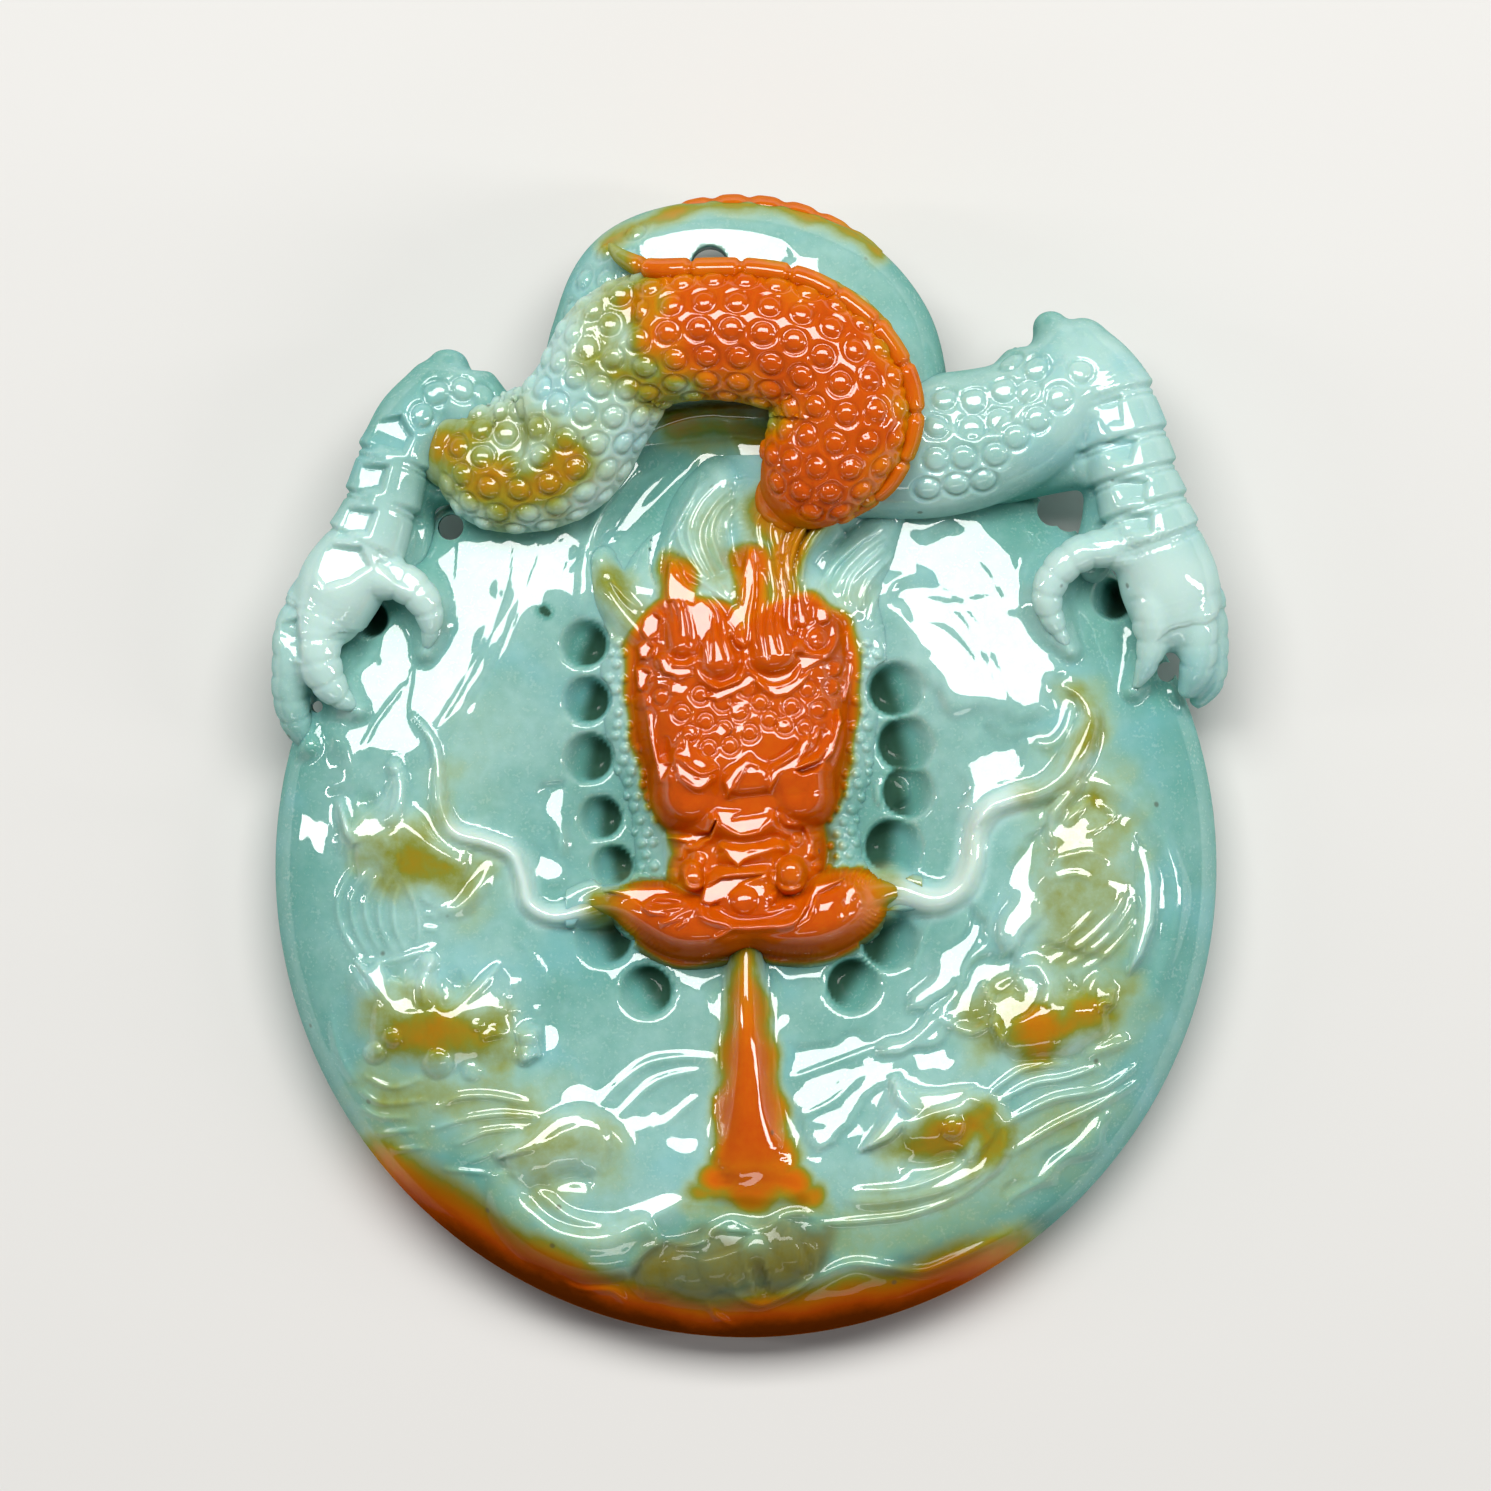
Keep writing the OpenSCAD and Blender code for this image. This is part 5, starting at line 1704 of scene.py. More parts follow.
@dataclass
class CoiledBody:
    """The scaled body that comes from the neck, turns over in front and ends at the left haunch."""

    stone: Stone
    rows: Rows = (
        (2, 13.3, 8.4, 1.8, 1.7), (3.3, 14.8, 9.8, 3.1, 3), (4.75, 17.4, 10.3, 3.7, 3.5),
        (3.6, 20.3, 10.4, 3.65, 3.5), (0.4, 21.5, 10.5, 3.5, 3.5), (-3.2, 21.6, 10.2, 3.4, 3.4),
        (-6.2, 20.7, 9.4, 3.4, 3.3), (-7.8, 18.2, 8.6, 3.3, 3.3), (-9.6, 15.9, 8, 3.6, 3.2),
        (-12, 15.2, 7.4, 3.5, 2.9), (-13.6, 15.6, 7, 3, 2.5), (-14.6, 16, 6.7, 2.2, 2),
    )
    facets: tuple[tuple[Rows, Spots], ...] = (
        (((-13, 16.8, 9.4), (0, 0.2)), (
            (-15.8, 16.8), (-14, 15.3), (-12.3, 15), (-11.2, 15.6), (-11, 16.6), (-11.6, 18.6),
            (-13.6, 18.8), (-16, 18.4),
        )),
        (((-7.2, 21.8, 11.7), (-0.1, 0.2)), (
            (-9.2, 20.2), (-7.4, 20.4), (-5.6, 22), (-5.6, 24.2), (-8.4, 23.4),
        )),
    )
    ridge: Rows = (
        (-6.9, 25.9, 9.5, 0.2, 0.4), (-6.3, 25.3, 10.2, 0.42, 0.7), (-5, 24.75, 10.9, 0.55, 1),
        (-3, 24.7, 11.5, 0.58, 1.05), (0.4, 24.65, 11.8, 0.58, 1.05), (3.3, 23.95, 11.9, 0.58, 1.05),
        (6.1, 22, 11.8, 0.58, 1.05), (7.8, 19.4, 11.6, 0.55, 1.05), (8.1, 16.8, 11.3, 0.5, 1.05),
        (7, 14.2, 10.6, 0.45, 1), (5.2, 12.8, 9.6, 0.35, 0.8), (3.9, 12.2, 9, 0.2, 0.4),
    )
    plate: float = 2.45
    nick_depth: float = 0.38
    nick_width: float = 0.06
    ridge_tone: float = 0.42
    ridge_stain: Stain = Stain(1, 0.9, 1.3, ((-4.9, 24.8), (0.4, 24.6), (5.8, 22), (7.7, 17), (5, 12.6)))
    scales: Scales = field(default_factory=Scales)
    stains: tuple[Stain, ...] = (
        Stain(3, 1, 2.4, ((-1.6, 22.2), (0.4, 21.6), (3.6, 20.3), (4.75, 17.4), (3.2, 14.6))),
        Stain(0.8, 0.74, 2.4, ((-4.9, 23.4), (-4.7, 21.6))),
        Stain(1.2, 0.74, 1.6, ((2.6, 13.4), (1.8, 12))),
        Stain(1, 0.38, 2.6, ((-6, 24.2), (-6.8, 22.4), (-7.6, 20.4))),
        Stain(0.7, 0.5, 2.2, ((-6.6, 19.4), (-4.6, 18.7), (-1.4, 17.6))),
        Stain(1.1, 0.56, 2.2, ((-15, 16), (-13.6, 14.6), (-11.8, 13.9), (-10.2, 14.3), (-8.9, 15.4))),
        Stain(0.9, 0.4, 2.2, ((-14.2, 16.8), (-10.6, 16.9))),
    )

    def notch(self, along: np.ndarray) -> np.ndarray:
        """Size of the ridge along its length: plates with a nick between them."""
        phase = np.abs((along / self.plate) % 1 - 0.5)
        return 1 - self.nick_depth * np.exp(-(((0.5 - phase) / self.nick_width) ** 2))

    def build(self) -> None:
        """Makes the body and its ridge."""
        clay = Clay.tube(self.rows, step=0.1, around=184)
        for (at, lean), corners in self.facets:
            clay.facet(at, lean, corners)
        spots = self.scales.centres(Curve(self.rows), first=0.05, last=0.99, lean=78)
        # Scales over a ground facet come down to it.
        landed = clay.drop(spots)
        ground = np.hypot(*(landed - spots)[:, :2].T) < 0.2
        spots[ground, 2] = np.minimum(spots[ground, 2], landed[ground, 2])
        # The body's foot and its end under the haunch stay plain.
        push = self.scales.height(clay.points, spots) * ease(5.8, 6.2, clay.points[:, 2])
        clay.push(push * ease(-16.0, -14.6, clay.points[:, 0]))
        self.stone.hand_over(clay, "coiled_body", stained(clay.points, self.stains, plain=0.03))
        clay = Clay.tube(self.ridge, step=0.12, around=40, crowd=1.0, swell=self.notch)
        skin = stained(clay.points, (self.ridge_stain,), self.ridge_tone)
        self.stone.hand_over(clay, "coil_ridge", skin)


@dataclass
class Arch:
    """The smooth loop behind the front coil, with a notched ridge and the cord's hole."""

    stone: Stone
    rows: Rows = (
        (-8.6, 17, 5.6, 2.2, 3), (-7.5, 21.4, 5.8, 2.5, 3.4), (-5.4, 24.3, 5.8, 3.1, 3.6),
        (-1, 25.1, 5.8, 3.3, 3.6), (3.3, 24.1, 5.8, 3.3, 3.6), (6.2, 21.4, 5.6, 3.1, 3.4),
        (7.5, 17.6, 5.4, 2.6, 3),
    )
    crest_middle: tuple[float, float] = (-0.6, 17.4)
    crest_r: float = 10.7
    crest_flare: float = 0.25
    crest_from: float = 50.0
    crest_to: float = 127.0
    crest_z: float = 5.6
    lobe: float = 1.75
    dimple: tuple[float, float] = (-2.3, 25.5)
    dimple_r: float = 0.5
    dimple_depth: float = 0.12
    # Painted shade over the whole arch.
    gloom: float = 0.55
    crest_tones: tuple[float, float] = (0.42, 0.88)
    cord_hole: Spots = ((-2.0, 25.1, 0.95),)
    turned: Spots = ((2.4, 27.6), (2.2, 24.2), (5.0, 22.4), (6.6, 19.4), (9.8, 19.4), (8.8, 24.6))
    patch: Spots = (
        (-5.4, 26.1), (-4.5, 27), (-2.6, 27.4), (0.6, 27.4), (1.6, 26.9), (2.1, 25.4), (1.4, 24.6),
        (-5.4, 24.6),
    )
    scales: Scales = field(default_factory=lambda: Scales(pitch=1.5, lane=1.35, dome_r=0.45, ring_r=0.58))

    def crest_rows(self) -> Rows:
        """Rows of the notched ridge along the arch's far side.

        Returns:
            The rows, which are fullest in the middle.
        """
        rows = []
        for angle in np.linspace(self.crest_from, self.crest_to, 9):
            turn = math.radians(angle)
            full = math.sin(math.pi * (angle - self.crest_from) / (self.crest_to - self.crest_from))
            reach = self.crest_r + self.crest_flare * (1 - full)
            x = self.crest_middle[0] + reach * math.cos(turn)
            y = self.crest_middle[1] + reach * math.sin(turn)
            rows.append((x, y, self.crest_z, 0.25 + 0.35 * full, 0.6 + 0.9 * full))
        return rows

    def notch(self, along: np.ndarray) -> np.ndarray:
        """Size of the ridge along its length: round lobes."""
        return 1 - 0.25 * np.abs(np.cos(np.pi * along / self.lobe)) ** 6

    def build(self) -> None:
        """Makes the arch and its ridge."""
        clay = Clay.tube(self.rows, step=0.14, around=120)
        clay.facet((-1.6, 26.0, 8.9), (-0.03, 0.2), self.patch, soft=0.3)
        clay.facet((4.8, 24.2, 8.9), (0.34, 0.2), self.turned, soft=0.5)
        away = np.hypot(clay.points[:, 0] - self.dimple[0], clay.points[:, 1] - self.dimple[1])
        clay.push(-self.dimple_depth * np.exp(-((away / self.dimple_r) ** 2)))
        spots = self.scales.centres(Curve(self.rows), first=0.16, last=0.36, lean=60)
        clay.push(self.scales.height(clay.points, spots))
        clay.bore(self.cord_hole, low=-1, high=13)
        rows = self.crest_rows()
        rim = Stain(0.2, 0.56, 0.9, tuple(r[:2] for r in rows))
        self.stone.hand_over(clay, "arch", stained(clay.points, (rim,)), self.gloom)
        clay = Clay.tube(rows, step=0.12, around=40, crowd=1.0, swell=self.notch)
        middle = ease(6.6, 4.2, np.abs(clay.points[:, 0] - self.crest_middle[0]))
        ends, full = self.crest_tones
        self.stone.hand_over(clay, "arch_ridge", ends + (full - ends) * middle)


@dataclass
class Limb:
    """A leg with its haunch, its banded shank and its digits, fused into one form."""

    LEFT_ROUTES: ClassVar[tuple[Rows, ...]] = (
        (
            (-13.4, 17.2, 5.8, 2, 2.3), (-14.6, 18.4, 6, 2.2, 2.5), (-15.1, 19.3, 5.9, 1.75, 2.3),
            (-15.1, 19.9, 5.8, 1.1, 1.7),
        ),
        (
            (-15.8, 18.9, 6, 1.5, 2.2), (-16.9, 17.2, 6.4, 1.9, 2.5), (-17.8, 15.2, 6.6, 1.85, 2.5),
            (-18.4, 13.2, 6.7, 1.8, 2.5), (-19.2, 11.2, 6.8, 1.9, 2.4), (-20.3, 9.3, 6.7, 2.1, 2.3),
            (-21, 7.8, 6.3, 1.8, 2),
        ),
        (
            (-19.8, 9.7, 7.2, 1, 1.4), (-18.2, 9.5, 7.7, 1.05, 1.3), (-16.9, 9, 7.8, 1, 1.2),
            (-16.1, 8, 7.7, 0.85, 1), (-15.95, 6.9, 7.3, 0.55, 0.75), (-16.2, 5.8, 6.9, 0.18, 0.3),
        ),
        (
            (-20.9, 8.6, 6.8, 1.3, 1.5), (-21.6, 6.9, 7.2, 1.25, 1.4), (-21.5, 5.3, 7.2, 1.15, 1.3),
            (-20.9, 4, 7, 0.9, 1.05), (-20.1, 3.2, 6.7, 0.5, 0.65), (-19.6, 2.9, 6.5, 0.18, 0.3),
        ),
        (
            (-21.6, 8.8, 5.9, 1.1, 1.5), (-22.7, 7, 5.9, 1.1, 1.4), (-22.95, 5.2, 5.7, 1, 1.35),
            (-23, 3.6, 5.4, 0.95, 1.2), (-22.7, 2.2, 4.8, 0.8, 1), (-22.3, 1.2, 4.2, 0.4, 0.6),
        ),
        ((-21.8, 8, 4.6, 1.4, 1.5), (-22.3, 6, 4.6, 1.2, 1.4), (-22.4, 4.2, 4.4, 0.8, 1.2)),
    )
    RIGHT_ROUTES: ClassVar[tuple[Rows, ...]] = (
        (
            (14.6, 18.8, 6.2, 2.8, 2.9), (15.3, 20.2, 6.2, 2.4, 2.7), (15.4, 21.1, 6.1, 1.8, 2.2),
            (15, 22, 5.9, 0.9, 1.4),
        ),
        (
            (16.6, 21, 6.1, 1.5, 2), (17.8, 19.2, 6.5, 2, 2.5), (18.6, 16.6, 6.7, 2.15, 2.5),
            (19.3, 14.2, 6.8, 2.1, 2.5), (20.1, 11.8, 6.9, 2.2, 2.4), (20.9, 9.4, 6.6, 2.4, 2.3),
            (21.3, 7.8, 6.2, 2.1, 2.1),
        ),
        (
            (19.2, 10.6, 7.2, 1.1, 1.4), (17.8, 10.95, 7.7, 1, 1.3), (16.3, 10.6, 7.9, 0.95, 1.15),
            (15.2, 9.6, 7.8, 0.9, 1.05), (14.8, 8.4, 7.6, 0.8, 0.95), (15.3, 7, 7.2, 0.55, 0.65),
            (16, 5.9, 6.9, 0.18, 0.3),
        ),
        (
            (19.9, 9.8, 7.2, 1.1, 1.4), (20.1, 8.2, 7.4, 0.95, 1.25), (20.1, 6.5, 7.2, 0.85, 1.1),
            (19.8, 5.1, 6.9, 0.6, 0.85), (19.2, 3.9, 6.5, 0.18, 0.3),
        ),
        (
            (21.6, 9.6, 6.7, 1.2, 1.5), (22.2, 8, 6.8, 1.05, 1.4), (22.4, 6.2, 6.6, 1, 1.3),
            (22.3, 4.9, 6.2, 0.9, 1.2), (21.9, 3.9, 5.7, 0.55, 0.8),
        ),
        (
            (21.9, 9.8, 5.4, 1.2, 1.5), (22.9, 7.6, 5.1, 1, 1.4), (23.1, 5.6, 4.9, 0.9, 1.3),
            (23, 4.3, 4.7, 0.8, 1.1), (22.4, 3.3, 4.5, 0.45, 0.7),
        ),
    )
    LEFT_WEB: ClassVar[Rows] = (
        (-17.8, 14.2, 4.9, 1.2, 1.7), (-16.4, 14.3, 4.7, 1.3, 1.8), (-14.8, 14.5, 4.6, 1.3, 1.8),
        (-13.4, 14.6, 4.6, 1.2, 1.8),
    )
    RIGHT_WEB: ClassVar[Rows] = (
        (12, 14.4, 4.6, 1.4, 1.8), (14.4, 15, 5, 1.45, 2.1), (16.6, 15.4, 5.2, 1.5, 2.2),
        (18.4, 15, 5.6, 1.3, 2),
    )
    RIGHT_BODY: ClassVar[Rows] = (
        (5.5, 15.8, 6.4, 3.4, 3.2), (9.5, 16.1, 6.7, 3.6, 3.3), (13, 17, 6.8, 3.3, 3.2),
        (15.4, 18.6, 6.6, 2.9, 3), (17, 19.4, 6.3, 2.1, 2.7),
    )
    LEFT_BRIDGE: ClassVar[Rows] = (
        (-16.9, 14, 4.8, 0.9, 1.5), (-16.75, 12.6, 4.6, 0.95, 1.4), (-16.9, 11.2, 4.6, 1, 1.4),
        (-17.4, 10, 4.6, 1, 1.3),
    )
    RIGHT_BRIDGE: ClassVar[Rows] = (
        (17.7, 14.8, 5, 1, 1.6), (17.75, 13.2, 4.6, 1.05, 1.5), (17.6, 11.6, 4.6, 1.15, 1.5),
        (17, 10.2, 4.6, 1.1, 1.4),
    )
    LEFT_SPOTS: ClassVar[Spots] = ((-16.3, 17.5), (-15.6, 18.7), (-14.3, 18.9), (-13.2, 18.6))
    RIGHT_SPOTS: ClassVar[Spots] = (
        (9.6, 18.4), (11.1, 18.3), (12.6, 18.8), (14.2, 19.9), (12.9, 20.2), (11, 16.9), (9.3, 17),
        (9.2, 15.3), (10.6, 15.4), (12.2, 15.5), (13.2, 16.4), (14.3, 17.3), (15.4, 18.4), (16.5, 19.8),
        (8.8, 13.8), (12.4, 17.2), (13.9, 18.6), (10.3, 14), (11.6, 14.2),
    )
    LEFT_FACETS: ClassVar[tuple[tuple[Rows, Spots], ...]] = (
        (((-18.1, 16.4, 8.2), (-0.2, 0.18)), (
            (-19.1, 16), (-17.2, 15.6), (-16.8, 16.5), (-17.4, 17.5), (-18.6, 17.3),
        )),
        (((-19.1, 14.4, 8.25), (-0.2, 0.18)), ((-19.9, 13.6), (-18.3, 13.8), (-18, 15), (-19.3, 15.1))),
        (((-19.7, 12.2, 8.3), (-0.2, 0.18)), ((-20.6, 11.5), (-19, 11.6), (-18.6, 12.8), (-20, 12.95))),
        (((-20.4, 10, 8.5), (-0.12, 0.18)), (
            (-22, 10.3), (-21.2, 8.9), (-19.9, 9.3), (-18.9, 10), (-19.4, 10.9), (-20.8, 11.1),
        )),
        (((-17.6, 9.8, 8.65), (-0.05, 0.2)), (
            (-18.5, 10.2), (-17.7, 9.3), (-16.4, 8.5), (-15.9, 9.2), (-17.2, 10.4),
        )),
        (((-22.9, 6.4, 7), (-0.2, 0.15)), ((-23.5, 7.2), (-22.6, 7.4), (-22.4, 5.4), (-23.3, 5.2))),
    )
    RIGHT_FACETS: ClassVar[tuple[tuple[Rows, Spots], ...]] = (
        (((12.2, 18.6, 9.25), (0, 0.2)), (
            (8.4, 17.9), (10.6, 16.6), (12.2, 16.7), (13.4, 18), (15.9, 20.7), (14.3, 20.6), (12.9, 19.4),
            (11.4, 19.2), (9, 19.6),
        )),
        (((17.9, 17.7, 8.9), (0, 0.2)), ((17.2, 16.9), (18.6, 17.1), (18.4, 18.5), (17.4, 18.2))),
        (((18, 15.7, 8.75), (-0.05, 0.2)), ((16.8, 16.3), (17.3, 15.1), (19, 15.2), (19.2, 16.3))),
        (((18.7, 13.7, 8.8), (-0.05, 0.2)), ((17.6, 14.3), (17.9, 13.1), (19.7, 13.2), (19.8, 14.3))),
        (((18.9, 12.1, 8.75), (-0.1, 0.2)), ((17.8, 12.5), (18.1, 11.6), (20, 11.7), (20, 12.6))),
        (((17.2, 11.5, 8.9), (0, 0.2)), (
            (15.9, 11.3), (17.2, 10.9), (18.6, 10.9), (18.2, 11.8), (16.8, 11.9),
        )),
    )

    stone: Stone
    name: str
    routes: tuple[Rows, ...]
    body: tuple[Rows, ...]
    bands: tuple[float, ...]
    spots: Spots
    facets: tuple[tuple[Rows, Spots], ...]
    # Painted shade on the shank and the haunch, and painted light on the paw.
    shank_gloom: float
    haunch_painted_shade: float = 0.4
    paw_painted_light: float = 0.35
    voxel: float = 0.21
    passes: int = 6
    band_rise: float = 0.22
    first_band: float = 1.6
    groove_gap: float = 0.32
    groove_depth: float = 0.1
    groove_width: float = 0.1
    wrinkle_pitch: float = 1.05
    wrinkle_depth: float = 0.07
    wrinkle_width: float = 0.16
    scales: Scales = field(
        default_factory=lambda: Scales(dome_r=0.5, rise=0.09, ring_r=0.67, ring_depth=0.16, ring_width=0.12)
    )

    @classmethod
    def left(cls, stone: Stone) -> "Limb":
        """The leg on the left, at the coil's end."""
        body, bands = (cls.LEFT_WEB, cls.LEFT_BRIDGE), (15.3, 13.2, 11.1)
        spots, facets = cls.LEFT_SPOTS, cls.LEFT_FACETS
        return cls(stone, "left_leg", cls.LEFT_ROUTES, body, bands, spots, facets, shank_gloom=0.6)

    @classmethod
    def right(cls, stone: Stone) -> "Limb":
        """The leg on the right, with the scaled body that it grows from."""
        body, bands = (cls.RIGHT_BODY, cls.RIGHT_WEB, cls.RIGHT_BRIDGE), (18.4, 16.3, 14.6, 12.9, 11.4)
        spots, facets = cls.RIGHT_SPOTS, cls.RIGHT_FACETS
        return cls(stone, "right_leg", cls.RIGHT_ROUTES, body, bands, spots, facets, shank_gloom=0.05)

    def band_push(self, points: np.ndarray) -> np.ndarray:
        """How far the shank's bands push its points out: each rises to a double groove at its foot.

        Args:
            points: The leg's points.

        Returns:
            The push, in millimetres.
        """
        push = np.zeros(len(points))
        curve = Curve(self.routes[1])
        shank = curve.look(points, flat=False)
        close = ease(1.4, 1.1, shank.share)
        marks = [float(np.interp(-y, -curve.place[:, 1], curve.along)) for y in self.bands]
        edges = [marks[0] - self.first_band, *marks, curve.along[-1]]
        for first, last in zip(edges[:-1], edges[1:]):
            inside = (shank.along > first) & (shank.along <= last)
            rise = self.band_rise * (shank.along - first) / (last - first)
            rise *= ease(edges[0], marks[0], shank.along) * ease(last, last - 0.3, shank.along)
            push[shank.index] += np.where(inside, close * rise, 0)
        for mark in marks:
            for gap in (0.0, self.groove_gap):
                away = (shank.along - mark - gap) / self.groove_width
                push[shank.index] -= self.groove_depth * close * np.exp(-(away**2))
        return push

    def wrinkle_push(self, points: np.ndarray) -> np.ndarray:
        """How far the wrinkles across the digits draw their points in.

        Args:
            points: The leg's points.

        Returns:
            The push, in millimetres.
        """
        push = np.zeros(len(points))
        for rows in self.routes[2:]:
            line = Curve(rows)
            digit = line.look(points, flat=False)
            close = ease(1.35, 1.0, digit.share)
            for wrinkle in np.arange(1.4, line.along[-1] - 1.0, self.wrinkle_pitch):
                away = (digit.along - wrinkle) / self.wrinkle_width
                push[digit.index] -= self.wrinkle_depth * close * np.exp(-(away**2))
        return push

    def build(self) -> None:
        """Makes the leg."""
        parts = [Clay.tube(rows, step=0.3, around=28) for rows in self.routes + self.body]
        clay = parts[0].join(parts[1:]).fuse(self.voxel, self.passes)
        for (at, lean), corners in self.facets:
            clay.facet(at, lean, corners, soft=0.16)
        points = clay.points
        scales = self.scales.height(points, clay.drop(self.spots))
        clay.push(scales + self.band_push(points) + self.wrinkle_push(points))
        x, y = np.abs(clay.points[:, 0]), clay.points[:, 1]
        # Painted shade on the upper leg, and painted light on the paw.
        upper = self.shank_gloom + (self.haunch_painted_shade - self.shank_gloom) * ease(16.5, 14.5, x)
        gloom = upper * ease(11.0, 14.5, y) - self.paw_painted_light * ease(12.5, 9.5, y)
        self.stone.hand_over(clay, self.name, np.zeros(len(clay.points)), gloom)


@dataclass
class DragonHead:
    """The orange head with its flames, its mane and the beaded band round it."""

    stone: Stone
    low: tuple[float, float] = (-9.2, -10.9)
    high: tuple[float, float] = (8.6, 15.6)
    spacing: float = 0.071
    floor: float = 3.4
    skull: Rows = (
        (-0.5, 7.1, 6.4, 4.9, 3.1), (-0.3, 5.9, 6.5, 5.75, 3.3), (-0.45, 4.2, 6.5, 5.65, 3.55),
        (-0.45, 2.6, 6.5, 5.45, 3.7), (-0.2, 1, 6.5, 5, 3.8), (-0.3, -0.4, 6.5, 4.65, 3.8),
        (-0.4, -1.2, 6.5, 4.3, 3.6),
    )
    lip: Rows = (
        (-9, -7.1, 6, 0.5, 0.8), (-7.9, -6.7, 6.2, 0.65, 1.1), (-6.4, -6.75, 6.4, 0.95, 2.2),
        (-4.9, -7.2, 6.5, 1.6, 3.2), (-3.3, -7.7, 6.6, 1.95, 3.6), (-1.5, -7.8, 6.6, 1.7, 3.8),
        (0.1, -7.7, 6.6, 1.5, 3.8), (1.7, -7.75, 6.6, 1.75, 3.8), (3.3, -7.4, 6.6, 2.1, 3.7),
        (4.9, -6.8, 6.5, 1.9, 3.2), (6.2, -6.35, 6.3, 1.1, 2), (7.2, -6.2, 6.2, 0.7, 1.3),
        (8.3, -6.3, 6.1, 0.5, 0.8),
    )
    jaw: tuple[Rows, ...] = (
        ((-0.2, -2.6, 6.4, 3.9, 2.6), (-0.2, -4.2, 6.4, 4.1, 2.8), (-0.3, -5.8, 6.4, 3.9, 2.9)),
        ((-2.9, -0.4, 7.6, 2.1, 3.1), (-2.95, -1.3, 7.5, 2, 3)),
        ((2.3, -0.4, 7.6, 2, 3.1), (2.45, -1.3, 7.5, 1.85, 3)),
        ((-0.6, -0.6, 8, 1.2, 2.8), (0.4, -0.5, 8, 1.2, 2.8)),
    )
    bridge: tuple[Rows, ...] = (
        ((-0.4, -2.2, 8.7, 1.7, 1.2), (-0.3, -3.3, 8.95, 1.25, 1.2)),
        ((0.1, -3.9, 8.7, 1.95, 1.2), (-0.1, -4.8, 8.9, 1.5, 1.2)),
        ((-0.4, -5.6, 8.9, 2, 1.2), (-0.2, -6.5, 9.1, 1.6, 1.2), (0, -6.9, 9.1, 1.3, 1.2)),
        ((2, -5.2, 9.1, 0.8, 1.2), (2, -5.6, 9.2, 0.75, 1.2)),
        ((-2.9, -5.2, 9, 0.6, 1.1), (-2.8, -5.6, 9.1, 0.55, 1.1)),
    )
    brows: tuple[Rows, ...] = (
        ((-3.9, 7.6, 8.6, 0.5, 0.8), (-3.65, 6.8, 9, 0.75, 1), (-3.4, 6.1, 9.3, 0.9, 1.1)),
        ((-2.3, 7.8, 8.7, 0.8, 0.9), (-1.9, 6.5, 9.4, 1, 1.1), (-1.55, 5.3, 9.7, 1.15, 1.1)),
        ((0.4, 8, 8.8, 0.8, 0.9), (0.9, 6.8, 9.5, 1.2, 1.1), (1.2, 5.6, 9.8, 1.35, 1.1)),
    )
    flames: tuple[Rows, ...] = (
        (
            (-2.9, 6.4, 9.1, 1.2, 1.1), (-3.1, 7.7, 8.8, 1, 1.1), (-3.6, 9, 8.55, 0.6, 1),
            (-3.85, 10.1, 8.3, 0.25, 0.7),
        ),
        ((-1.3, 6.7, 9.2, 0.6, 1), (-1.9, 7.9, 8.9, 0.45, 0.9), (-3, 8.9, 8.6, 0.3, 0.7)),
        (
            (-0.4, 6.4, 9.2, 0.6, 1), (-0.15, 8, 8.9, 0.5, 1), (0, 9.4, 8.6, 0.42, 0.9),
            (0.05, 10.8, 8.3, 0.22, 0.6),
        ),
        ((0.7, 6.8, 9.2, 0.7, 1.1), (0.75, 8.4, 8.8, 0.55, 1), (0.6, 9.8, 8.5, 0.3, 0.7)),
        ((1.4, 6.9, 9.2, 0.5, 1), (1.3, 8.6, 8.8, 0.4, 0.9), (1, 10, 8.6, 0.25, 0.6)),
        (
            (2, 6.9, 9.2, 0.4, 1), (1.9, 8.6, 8.9, 0.36, 0.9), (1.9, 10.2, 8.9, 0.3, 0.8),
            (2.6, 12.1, 9.1, 0.35, 0.6),
        ),
        (
            (2.6, 7.2, 9, 0.35, 0.9), (2.4, 9, 8.8, 0.3, 0.8), (2.6, 10.6, 8.9, 0.3, 0.7),
            (3.6, 12.2, 9, 0.35, 0.6),
        ),
    )
    mounds: tuple[Rows, ...] = (
        (
            (-2.6, 8.4, 7.2, 2.3, 1.4), (-2.5, 10.4, 7, 1.9, 1.4), (-2.1, 12.4, 6.8, 1.5, 1.2),
            (-1.3, 14.2, 6.4, 1.1, 1),
        ),
        (
            (1.4, 8.4, 8.4, 1.6, 1.2), (1.2, 10.2, 8.2, 1.5, 1.2), (1.5, 12, 8, 1.9, 1.2),
            (2.4, 14, 8, 2.4, 1.2),
        ),
        ((4.7, 8, 7, 1.4, 1.2), (5.2, 9.6, 6.8, 1.5, 1.1), (6, 11.2, 6.4, 1.4, 1), (7, 12.6, 6, 1, 0.7)),
        (
            (-5.2, 6.4, 7, 1, 1.5), (-6.2, 7.6, 6.8, 1.15, 1.4), (-6.9, 8.8, 6.7, 1.1, 1.2),
            (-7.4, 10.3, 6.4, 0.7, 0.8),
        ),
    )
    scales: Spots = (
        (-4.46, 3.5), (-3.39, 2.73), (-2.47, 3.65), (-2.2, 2.3), (-1.36, 3.24), (-0.53, 2.77), (-0.1, 3.9),
        (0.49, 3.24), (0.96, 2.4), (-0.02, 1.75), (-1.27, 1.95), (-1, 1.1), (-2.05, 1), (2.07, 3.05),
        (2.9, 3.88), (3.45, 2.87), (4.1, 3.98), (4.2, 4.9), (1.75, 2.1), (-3, 1.7), (2.75, 2),
    )
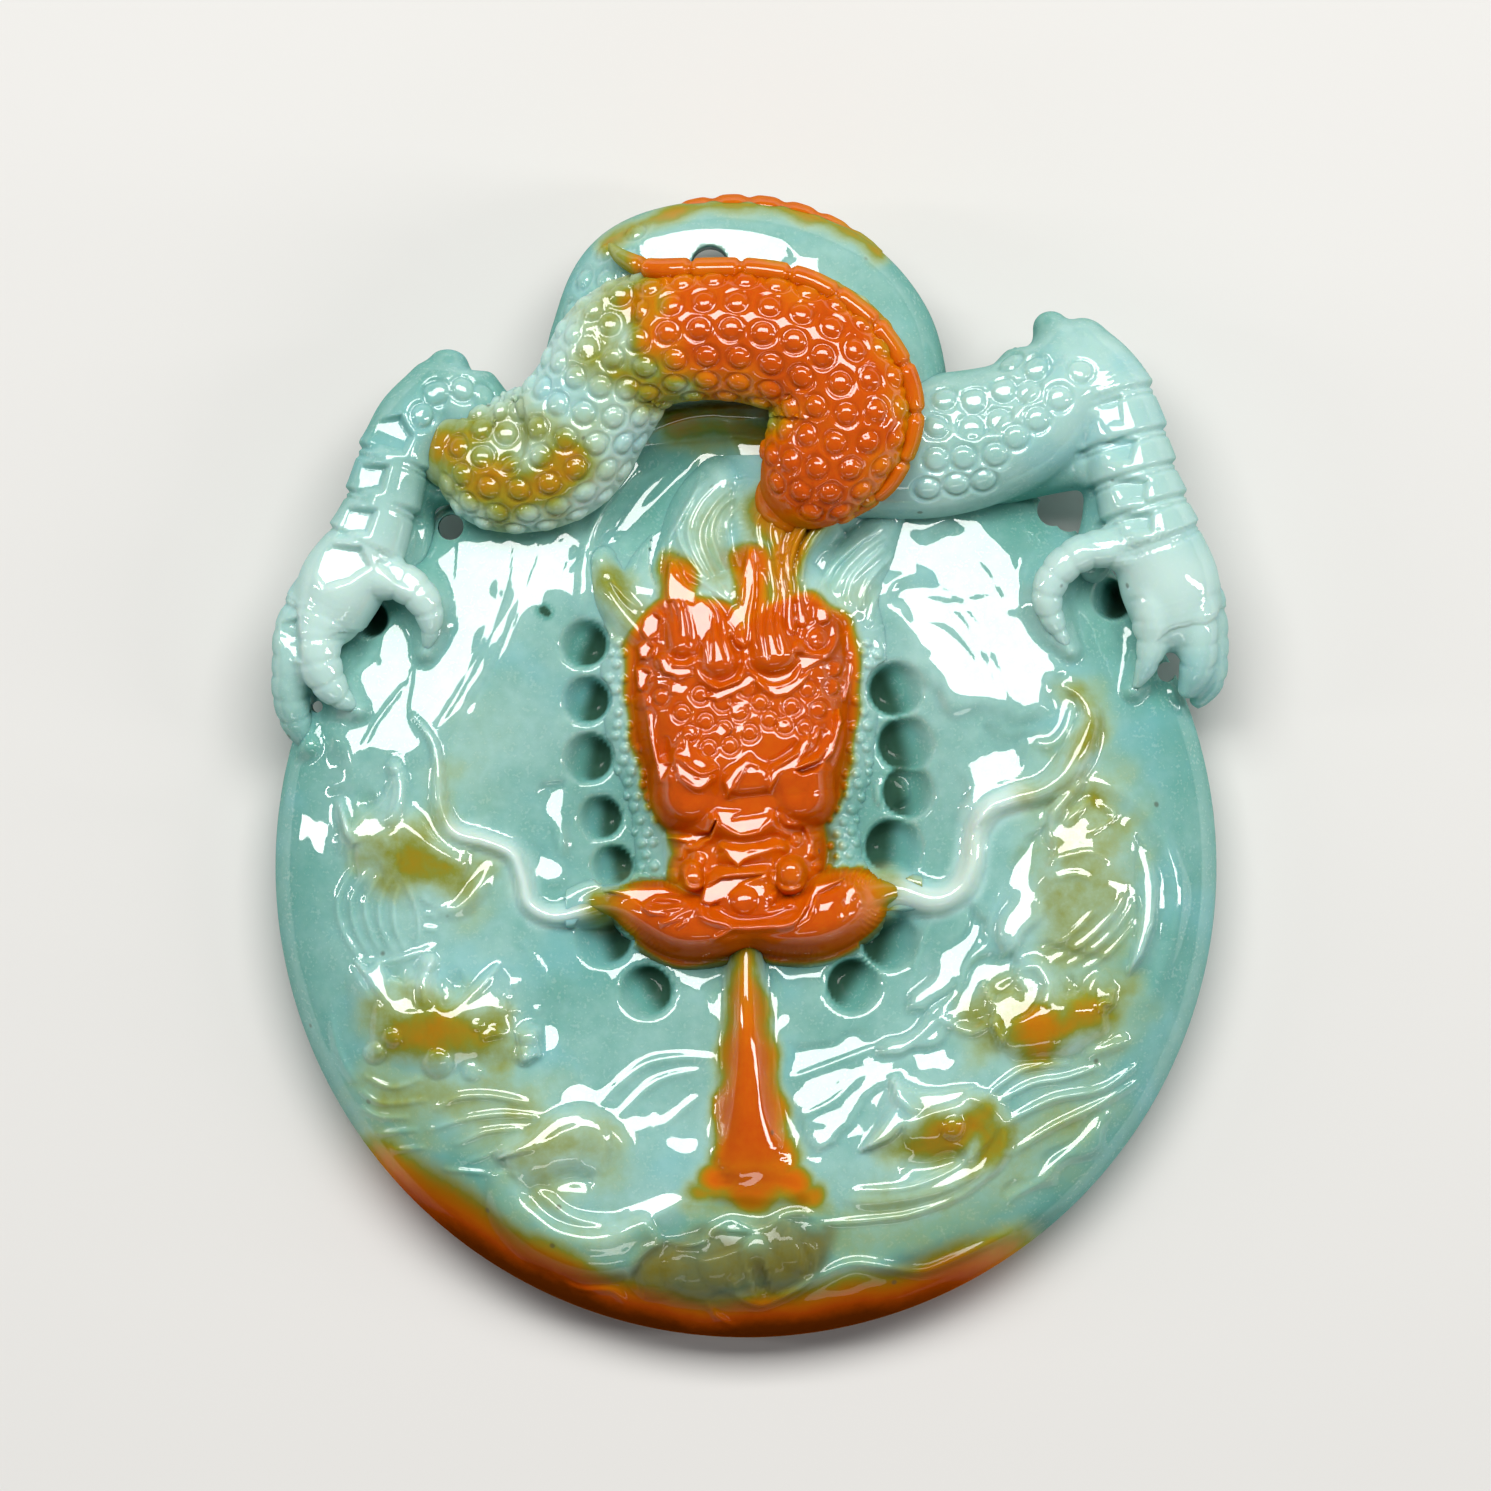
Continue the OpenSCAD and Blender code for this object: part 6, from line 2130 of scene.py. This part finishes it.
    buttons: tuple[Rows, ...] = (
        (-4.8, 7.5, 0.5, 0.4), (-5, 6.7, 0.45, 0.35), (-5.15, 5.85, 0.5, 0.4), (-4.4, 5.25, 0.45, 0.35),
        (-3.5, 4.75, 0.5, 0.3), (-5.35, 4.6, 0.5, 0.4), (-5.45, 3.3, 0.45, 0.35), (3.64, 7.55, 0.42, 0.4),
        (3.36, 6.4, 0.5, 0.35), (2.45, 6, 0.35, 0.3), (-2.7, -5.35, 0.42, 0.3), (2.04, -5.1, 0.78, 0.6),
        (-3.5, -4.3, 0.33, 0.3), (-2.6, -4.6, 0.42, 0.3), (-3.85, -5.4, 0.4, 0.35),
        (3.35, -3.4, 0.24, 0.25), (3.2, -4.3, 0.24, 0.25), (3.4, -4.9, 0.26, 0.25), (2.3, -3.6, 0.32, 0.25),
        (1.75, -4, 0.26, 0.2), (1.35, -6.5, 0.38, 0.3), (1.9, -6.7, 0.3, 0.25), (-0.3, -6.6, 0.7, 0.35),
    )
    threads: tuple[Stroke, ...] = (
        # eye and ear
        Stroke(0.4, 0.24, (
            ((2.5, 6.9), (2.5, 6), (3.2, 5.55), (4, 5.8), (4.3, 6.6), (4.2, 7.4)),
            ((-4.2, 5.9), (-3.9, 5.15), (-3.2, 4.95), (-2.6, 5.5)),
        )),
        Stroke(0.35, 0.4, (((3.4, 8), (4.6, 7.6), (5.2, 6.4), (5.2, 4.8), (4.9, 3.2)),)),
        Stroke(-0.25, 0.14, (((3.9, 7.8), (4.7, 6.9), (4.8, 5.4), (4.5, 4)),)),
        # rims of the brows
        Stroke(0.35, 0.2, (
            ((-2.7, 5.6), (-2.5, 4.6), (-1.6, 3.95), (-0.6, 4.3), (-0.25, 5.4), (-0.35, 6.8)),
            ((-0.2, 5.6), (0.1, 4.6), (1, 3.9), (2.1, 4.2), (2.6, 5.2)),
        )),
        Stroke(0.3, 0.2, (((-2.1, 4.4), (-1.4, 3.9), (-0.4, 4.4)),)),
        # strands of the flames
        Stroke(-0.26, 0.1, (
            ((-3.9, 9.7), (-3.9, 8.6), (-3.6, 7.4), (-3.5, 6.4)),
            ((-3.7, 9.6), (-3.4, 8.4), (-3.1, 7.2), (-3, 6)),
            ((-3.5, 9.5), (-2.9, 8.4), (-2.6, 7.2), (-2.5, 5.6)),
            ((-3.2, 9.3), (-2.3, 8.3), (-2, 7.2), (-1.9, 5.2)),
            ((-2.6, 8.9), (-1.7, 7.8), (-1.5, 6.6), (-1.1, 5.2)),
            ((0, 10.4), (-0.1, 9.2), (-0.3, 7.6), (-0.2, 6)),
            ((0.25, 10.2), (0.35, 8.8), (0.2, 7.2), (0.5, 5.6)),
            ((0.7, 9.8), (0.9, 8.4), (0.7, 6.9), (0.9, 5.3)),
            ((1.1, 10.4), (1.4, 8.8), (1.2, 7.2), (1.5, 5.6)),
            ((1.5, 10.6), (1.75, 8.8), (1.7, 7.2), (2.1, 5.8)),
            ((2.5, 12.2), (1.9, 10.6), (2.2, 8.8), (2.2, 7.2), (2.6, 6.2)),
        )),
        Stroke(-0.2, 0.09, (((-1.2, 7.6), (-1, 6.6), (-0.6, 5.4)),)),
        Stroke(-0.24, 0.1, (((3.2, 12.4), (2.4, 10.8), (2.6, 9), (2.7, 7.6)),)),
        Stroke(0.25, 0.14, (
            ((-4.35, 7.9), (-4.2, 9), (-3.95, 10)), ((-1, 8.2), (-1.9, 8.9), (-3, 9.6), (-3.7, 10.1)),
            ((-0.5, 8.2), (-0.35, 9.6), (0.05, 10.8)),
        )),
        # mane to the left of the flames
        Stroke(0.24, 0.12, (
            ((-1, 8.5), (-2, 10), (-2.5, 11.6), (-1.9, 13), (-0.9, 14)),
            ((-1.5, 8.7), (-2.6, 10.3), (-3.1, 11.8), (-2.6, 13.2), (-1.5, 14.4)),
        )),
        Stroke(0.2, 0.1, (
            ((-0.7, 9), (-1.5, 10.4), (-1.9, 11.8), (-1.4, 13), (-0.4, 13.7)),
            ((-0.4, 9.6), (-0.9, 10.9), (-1.1, 12.2), (-0.5, 13.2)),
            ((-4.1, 10.2), (-4, 11.4), (-3.2, 12.8)),
        )),
        Stroke(0.22, 0.12, (((-2, 9), (-3.1, 10.5), (-3.6, 11.8), (-3.1, 13.2), (-2.2, 14.4)),)),
        Stroke(0.26, 0.14, (((-4.5, 8.4), (-4.5, 10.6), (-3.8, 12), (-2.9, 13.4), (-2.4, 14.8)),)),
        Stroke(-0.2, 0.12, (((-1.4, 9.6), (-2.2, 11.2), (-2, 12.6)),)),
        # strands between the coil and the flames
        Stroke(0.22, 0.12, (((0.7, 13), (0.3, 12), (0.5, 10.8)), ((1.4, 12.8), (1, 11.8), (1.3, 10.4)))),
        Stroke(0.26, 0.12, (((3.4, 12.7), (2.4, 11.4), (2, 9.9), (2.3, 8.2)),)),
        Stroke(0.22, 0.1, (((4.2, 12.5), (3.1, 11.2), (2.7, 9.6), (2.9, 8.3)),)),
        Stroke(-0.2, 0.1, (((2.4, 12.8), (1.7, 11.4), (1.6, 10)),)),
        # mane to the right
        Stroke(0.26, 0.16, (
            ((3.6, 9), (4.2, 10.1), (5.2, 11), (6.7, 12.1)),
            ((4.2, 8.8), (4.8, 9.9), (5.8, 10.9), (6.8, 11.6)),
        )),
        Stroke(0.24, 0.15, (((4.9, 8.1), (5, 9.3), (5.9, 10.3), (6.8, 11)),)),
        Stroke(0.22, 0.14, (((5.5, 7.9), (5.9, 9.2), (7.2, 10.7)),)),
        Stroke(0.2, 0.14, (((5.9, 7), (6.4, 8.6), (7.7, 10.1)),)),
        Stroke(-0.22, 0.12, (((3.9, 8.8), (4.5, 10), (5.9, 11.5)), ((4.6, 8.4), (5.1, 9.6), (6.3, 10.9)))),
        # horn
        Stroke(0.2, 0.14, (((-5.4, 7.9), (-6.2, 8.5), (-6.9, 9.4)),)),
        Stroke(-0.16, 0.12, (((-5.6, 7.4), (-6.5, 8.4), (-7.2, 9.6)),)),
        # cheeks
        Stroke(0.42, 0.2, (
            ((-4.9, 2.7), (-4.8, 1.2), (-4.45, -0.8)),
            ((0.2, 0.6), (-0.4, 0.1), (-0.7, -0.5), (-1.1, -1.6)),
            ((2.9, 1.7), (2.25, 0.6), (1.2, 0), (0.9, -1.3)),
        )),
        Stroke(0.3, 0.16, (((-4.6, 0), (-3.8, 0.1)), ((-3.4, 0.3), (-2.4, -0.3), (-1.6, 0.1)))),
        Stroke(0.36, 0.18, (((-3, 1.8), (-3.7, 0.7), (-3, 0.2)),)),
        Stroke(0.36, 0.2, (((-3.7, -0.2), (-2.6, -1), (-1.8, -0.4)),)),
        Stroke(0.3, 0.15, (((0, 0.3), (0.5, 0.1)),)),
        Stroke(0.42, 0.22, (((4.25, 2.8), (4, 1.3), (3.2, 0.2), (2.2, -0.2)),)),
        Stroke(0.36, 0.16, (((4.8, 2.3), (4.55, 1), (4, -0.4)),)),
        Stroke(0.3, 0.14, (((3.4, 2), (3.2, 1.1), (2.6, 0.6)),)),
        Stroke(-0.3, 0.18, (
            ((-4.2, 1.6), (-4.1, 0.4), (-3.5, -0.6)), ((2.4, 1.3), (1.6, 0.5), (0.9, 0.3)),
            ((3.7, 1.9), (3, 0.7), (2.2, 0.2)),
        )),
        # bridge of the nose
        Stroke(0.5, 0.36, (((-2, -2.3), (-1.3, -2.9), (-0.1, -3.25), (0.9, -2.8), (1.3, -2.2)),)),
        Stroke(-0.4, 0.22, (((-1.9, -3.5), (-0.2, -3.7), (1.5, -3.4)),)),
        Stroke(0.45, 0.28, (((-1.6, -3.9), (-0.7, -4.5), (0.2, -4.2), (1.9, -3.9)),)),
        Stroke(-0.4, 0.2, (((-1.7, -4.9), (-0.4, -4.9), (1.1, -4.7)),)),
        Stroke(0.5, 0.3, (((-2.4, -6.7), (-1.9, -5.7), (-0.8, -5.3), (1, -5.3)),)),
        Stroke(0.4, 0.22, (((-4.3, -3.3), (-2.9, -4), (-2, -3.3), (-1.7, -2.2)),)),
        Stroke(0.36, 0.18, (((1.5, -2.9), (2.6, -2.9), (3.1, -3.6), (3, -4.6)),)),
        Stroke(-0.4, 0.16, (((1.3, -2), (1.5, -2.8), (2.4, -3.1), (3.4, -2.6)),)),
        Stroke(0.36, 0.16, (
            ((-3.2, -5), (-3.1, -5.9), (-2.3, -5.9), (-2, -5.2)),
            ((1.2, -5.2), (1.5, -6), (2.6, -5.9), (2.9, -5.1)),
        )),
        # rim of the lip and its wrinkles
        Stroke(0.5, 0.24, ((
            (-2.6, -6.4), (-2.3, -7.4), (-1.3, -7.75), (-0.5, -7.95), (0.7, -7.9), (1.9, -7.8),
            (2.7, -7.3), (3.1, -6.5), (3.4, -5.9), (4.9, -5.4),
        ),)),
        Stroke(-0.3, 0.16, (((-2, -7), (-0.6, -7.5), (1, -7.4), (2.3, -6.9)),)),
        Stroke(0.28, 0.14, (((-0.6, -7.9), (-1.3, -8.25), (-1.9, -8.6)),)),
        Stroke(0.35, 0.22, (((-7.2, -6.4), (-5.4, -6.15), (-4, -6.4), (-2.7, -6.9)),)),
        Stroke(0.28, 0.13, (((-5.4, -6.9), (-4.6, -7.15), (-3.4, -6.95)),)),
        Stroke(0.26, 0.12, (((-4.5, -7.9), (-3.6, -7.4), (-2.8, -7)),)),
        Stroke(0.2, 0.1, (((-3.7, -8), (-3.1, -7.6)),)),
        Stroke(-0.24, 0.13, (((-5.4, -6.6), (-4.4, -6.75), (-3.2, -6.7)),)),
        Stroke(0.3, 0.2, (((4.2, -5.6), (5.2, -5.9), (5.6, -6.9)),)),
    )
    facet_lean: tuple[float, float] = (0.0, 0.2)
    facets: tuple[Spots, ...] = (
        # flames and ears
        ((-4, 9.9), (-3.45, 9.2), (-2.6, 8.75), (-2.9, 8.1), (-3.4, 8.3), (-4.1, 8.3), (-4.15, 9)),
        ((-3, 8), (-2.4, 8.4), (-1.95, 8), (-1.95, 6.9), (-2.4, 6.1), (-2.7, 6.8)),
        ((-3.5, 7.9), (-3.3, 7.9), (-3.2, 6.4), (-3.45, 6.5)),
        (
            (0, 10.6), (0.22, 9.8), (0.08, 8.6), (-0.2, 7.4), (-0.75, 6.8), (-1.15, 7.3), (-0.85, 7.9),
            (-0.3, 8.2), (-0.25, 9.5),
        ),
        ((-5.45, 6.8), (-5.3, 7.5), (-4.85, 7.75), (-4.45, 7.4), (-4.6, 6.7), (-5.15, 6.4)),
        ((-5.6, 6), (-5.2, 6.3), (-4.8, 6), (-5.1, 5.5), (-5.5, 5.4)),
        ((-5.7, 5), (-5.3, 4.9), (-4.95, 4.7), (-5.35, 3.8), (-5.6, 3.9)),
        ((3.2, 8), (3.8, 7.95), (3.9, 7.3), (3.4, 7.2)),
        ((4.85, 5.3), (5.12, 5.3), (5.02, 4.3), (4.75, 3.3), (4.55, 3.4), (4.78, 4.3)),
        # under the brows
        ((-4.6, 5.5), (-4.1, 5.4), (-3.9, 5), (-3, 5), (-2.8, 4.6), (-3.6, 4.5), (-4.3, 4.7)),
        ((-2.3, 3.5), (-1.5, 3.9), (-0.6, 4.2), (0, 4.7), (0.4, 4.4), (-0.1, 4), (-0.9, 3.6), (-1.6, 3.3)),
        ((0.5, 4.3), (1.4, 4), (2.2, 4.3), (3, 4.8), (2.7, 4.2), (1.9, 3.6), (1.2, 3.5)),
        ((2.3, 5.6), (3.9, 5.5), (3.2, 5.1), (2.7, 4.8)),
        # between the scales
        ((-1, 3.1), (-0.3, 3.35), (0.1, 3.2), (-0.5, 2.9), (-0.9, 2.6)),
        ((-1.9, 1.8), (-1.4, 2.2), (-1.1, 1.8), (-1.4, 1.4)), ((-0.76, 2.1), (-0.2, 2.25), (-0.5, 1.5)),
        ((1.3, 2.5), (1.9, 2.2), (1.4, 1.9)), ((-3.9, 4.2), (-3.2, 4.1), (-3.4, 3.6), (-4, 3.7)),
        # fringe of the cheeks
        (
            (-5.15, 2.8), (-4.75, 2.7), (-4.76, 1.5), (-4.5, 0.3), (-3.9, 0.15), (-4.4, -0.7), (-4.76, 0.4),
            (-5, 1.5),
        ),
        ((-3.1, 2), (-2.9, 0.4), (-3.8, 0.6), (-3.3, 0.95)),
        ((-3.8, 0.5), (-2.7, -0.5), (-1.95, -0.5), (-2.6, -1), (-3.6, -0.3)),
        ((-1.3, -0.7), (-0.2, 0.45), (0.36, 0.2), (-0.25, 0), (-0.76, -0.7), (-1.1, -1.5), (-1.2, -1)),
        ((0.9, -1.2), (1.06, -0.25), (2.3, 0.6), (2.9, 1.7), (2.98, 1.2), (2.3, 0), (1.5, -0.3)),
        (
            (2.25, -0.13), (3.45, 0.35), (4.15, 1.55), (4.4, 2.9), (4.6, 2.3), (4.15, 0.7), (3.3, -0.13),
            (2.6, -0.34),
        ),
        # bridge and nose
        (
            (-1.75, -2.1), (-0.5, -2.15), (-0.9, -2.6), (0.92, -2.35), (0.5, -3.1), (-0.5, -3.35),
            (-1.4, -2.8),
        ),
        ((-1.47, -3.9), (-0.06, -4.15), (1.48, -3.85), (-0.2, -4.5), (-0.6, -5)),
        ((-4.1, -3.5), (-2, -3.2), (-1.7, -2.65), (-2, -3.5), (-3.1, -3.8)),
        ((-2.45, -6.7), (-2.3, -6), (-1.47, -5.5), (0.78, -5.3), (-0.5, -5.8), (-1.4, -6.6), (-2, -6.85)),
        # lip
        ((-7.3, -6.1), (-6, -6), (-4.3, -5.95), (-3.4, -6.4), (-4.7, -6.4), (-5.4, -6.8), (-6, -6.5)),
        ((-5.3, -6.95), (-4.1, -7.1), (-3.15, -7), (-4.1, -7.4), (-5, -7.3)),
        ((-4.4, -7.75), (-3, -7.1), (-3.3, -7.6)),
        ((3.2, -5.8), (4.7, -5.5), (3.9, -6), (3.3, -6.3), (2.9, -7.5), (2.2, -7.95), (2.85, -6.9)),
        ((5.2, -5.8), (5.35, -6.2), (4.75, -7), (4.6, -6.7), (4.85, -6)),
        ((4.43, -7.15), (4.85, -7.4), (4.5, -7.65)),
    )
    stains: tuple[Stain, ...] = (
        Stain(3, 1, 0.7, ((-3, 5.5), (-3, 3.4), (-2.2, -0.8))),
        Stain(3, 1, 0.7, ((2.3, 5.5), (2.2, 3.4), (1.6, -0.8))),
        Stain(1.6, 0.94, 1.2, ((-2.2, -3.4), (1.9, -3.4), (1.9, -5.2), (-2.2, -5.2))),
        Stain(1, 1, 0.8, (
            (-7.4, -6.6, 0.5, 0.5), (-6.2, -6.8, 0.9, 0.8), (-5, -7.2, 1.6, 1), (-3.4, -7.9, 2, 1),
            (-1.6, -8, 1.9, 1), (2, -7.9, 1.9, 1), (3.6, -7.5, 2, 1), (5, -6.8, 1.8, 0.96),
            (6, -6.4, 1.2, 0.8), (6.9, -6.2, 0.7, 0.56),
        )),
        Stain(0.6, 0.5, 1, ((-6.6, -6.8), (6.2, -6.2))),
        Stain(0.5, 0.52, 1.2, ((6.2, -6.3), (7.4, -6.1))),
        Stain(0.4, 0.4, 1, ((7.4, -6.1), (8.6, -6.2))),
        Stain(0.7, 0.8, 1, ((-3.4, 8), (-3.6, 9.6))),
        Stain(0.7, 0.86, 1, ((0.3, 8), (0.2, 10.4))),
        Stain(0.7, 0.66, 1, ((1.6, 8), (1.7, 10.6), (2.8, 12.4))),
        Stain(1.4, 0.6, 1.4, ((2.4, 13.4), (1.6, 12.4))),
        Stain(0.7, 0.38, 1.4, ((-5.4, 7), (-6.3, 8.3), (-7, 9.4))),
        Stain(0.9, 0.22, 1.4, ((-1.6, 9.4), (-2.2, 11.6), (-1, 13.2))),
        Stain(0.5, 0.4, 1.1, ((0.2, 11.6), (0.2, 13))),
        Stain(0.6, 0.2, 1.4, ((4.2, 8.4), (5.4, 8.6))),
    )
    band_margin: float = 1.35
    shelf_margin: float = 0.45
    band_foot: Sequence[float] = (0.0, -5.2, 0.0, 5.6, 1.0)
    bead_seed: int = 7
    bead_r: float = 0.25
    bead_rise: float = 0.26
    bead_pitch: float = 0.68
    bead_lanes: int = 4
    bead_reach: tuple[float, float] = (7.15, 6.45)
    bead_stray: float = 0.09
    bead_gap: float = 0.32
    bead_clear: float = 0.12
    bead_sizes: tuple[float, float] = (0.8, 1.1)
    jaw_top: float = -1.6
    jaw_half: float = 4.1
    bead_rows: tuple[float, float] = (-5.0, 6.6)
    # Painted shade on the steep orange walls, and the heights of the head's foot where painted shade
    # gathers.
    wall_painted_shade: float = 1.2
    foot_levels: tuple[float, float] = (8.6, 7.2)
    fade_levels: tuple[float, float] = (6.9, 6.4)
    foot_fade: float = 0.6

    def build(self) -> None:
        """Makes the head."""
        across = int((self.high[0] - self.low[0]) / self.spacing)
        along = int((self.high[1] - self.low[1]) / self.spacing)
        clay = Clay.sheet(across, along)
        low, high = np.array(self.low), np.array(self.high)
        points = low + (high - low) * clay.points[:, :2]
        relief = Relief(points, np.full(len(points), self.floor))
        self.band(relief)
        for rows in self.mounds:
            relief.swell(rows, blend=0.4, power=2.0)
        self.drill_pits(relief)
        relief.swell(self.skull, blend=0.2, power=6.0)
        for rows in self.jaw:
            relief.swell(rows, blend=0.3, power=4.0)
        relief.swell(self.lip, blend=0.2, power=3.0)
        for rows in self.bridge:
            relief.swell(rows, blend=0.1, power=6.0)
        for rows in self.flames:
            relief.swell(rows, blend=0.08, power=5.0)
        for rows in self.brows:
            relief.swell(rows, blend=0.1, power=2.6)
        for x, y in self.scales:
            relief.scale(x, y, size=0.36)
        for button in self.buttons:
            relief.dome(*button)
        for threads in self.threads:
            threads.carve(relief)
        for corners in self.facets:
            relief.plane(corners, self.facet_lean)
        clay.points = np.column_stack([points, np.maximum(relief.z, self.floor)])
        clay.close_below(self.floor - 0.4)
        skin, gloom = self.skin(clay.points)
        # Painted shade on the steep orange walls, which also dulls their polish.
        walls = self.wall_painted_shade * ease(0.5, 0.2, clay.normals[:, 2]) * ease(0.3, 0.6, skin)
        self.stone.hand_over(clay, "dragon_head", skin, np.maximum(gloom, walls))

    def band(self, relief: Relief) -> None:
        """Raises the beaded band beside the head and under the lip.

        Args:
            relief: The head's relief, still flat.
        """
        ground = self.stone.face(relief.points[:, 0], relief.points[:, 1])
        side = [(r[0], r[1], 0.0, r[3] + self.band_margin, 1.0) for r in self.skull] + [self.band_foot]
        shelf = [(r[0], r[1], 0.0, r[3] + self.shelf_margin, 1.0) for r in self.lip]
        for outline, rise in ((side, 1.0), (shelf, 0.9)):
            seen = Curve(outline).look(relief.points)
            top = ground[seen.index] + rise * (1 - seen.share**10)
            relief.z[seen.index] = np.maximum(relief.z[seen.index], np.maximum(top, self.floor))
        self.sow_beads(relief)

    def sow_beads(self, relief: Relief) -> None:
        """Sets rows of uneven beads along both sides of the skull, clear of the hollows.

        Args:
            relief: The head's relief with its band.
        """
        draw = np.random.default_rng(self.bead_seed).uniform
        stray = self.bead_stray
        skull = np.array(self.skull[::-1])
        for row, level in enumerate(np.arange(*self.bead_rows, self.bead_pitch * 0.87)):
            middle = np.interp(level, skull[:, 1], skull[:, 0])
            # Below the skull's last row, the beads follow the jaw.
            half = np.interp(level, skull[:, 1], skull[:, 3]) if level > self.jaw_top else self.jaw_half
            for side, reach in zip((-1, 1), self.bead_reach):
                for lane in range(self.bead_lanes):
                    across = half + self.bead_gap + self.bead_pitch * (lane + 0.5 * (row % 2))
                    x = middle + side * across
                    x, y = x + draw(-stray, stray), level + draw(-stray, stray)
                    free = min(math.hypot(x - pit[0], y - pit[1]) - pit[2] for pit in PITS)
                    if free > self.bead_clear and abs(x) < reach:
                        relief.dome(x, y, self.bead_r * draw(*self.bead_sizes), self.bead_rise)

    def drill_pits(self, relief: Relief) -> None:
        """Opens the band where the hollows are drilled.

        Args:
            relief: The head's relief with its band.
        """
        for x, y, radius in PITS:
            share = np.hypot(relief.points[:, 0] - x, relief.points[:, 1] - y) / radius
            near = share < 1.1
            relief.z[near] = np.minimum(relief.z[near], self.floor + 6 * ease(0.97, 1.1, share[near]))

    def skin(self, points: np.ndarray) -> tuple[np.ndarray, np.ndarray]:
        """The orange skin over the head, with painted shade at its foot and painted light on the band
        beside it.

        Args:
            points: The head's points.

        Returns:
            The skin's depth, and the gloom: painted shade, below 0 where light is painted.
        """
        result = stained(points, self.stains)
        low = ease(*self.foot_levels, points[:, 2])
        # Painted shade darkens the orange skin at its foot, and painted light lightens the pale band beside
        # it.
        gloom = 1.1 * low * ease(0.3, 0.6, result) - 0.7 * low * ease(0.2, 0.05, result)
        return result * (1 - self.foot_fade * ease(*self.fade_levels, points[:, 2])), gloom


@dataclass
class Studio:
    """Pale floor, soft lights and the camera above the face."""

    view_middle: tuple[float, float] = (-0.225, 1.1)
    view_width: float = 74.55
    camera_height: float = 600.0
    mean_face: float = 6.0
    sensor: float = 36.0
    floor_size: float = 3000.0
    floor_grey: tuple[float, float, float, float] = (0.72, 0.72, 0.71, 1.0)
    lamp_white: tuple[float, float, float] = (1.0, 0.98, 0.95)
    sky: tuple[float, float, float, float] = (0.86, 0.9, 0.95, 1.0)
    sky_strength: float = 0.07
    softboxes: tuple[tuple[str, Sequence[float], Sequence[float], float], ...] = (
        ("top_softbox", (0, 250, 560), (660, 250), 4.6),
        ("left_strip", (-560, 40, 300), (36, 300), 0.4),
        ("right_strip", (560, -40, 300), (60, 420), 0.8),
        ("low_strip", (60, -560, 300), (420, 60), 0.2),
    )

    def floor(self) -> None:
        """Lays the pale floor that the stone rests on."""
        start = bmesh.new()
        bmesh.ops.create_grid(start, x_segments=1, y_segments=1, size=self.floor_size / 2 * MM)
        mesh = bpy.data.meshes.new("floor")
        start.to_mesh(mesh)
        start.free()
        tree = Tree("floor")
        plain = {"Base Color": self.floor_grey, "Roughness": 0.6}
        shader = tree.add("ShaderNodeBsdfPrincipled", {}, plain, "BSDF")
        tree.add("ShaderNodeOutputMaterial", {}, {"Surface": shader})
        mesh.materials.append(tree.material)
        floor = bpy.data.objects.new("floor", mesh)
        bpy.context.scene.collection.objects.link(floor)

    def light(self, name: str, place: Sequence[float], size: Sequence[float], power: float) -> None:
        """Hangs one rectangular softbox that faces the stone.

        Args:
            name: The light's name.
            place: Where it hangs, in millimetres.
            size: Its width and height, in millimetres.
            power: Its power in watts.
        """
        lamp = bpy.data.lights.new(name, "AREA")
        lamp.shape = "RECTANGLE"
        lamp.size, lamp.size_y = size[0] * MM, size[1] * MM
        lamp.energy = power
        lamp.color = self.lamp_white
        holder = bpy.data.objects.new(name, lamp)
        holder.location = Vector(place) * MM
        holder.rotation_euler = (-Vector(place)).to_track_quat("-Z", "Y").to_euler()
        bpy.context.scene.collection.objects.link(holder)

    def build(self) -> None:
        """Makes the floor, the lights and the camera."""
        self.floor()
        for softbox in self.softboxes:
            self.light(*softbox)
        scene = bpy.context.scene
        world = bpy.data.worlds.new("studio")
        world.use_nodes = True
        background = world.node_tree.nodes["Background"]
        background.inputs["Color"].default_value = self.sky
        background.inputs["Strength"].default_value = self.sky_strength
        scene.world = world
        scene.view_settings.view_transform = "Standard"
        lens = bpy.data.cameras.new("camera")
        lens.sensor_width = self.sensor
        lens.lens = self.sensor * (self.camera_height - self.mean_face) / self.view_width
        lens.clip_start, lens.clip_end = 0.01, 10
        camera = bpy.data.objects.new("camera", lens)
        camera.location = Vector((*self.view_middle, self.camera_height)) * MM
        scene.collection.objects.link(camera)
        scene.camera = camera


def main() -> None:
    """Builds the pendant and its studio."""
    logging.basicConfig(level=logging.INFO, format="%(message)s")
    stone = Stone(finish=PolishedJade().build())
    WaveDisc(stone).build()
    CoiledBody(stone).build()
    Arch(stone).build()
    Limb.left(stone).build()
    Limb.right(stone).build()
    DragonHead(stone).build()
    Studio().build()


if __name__ == "__main__":
    main()
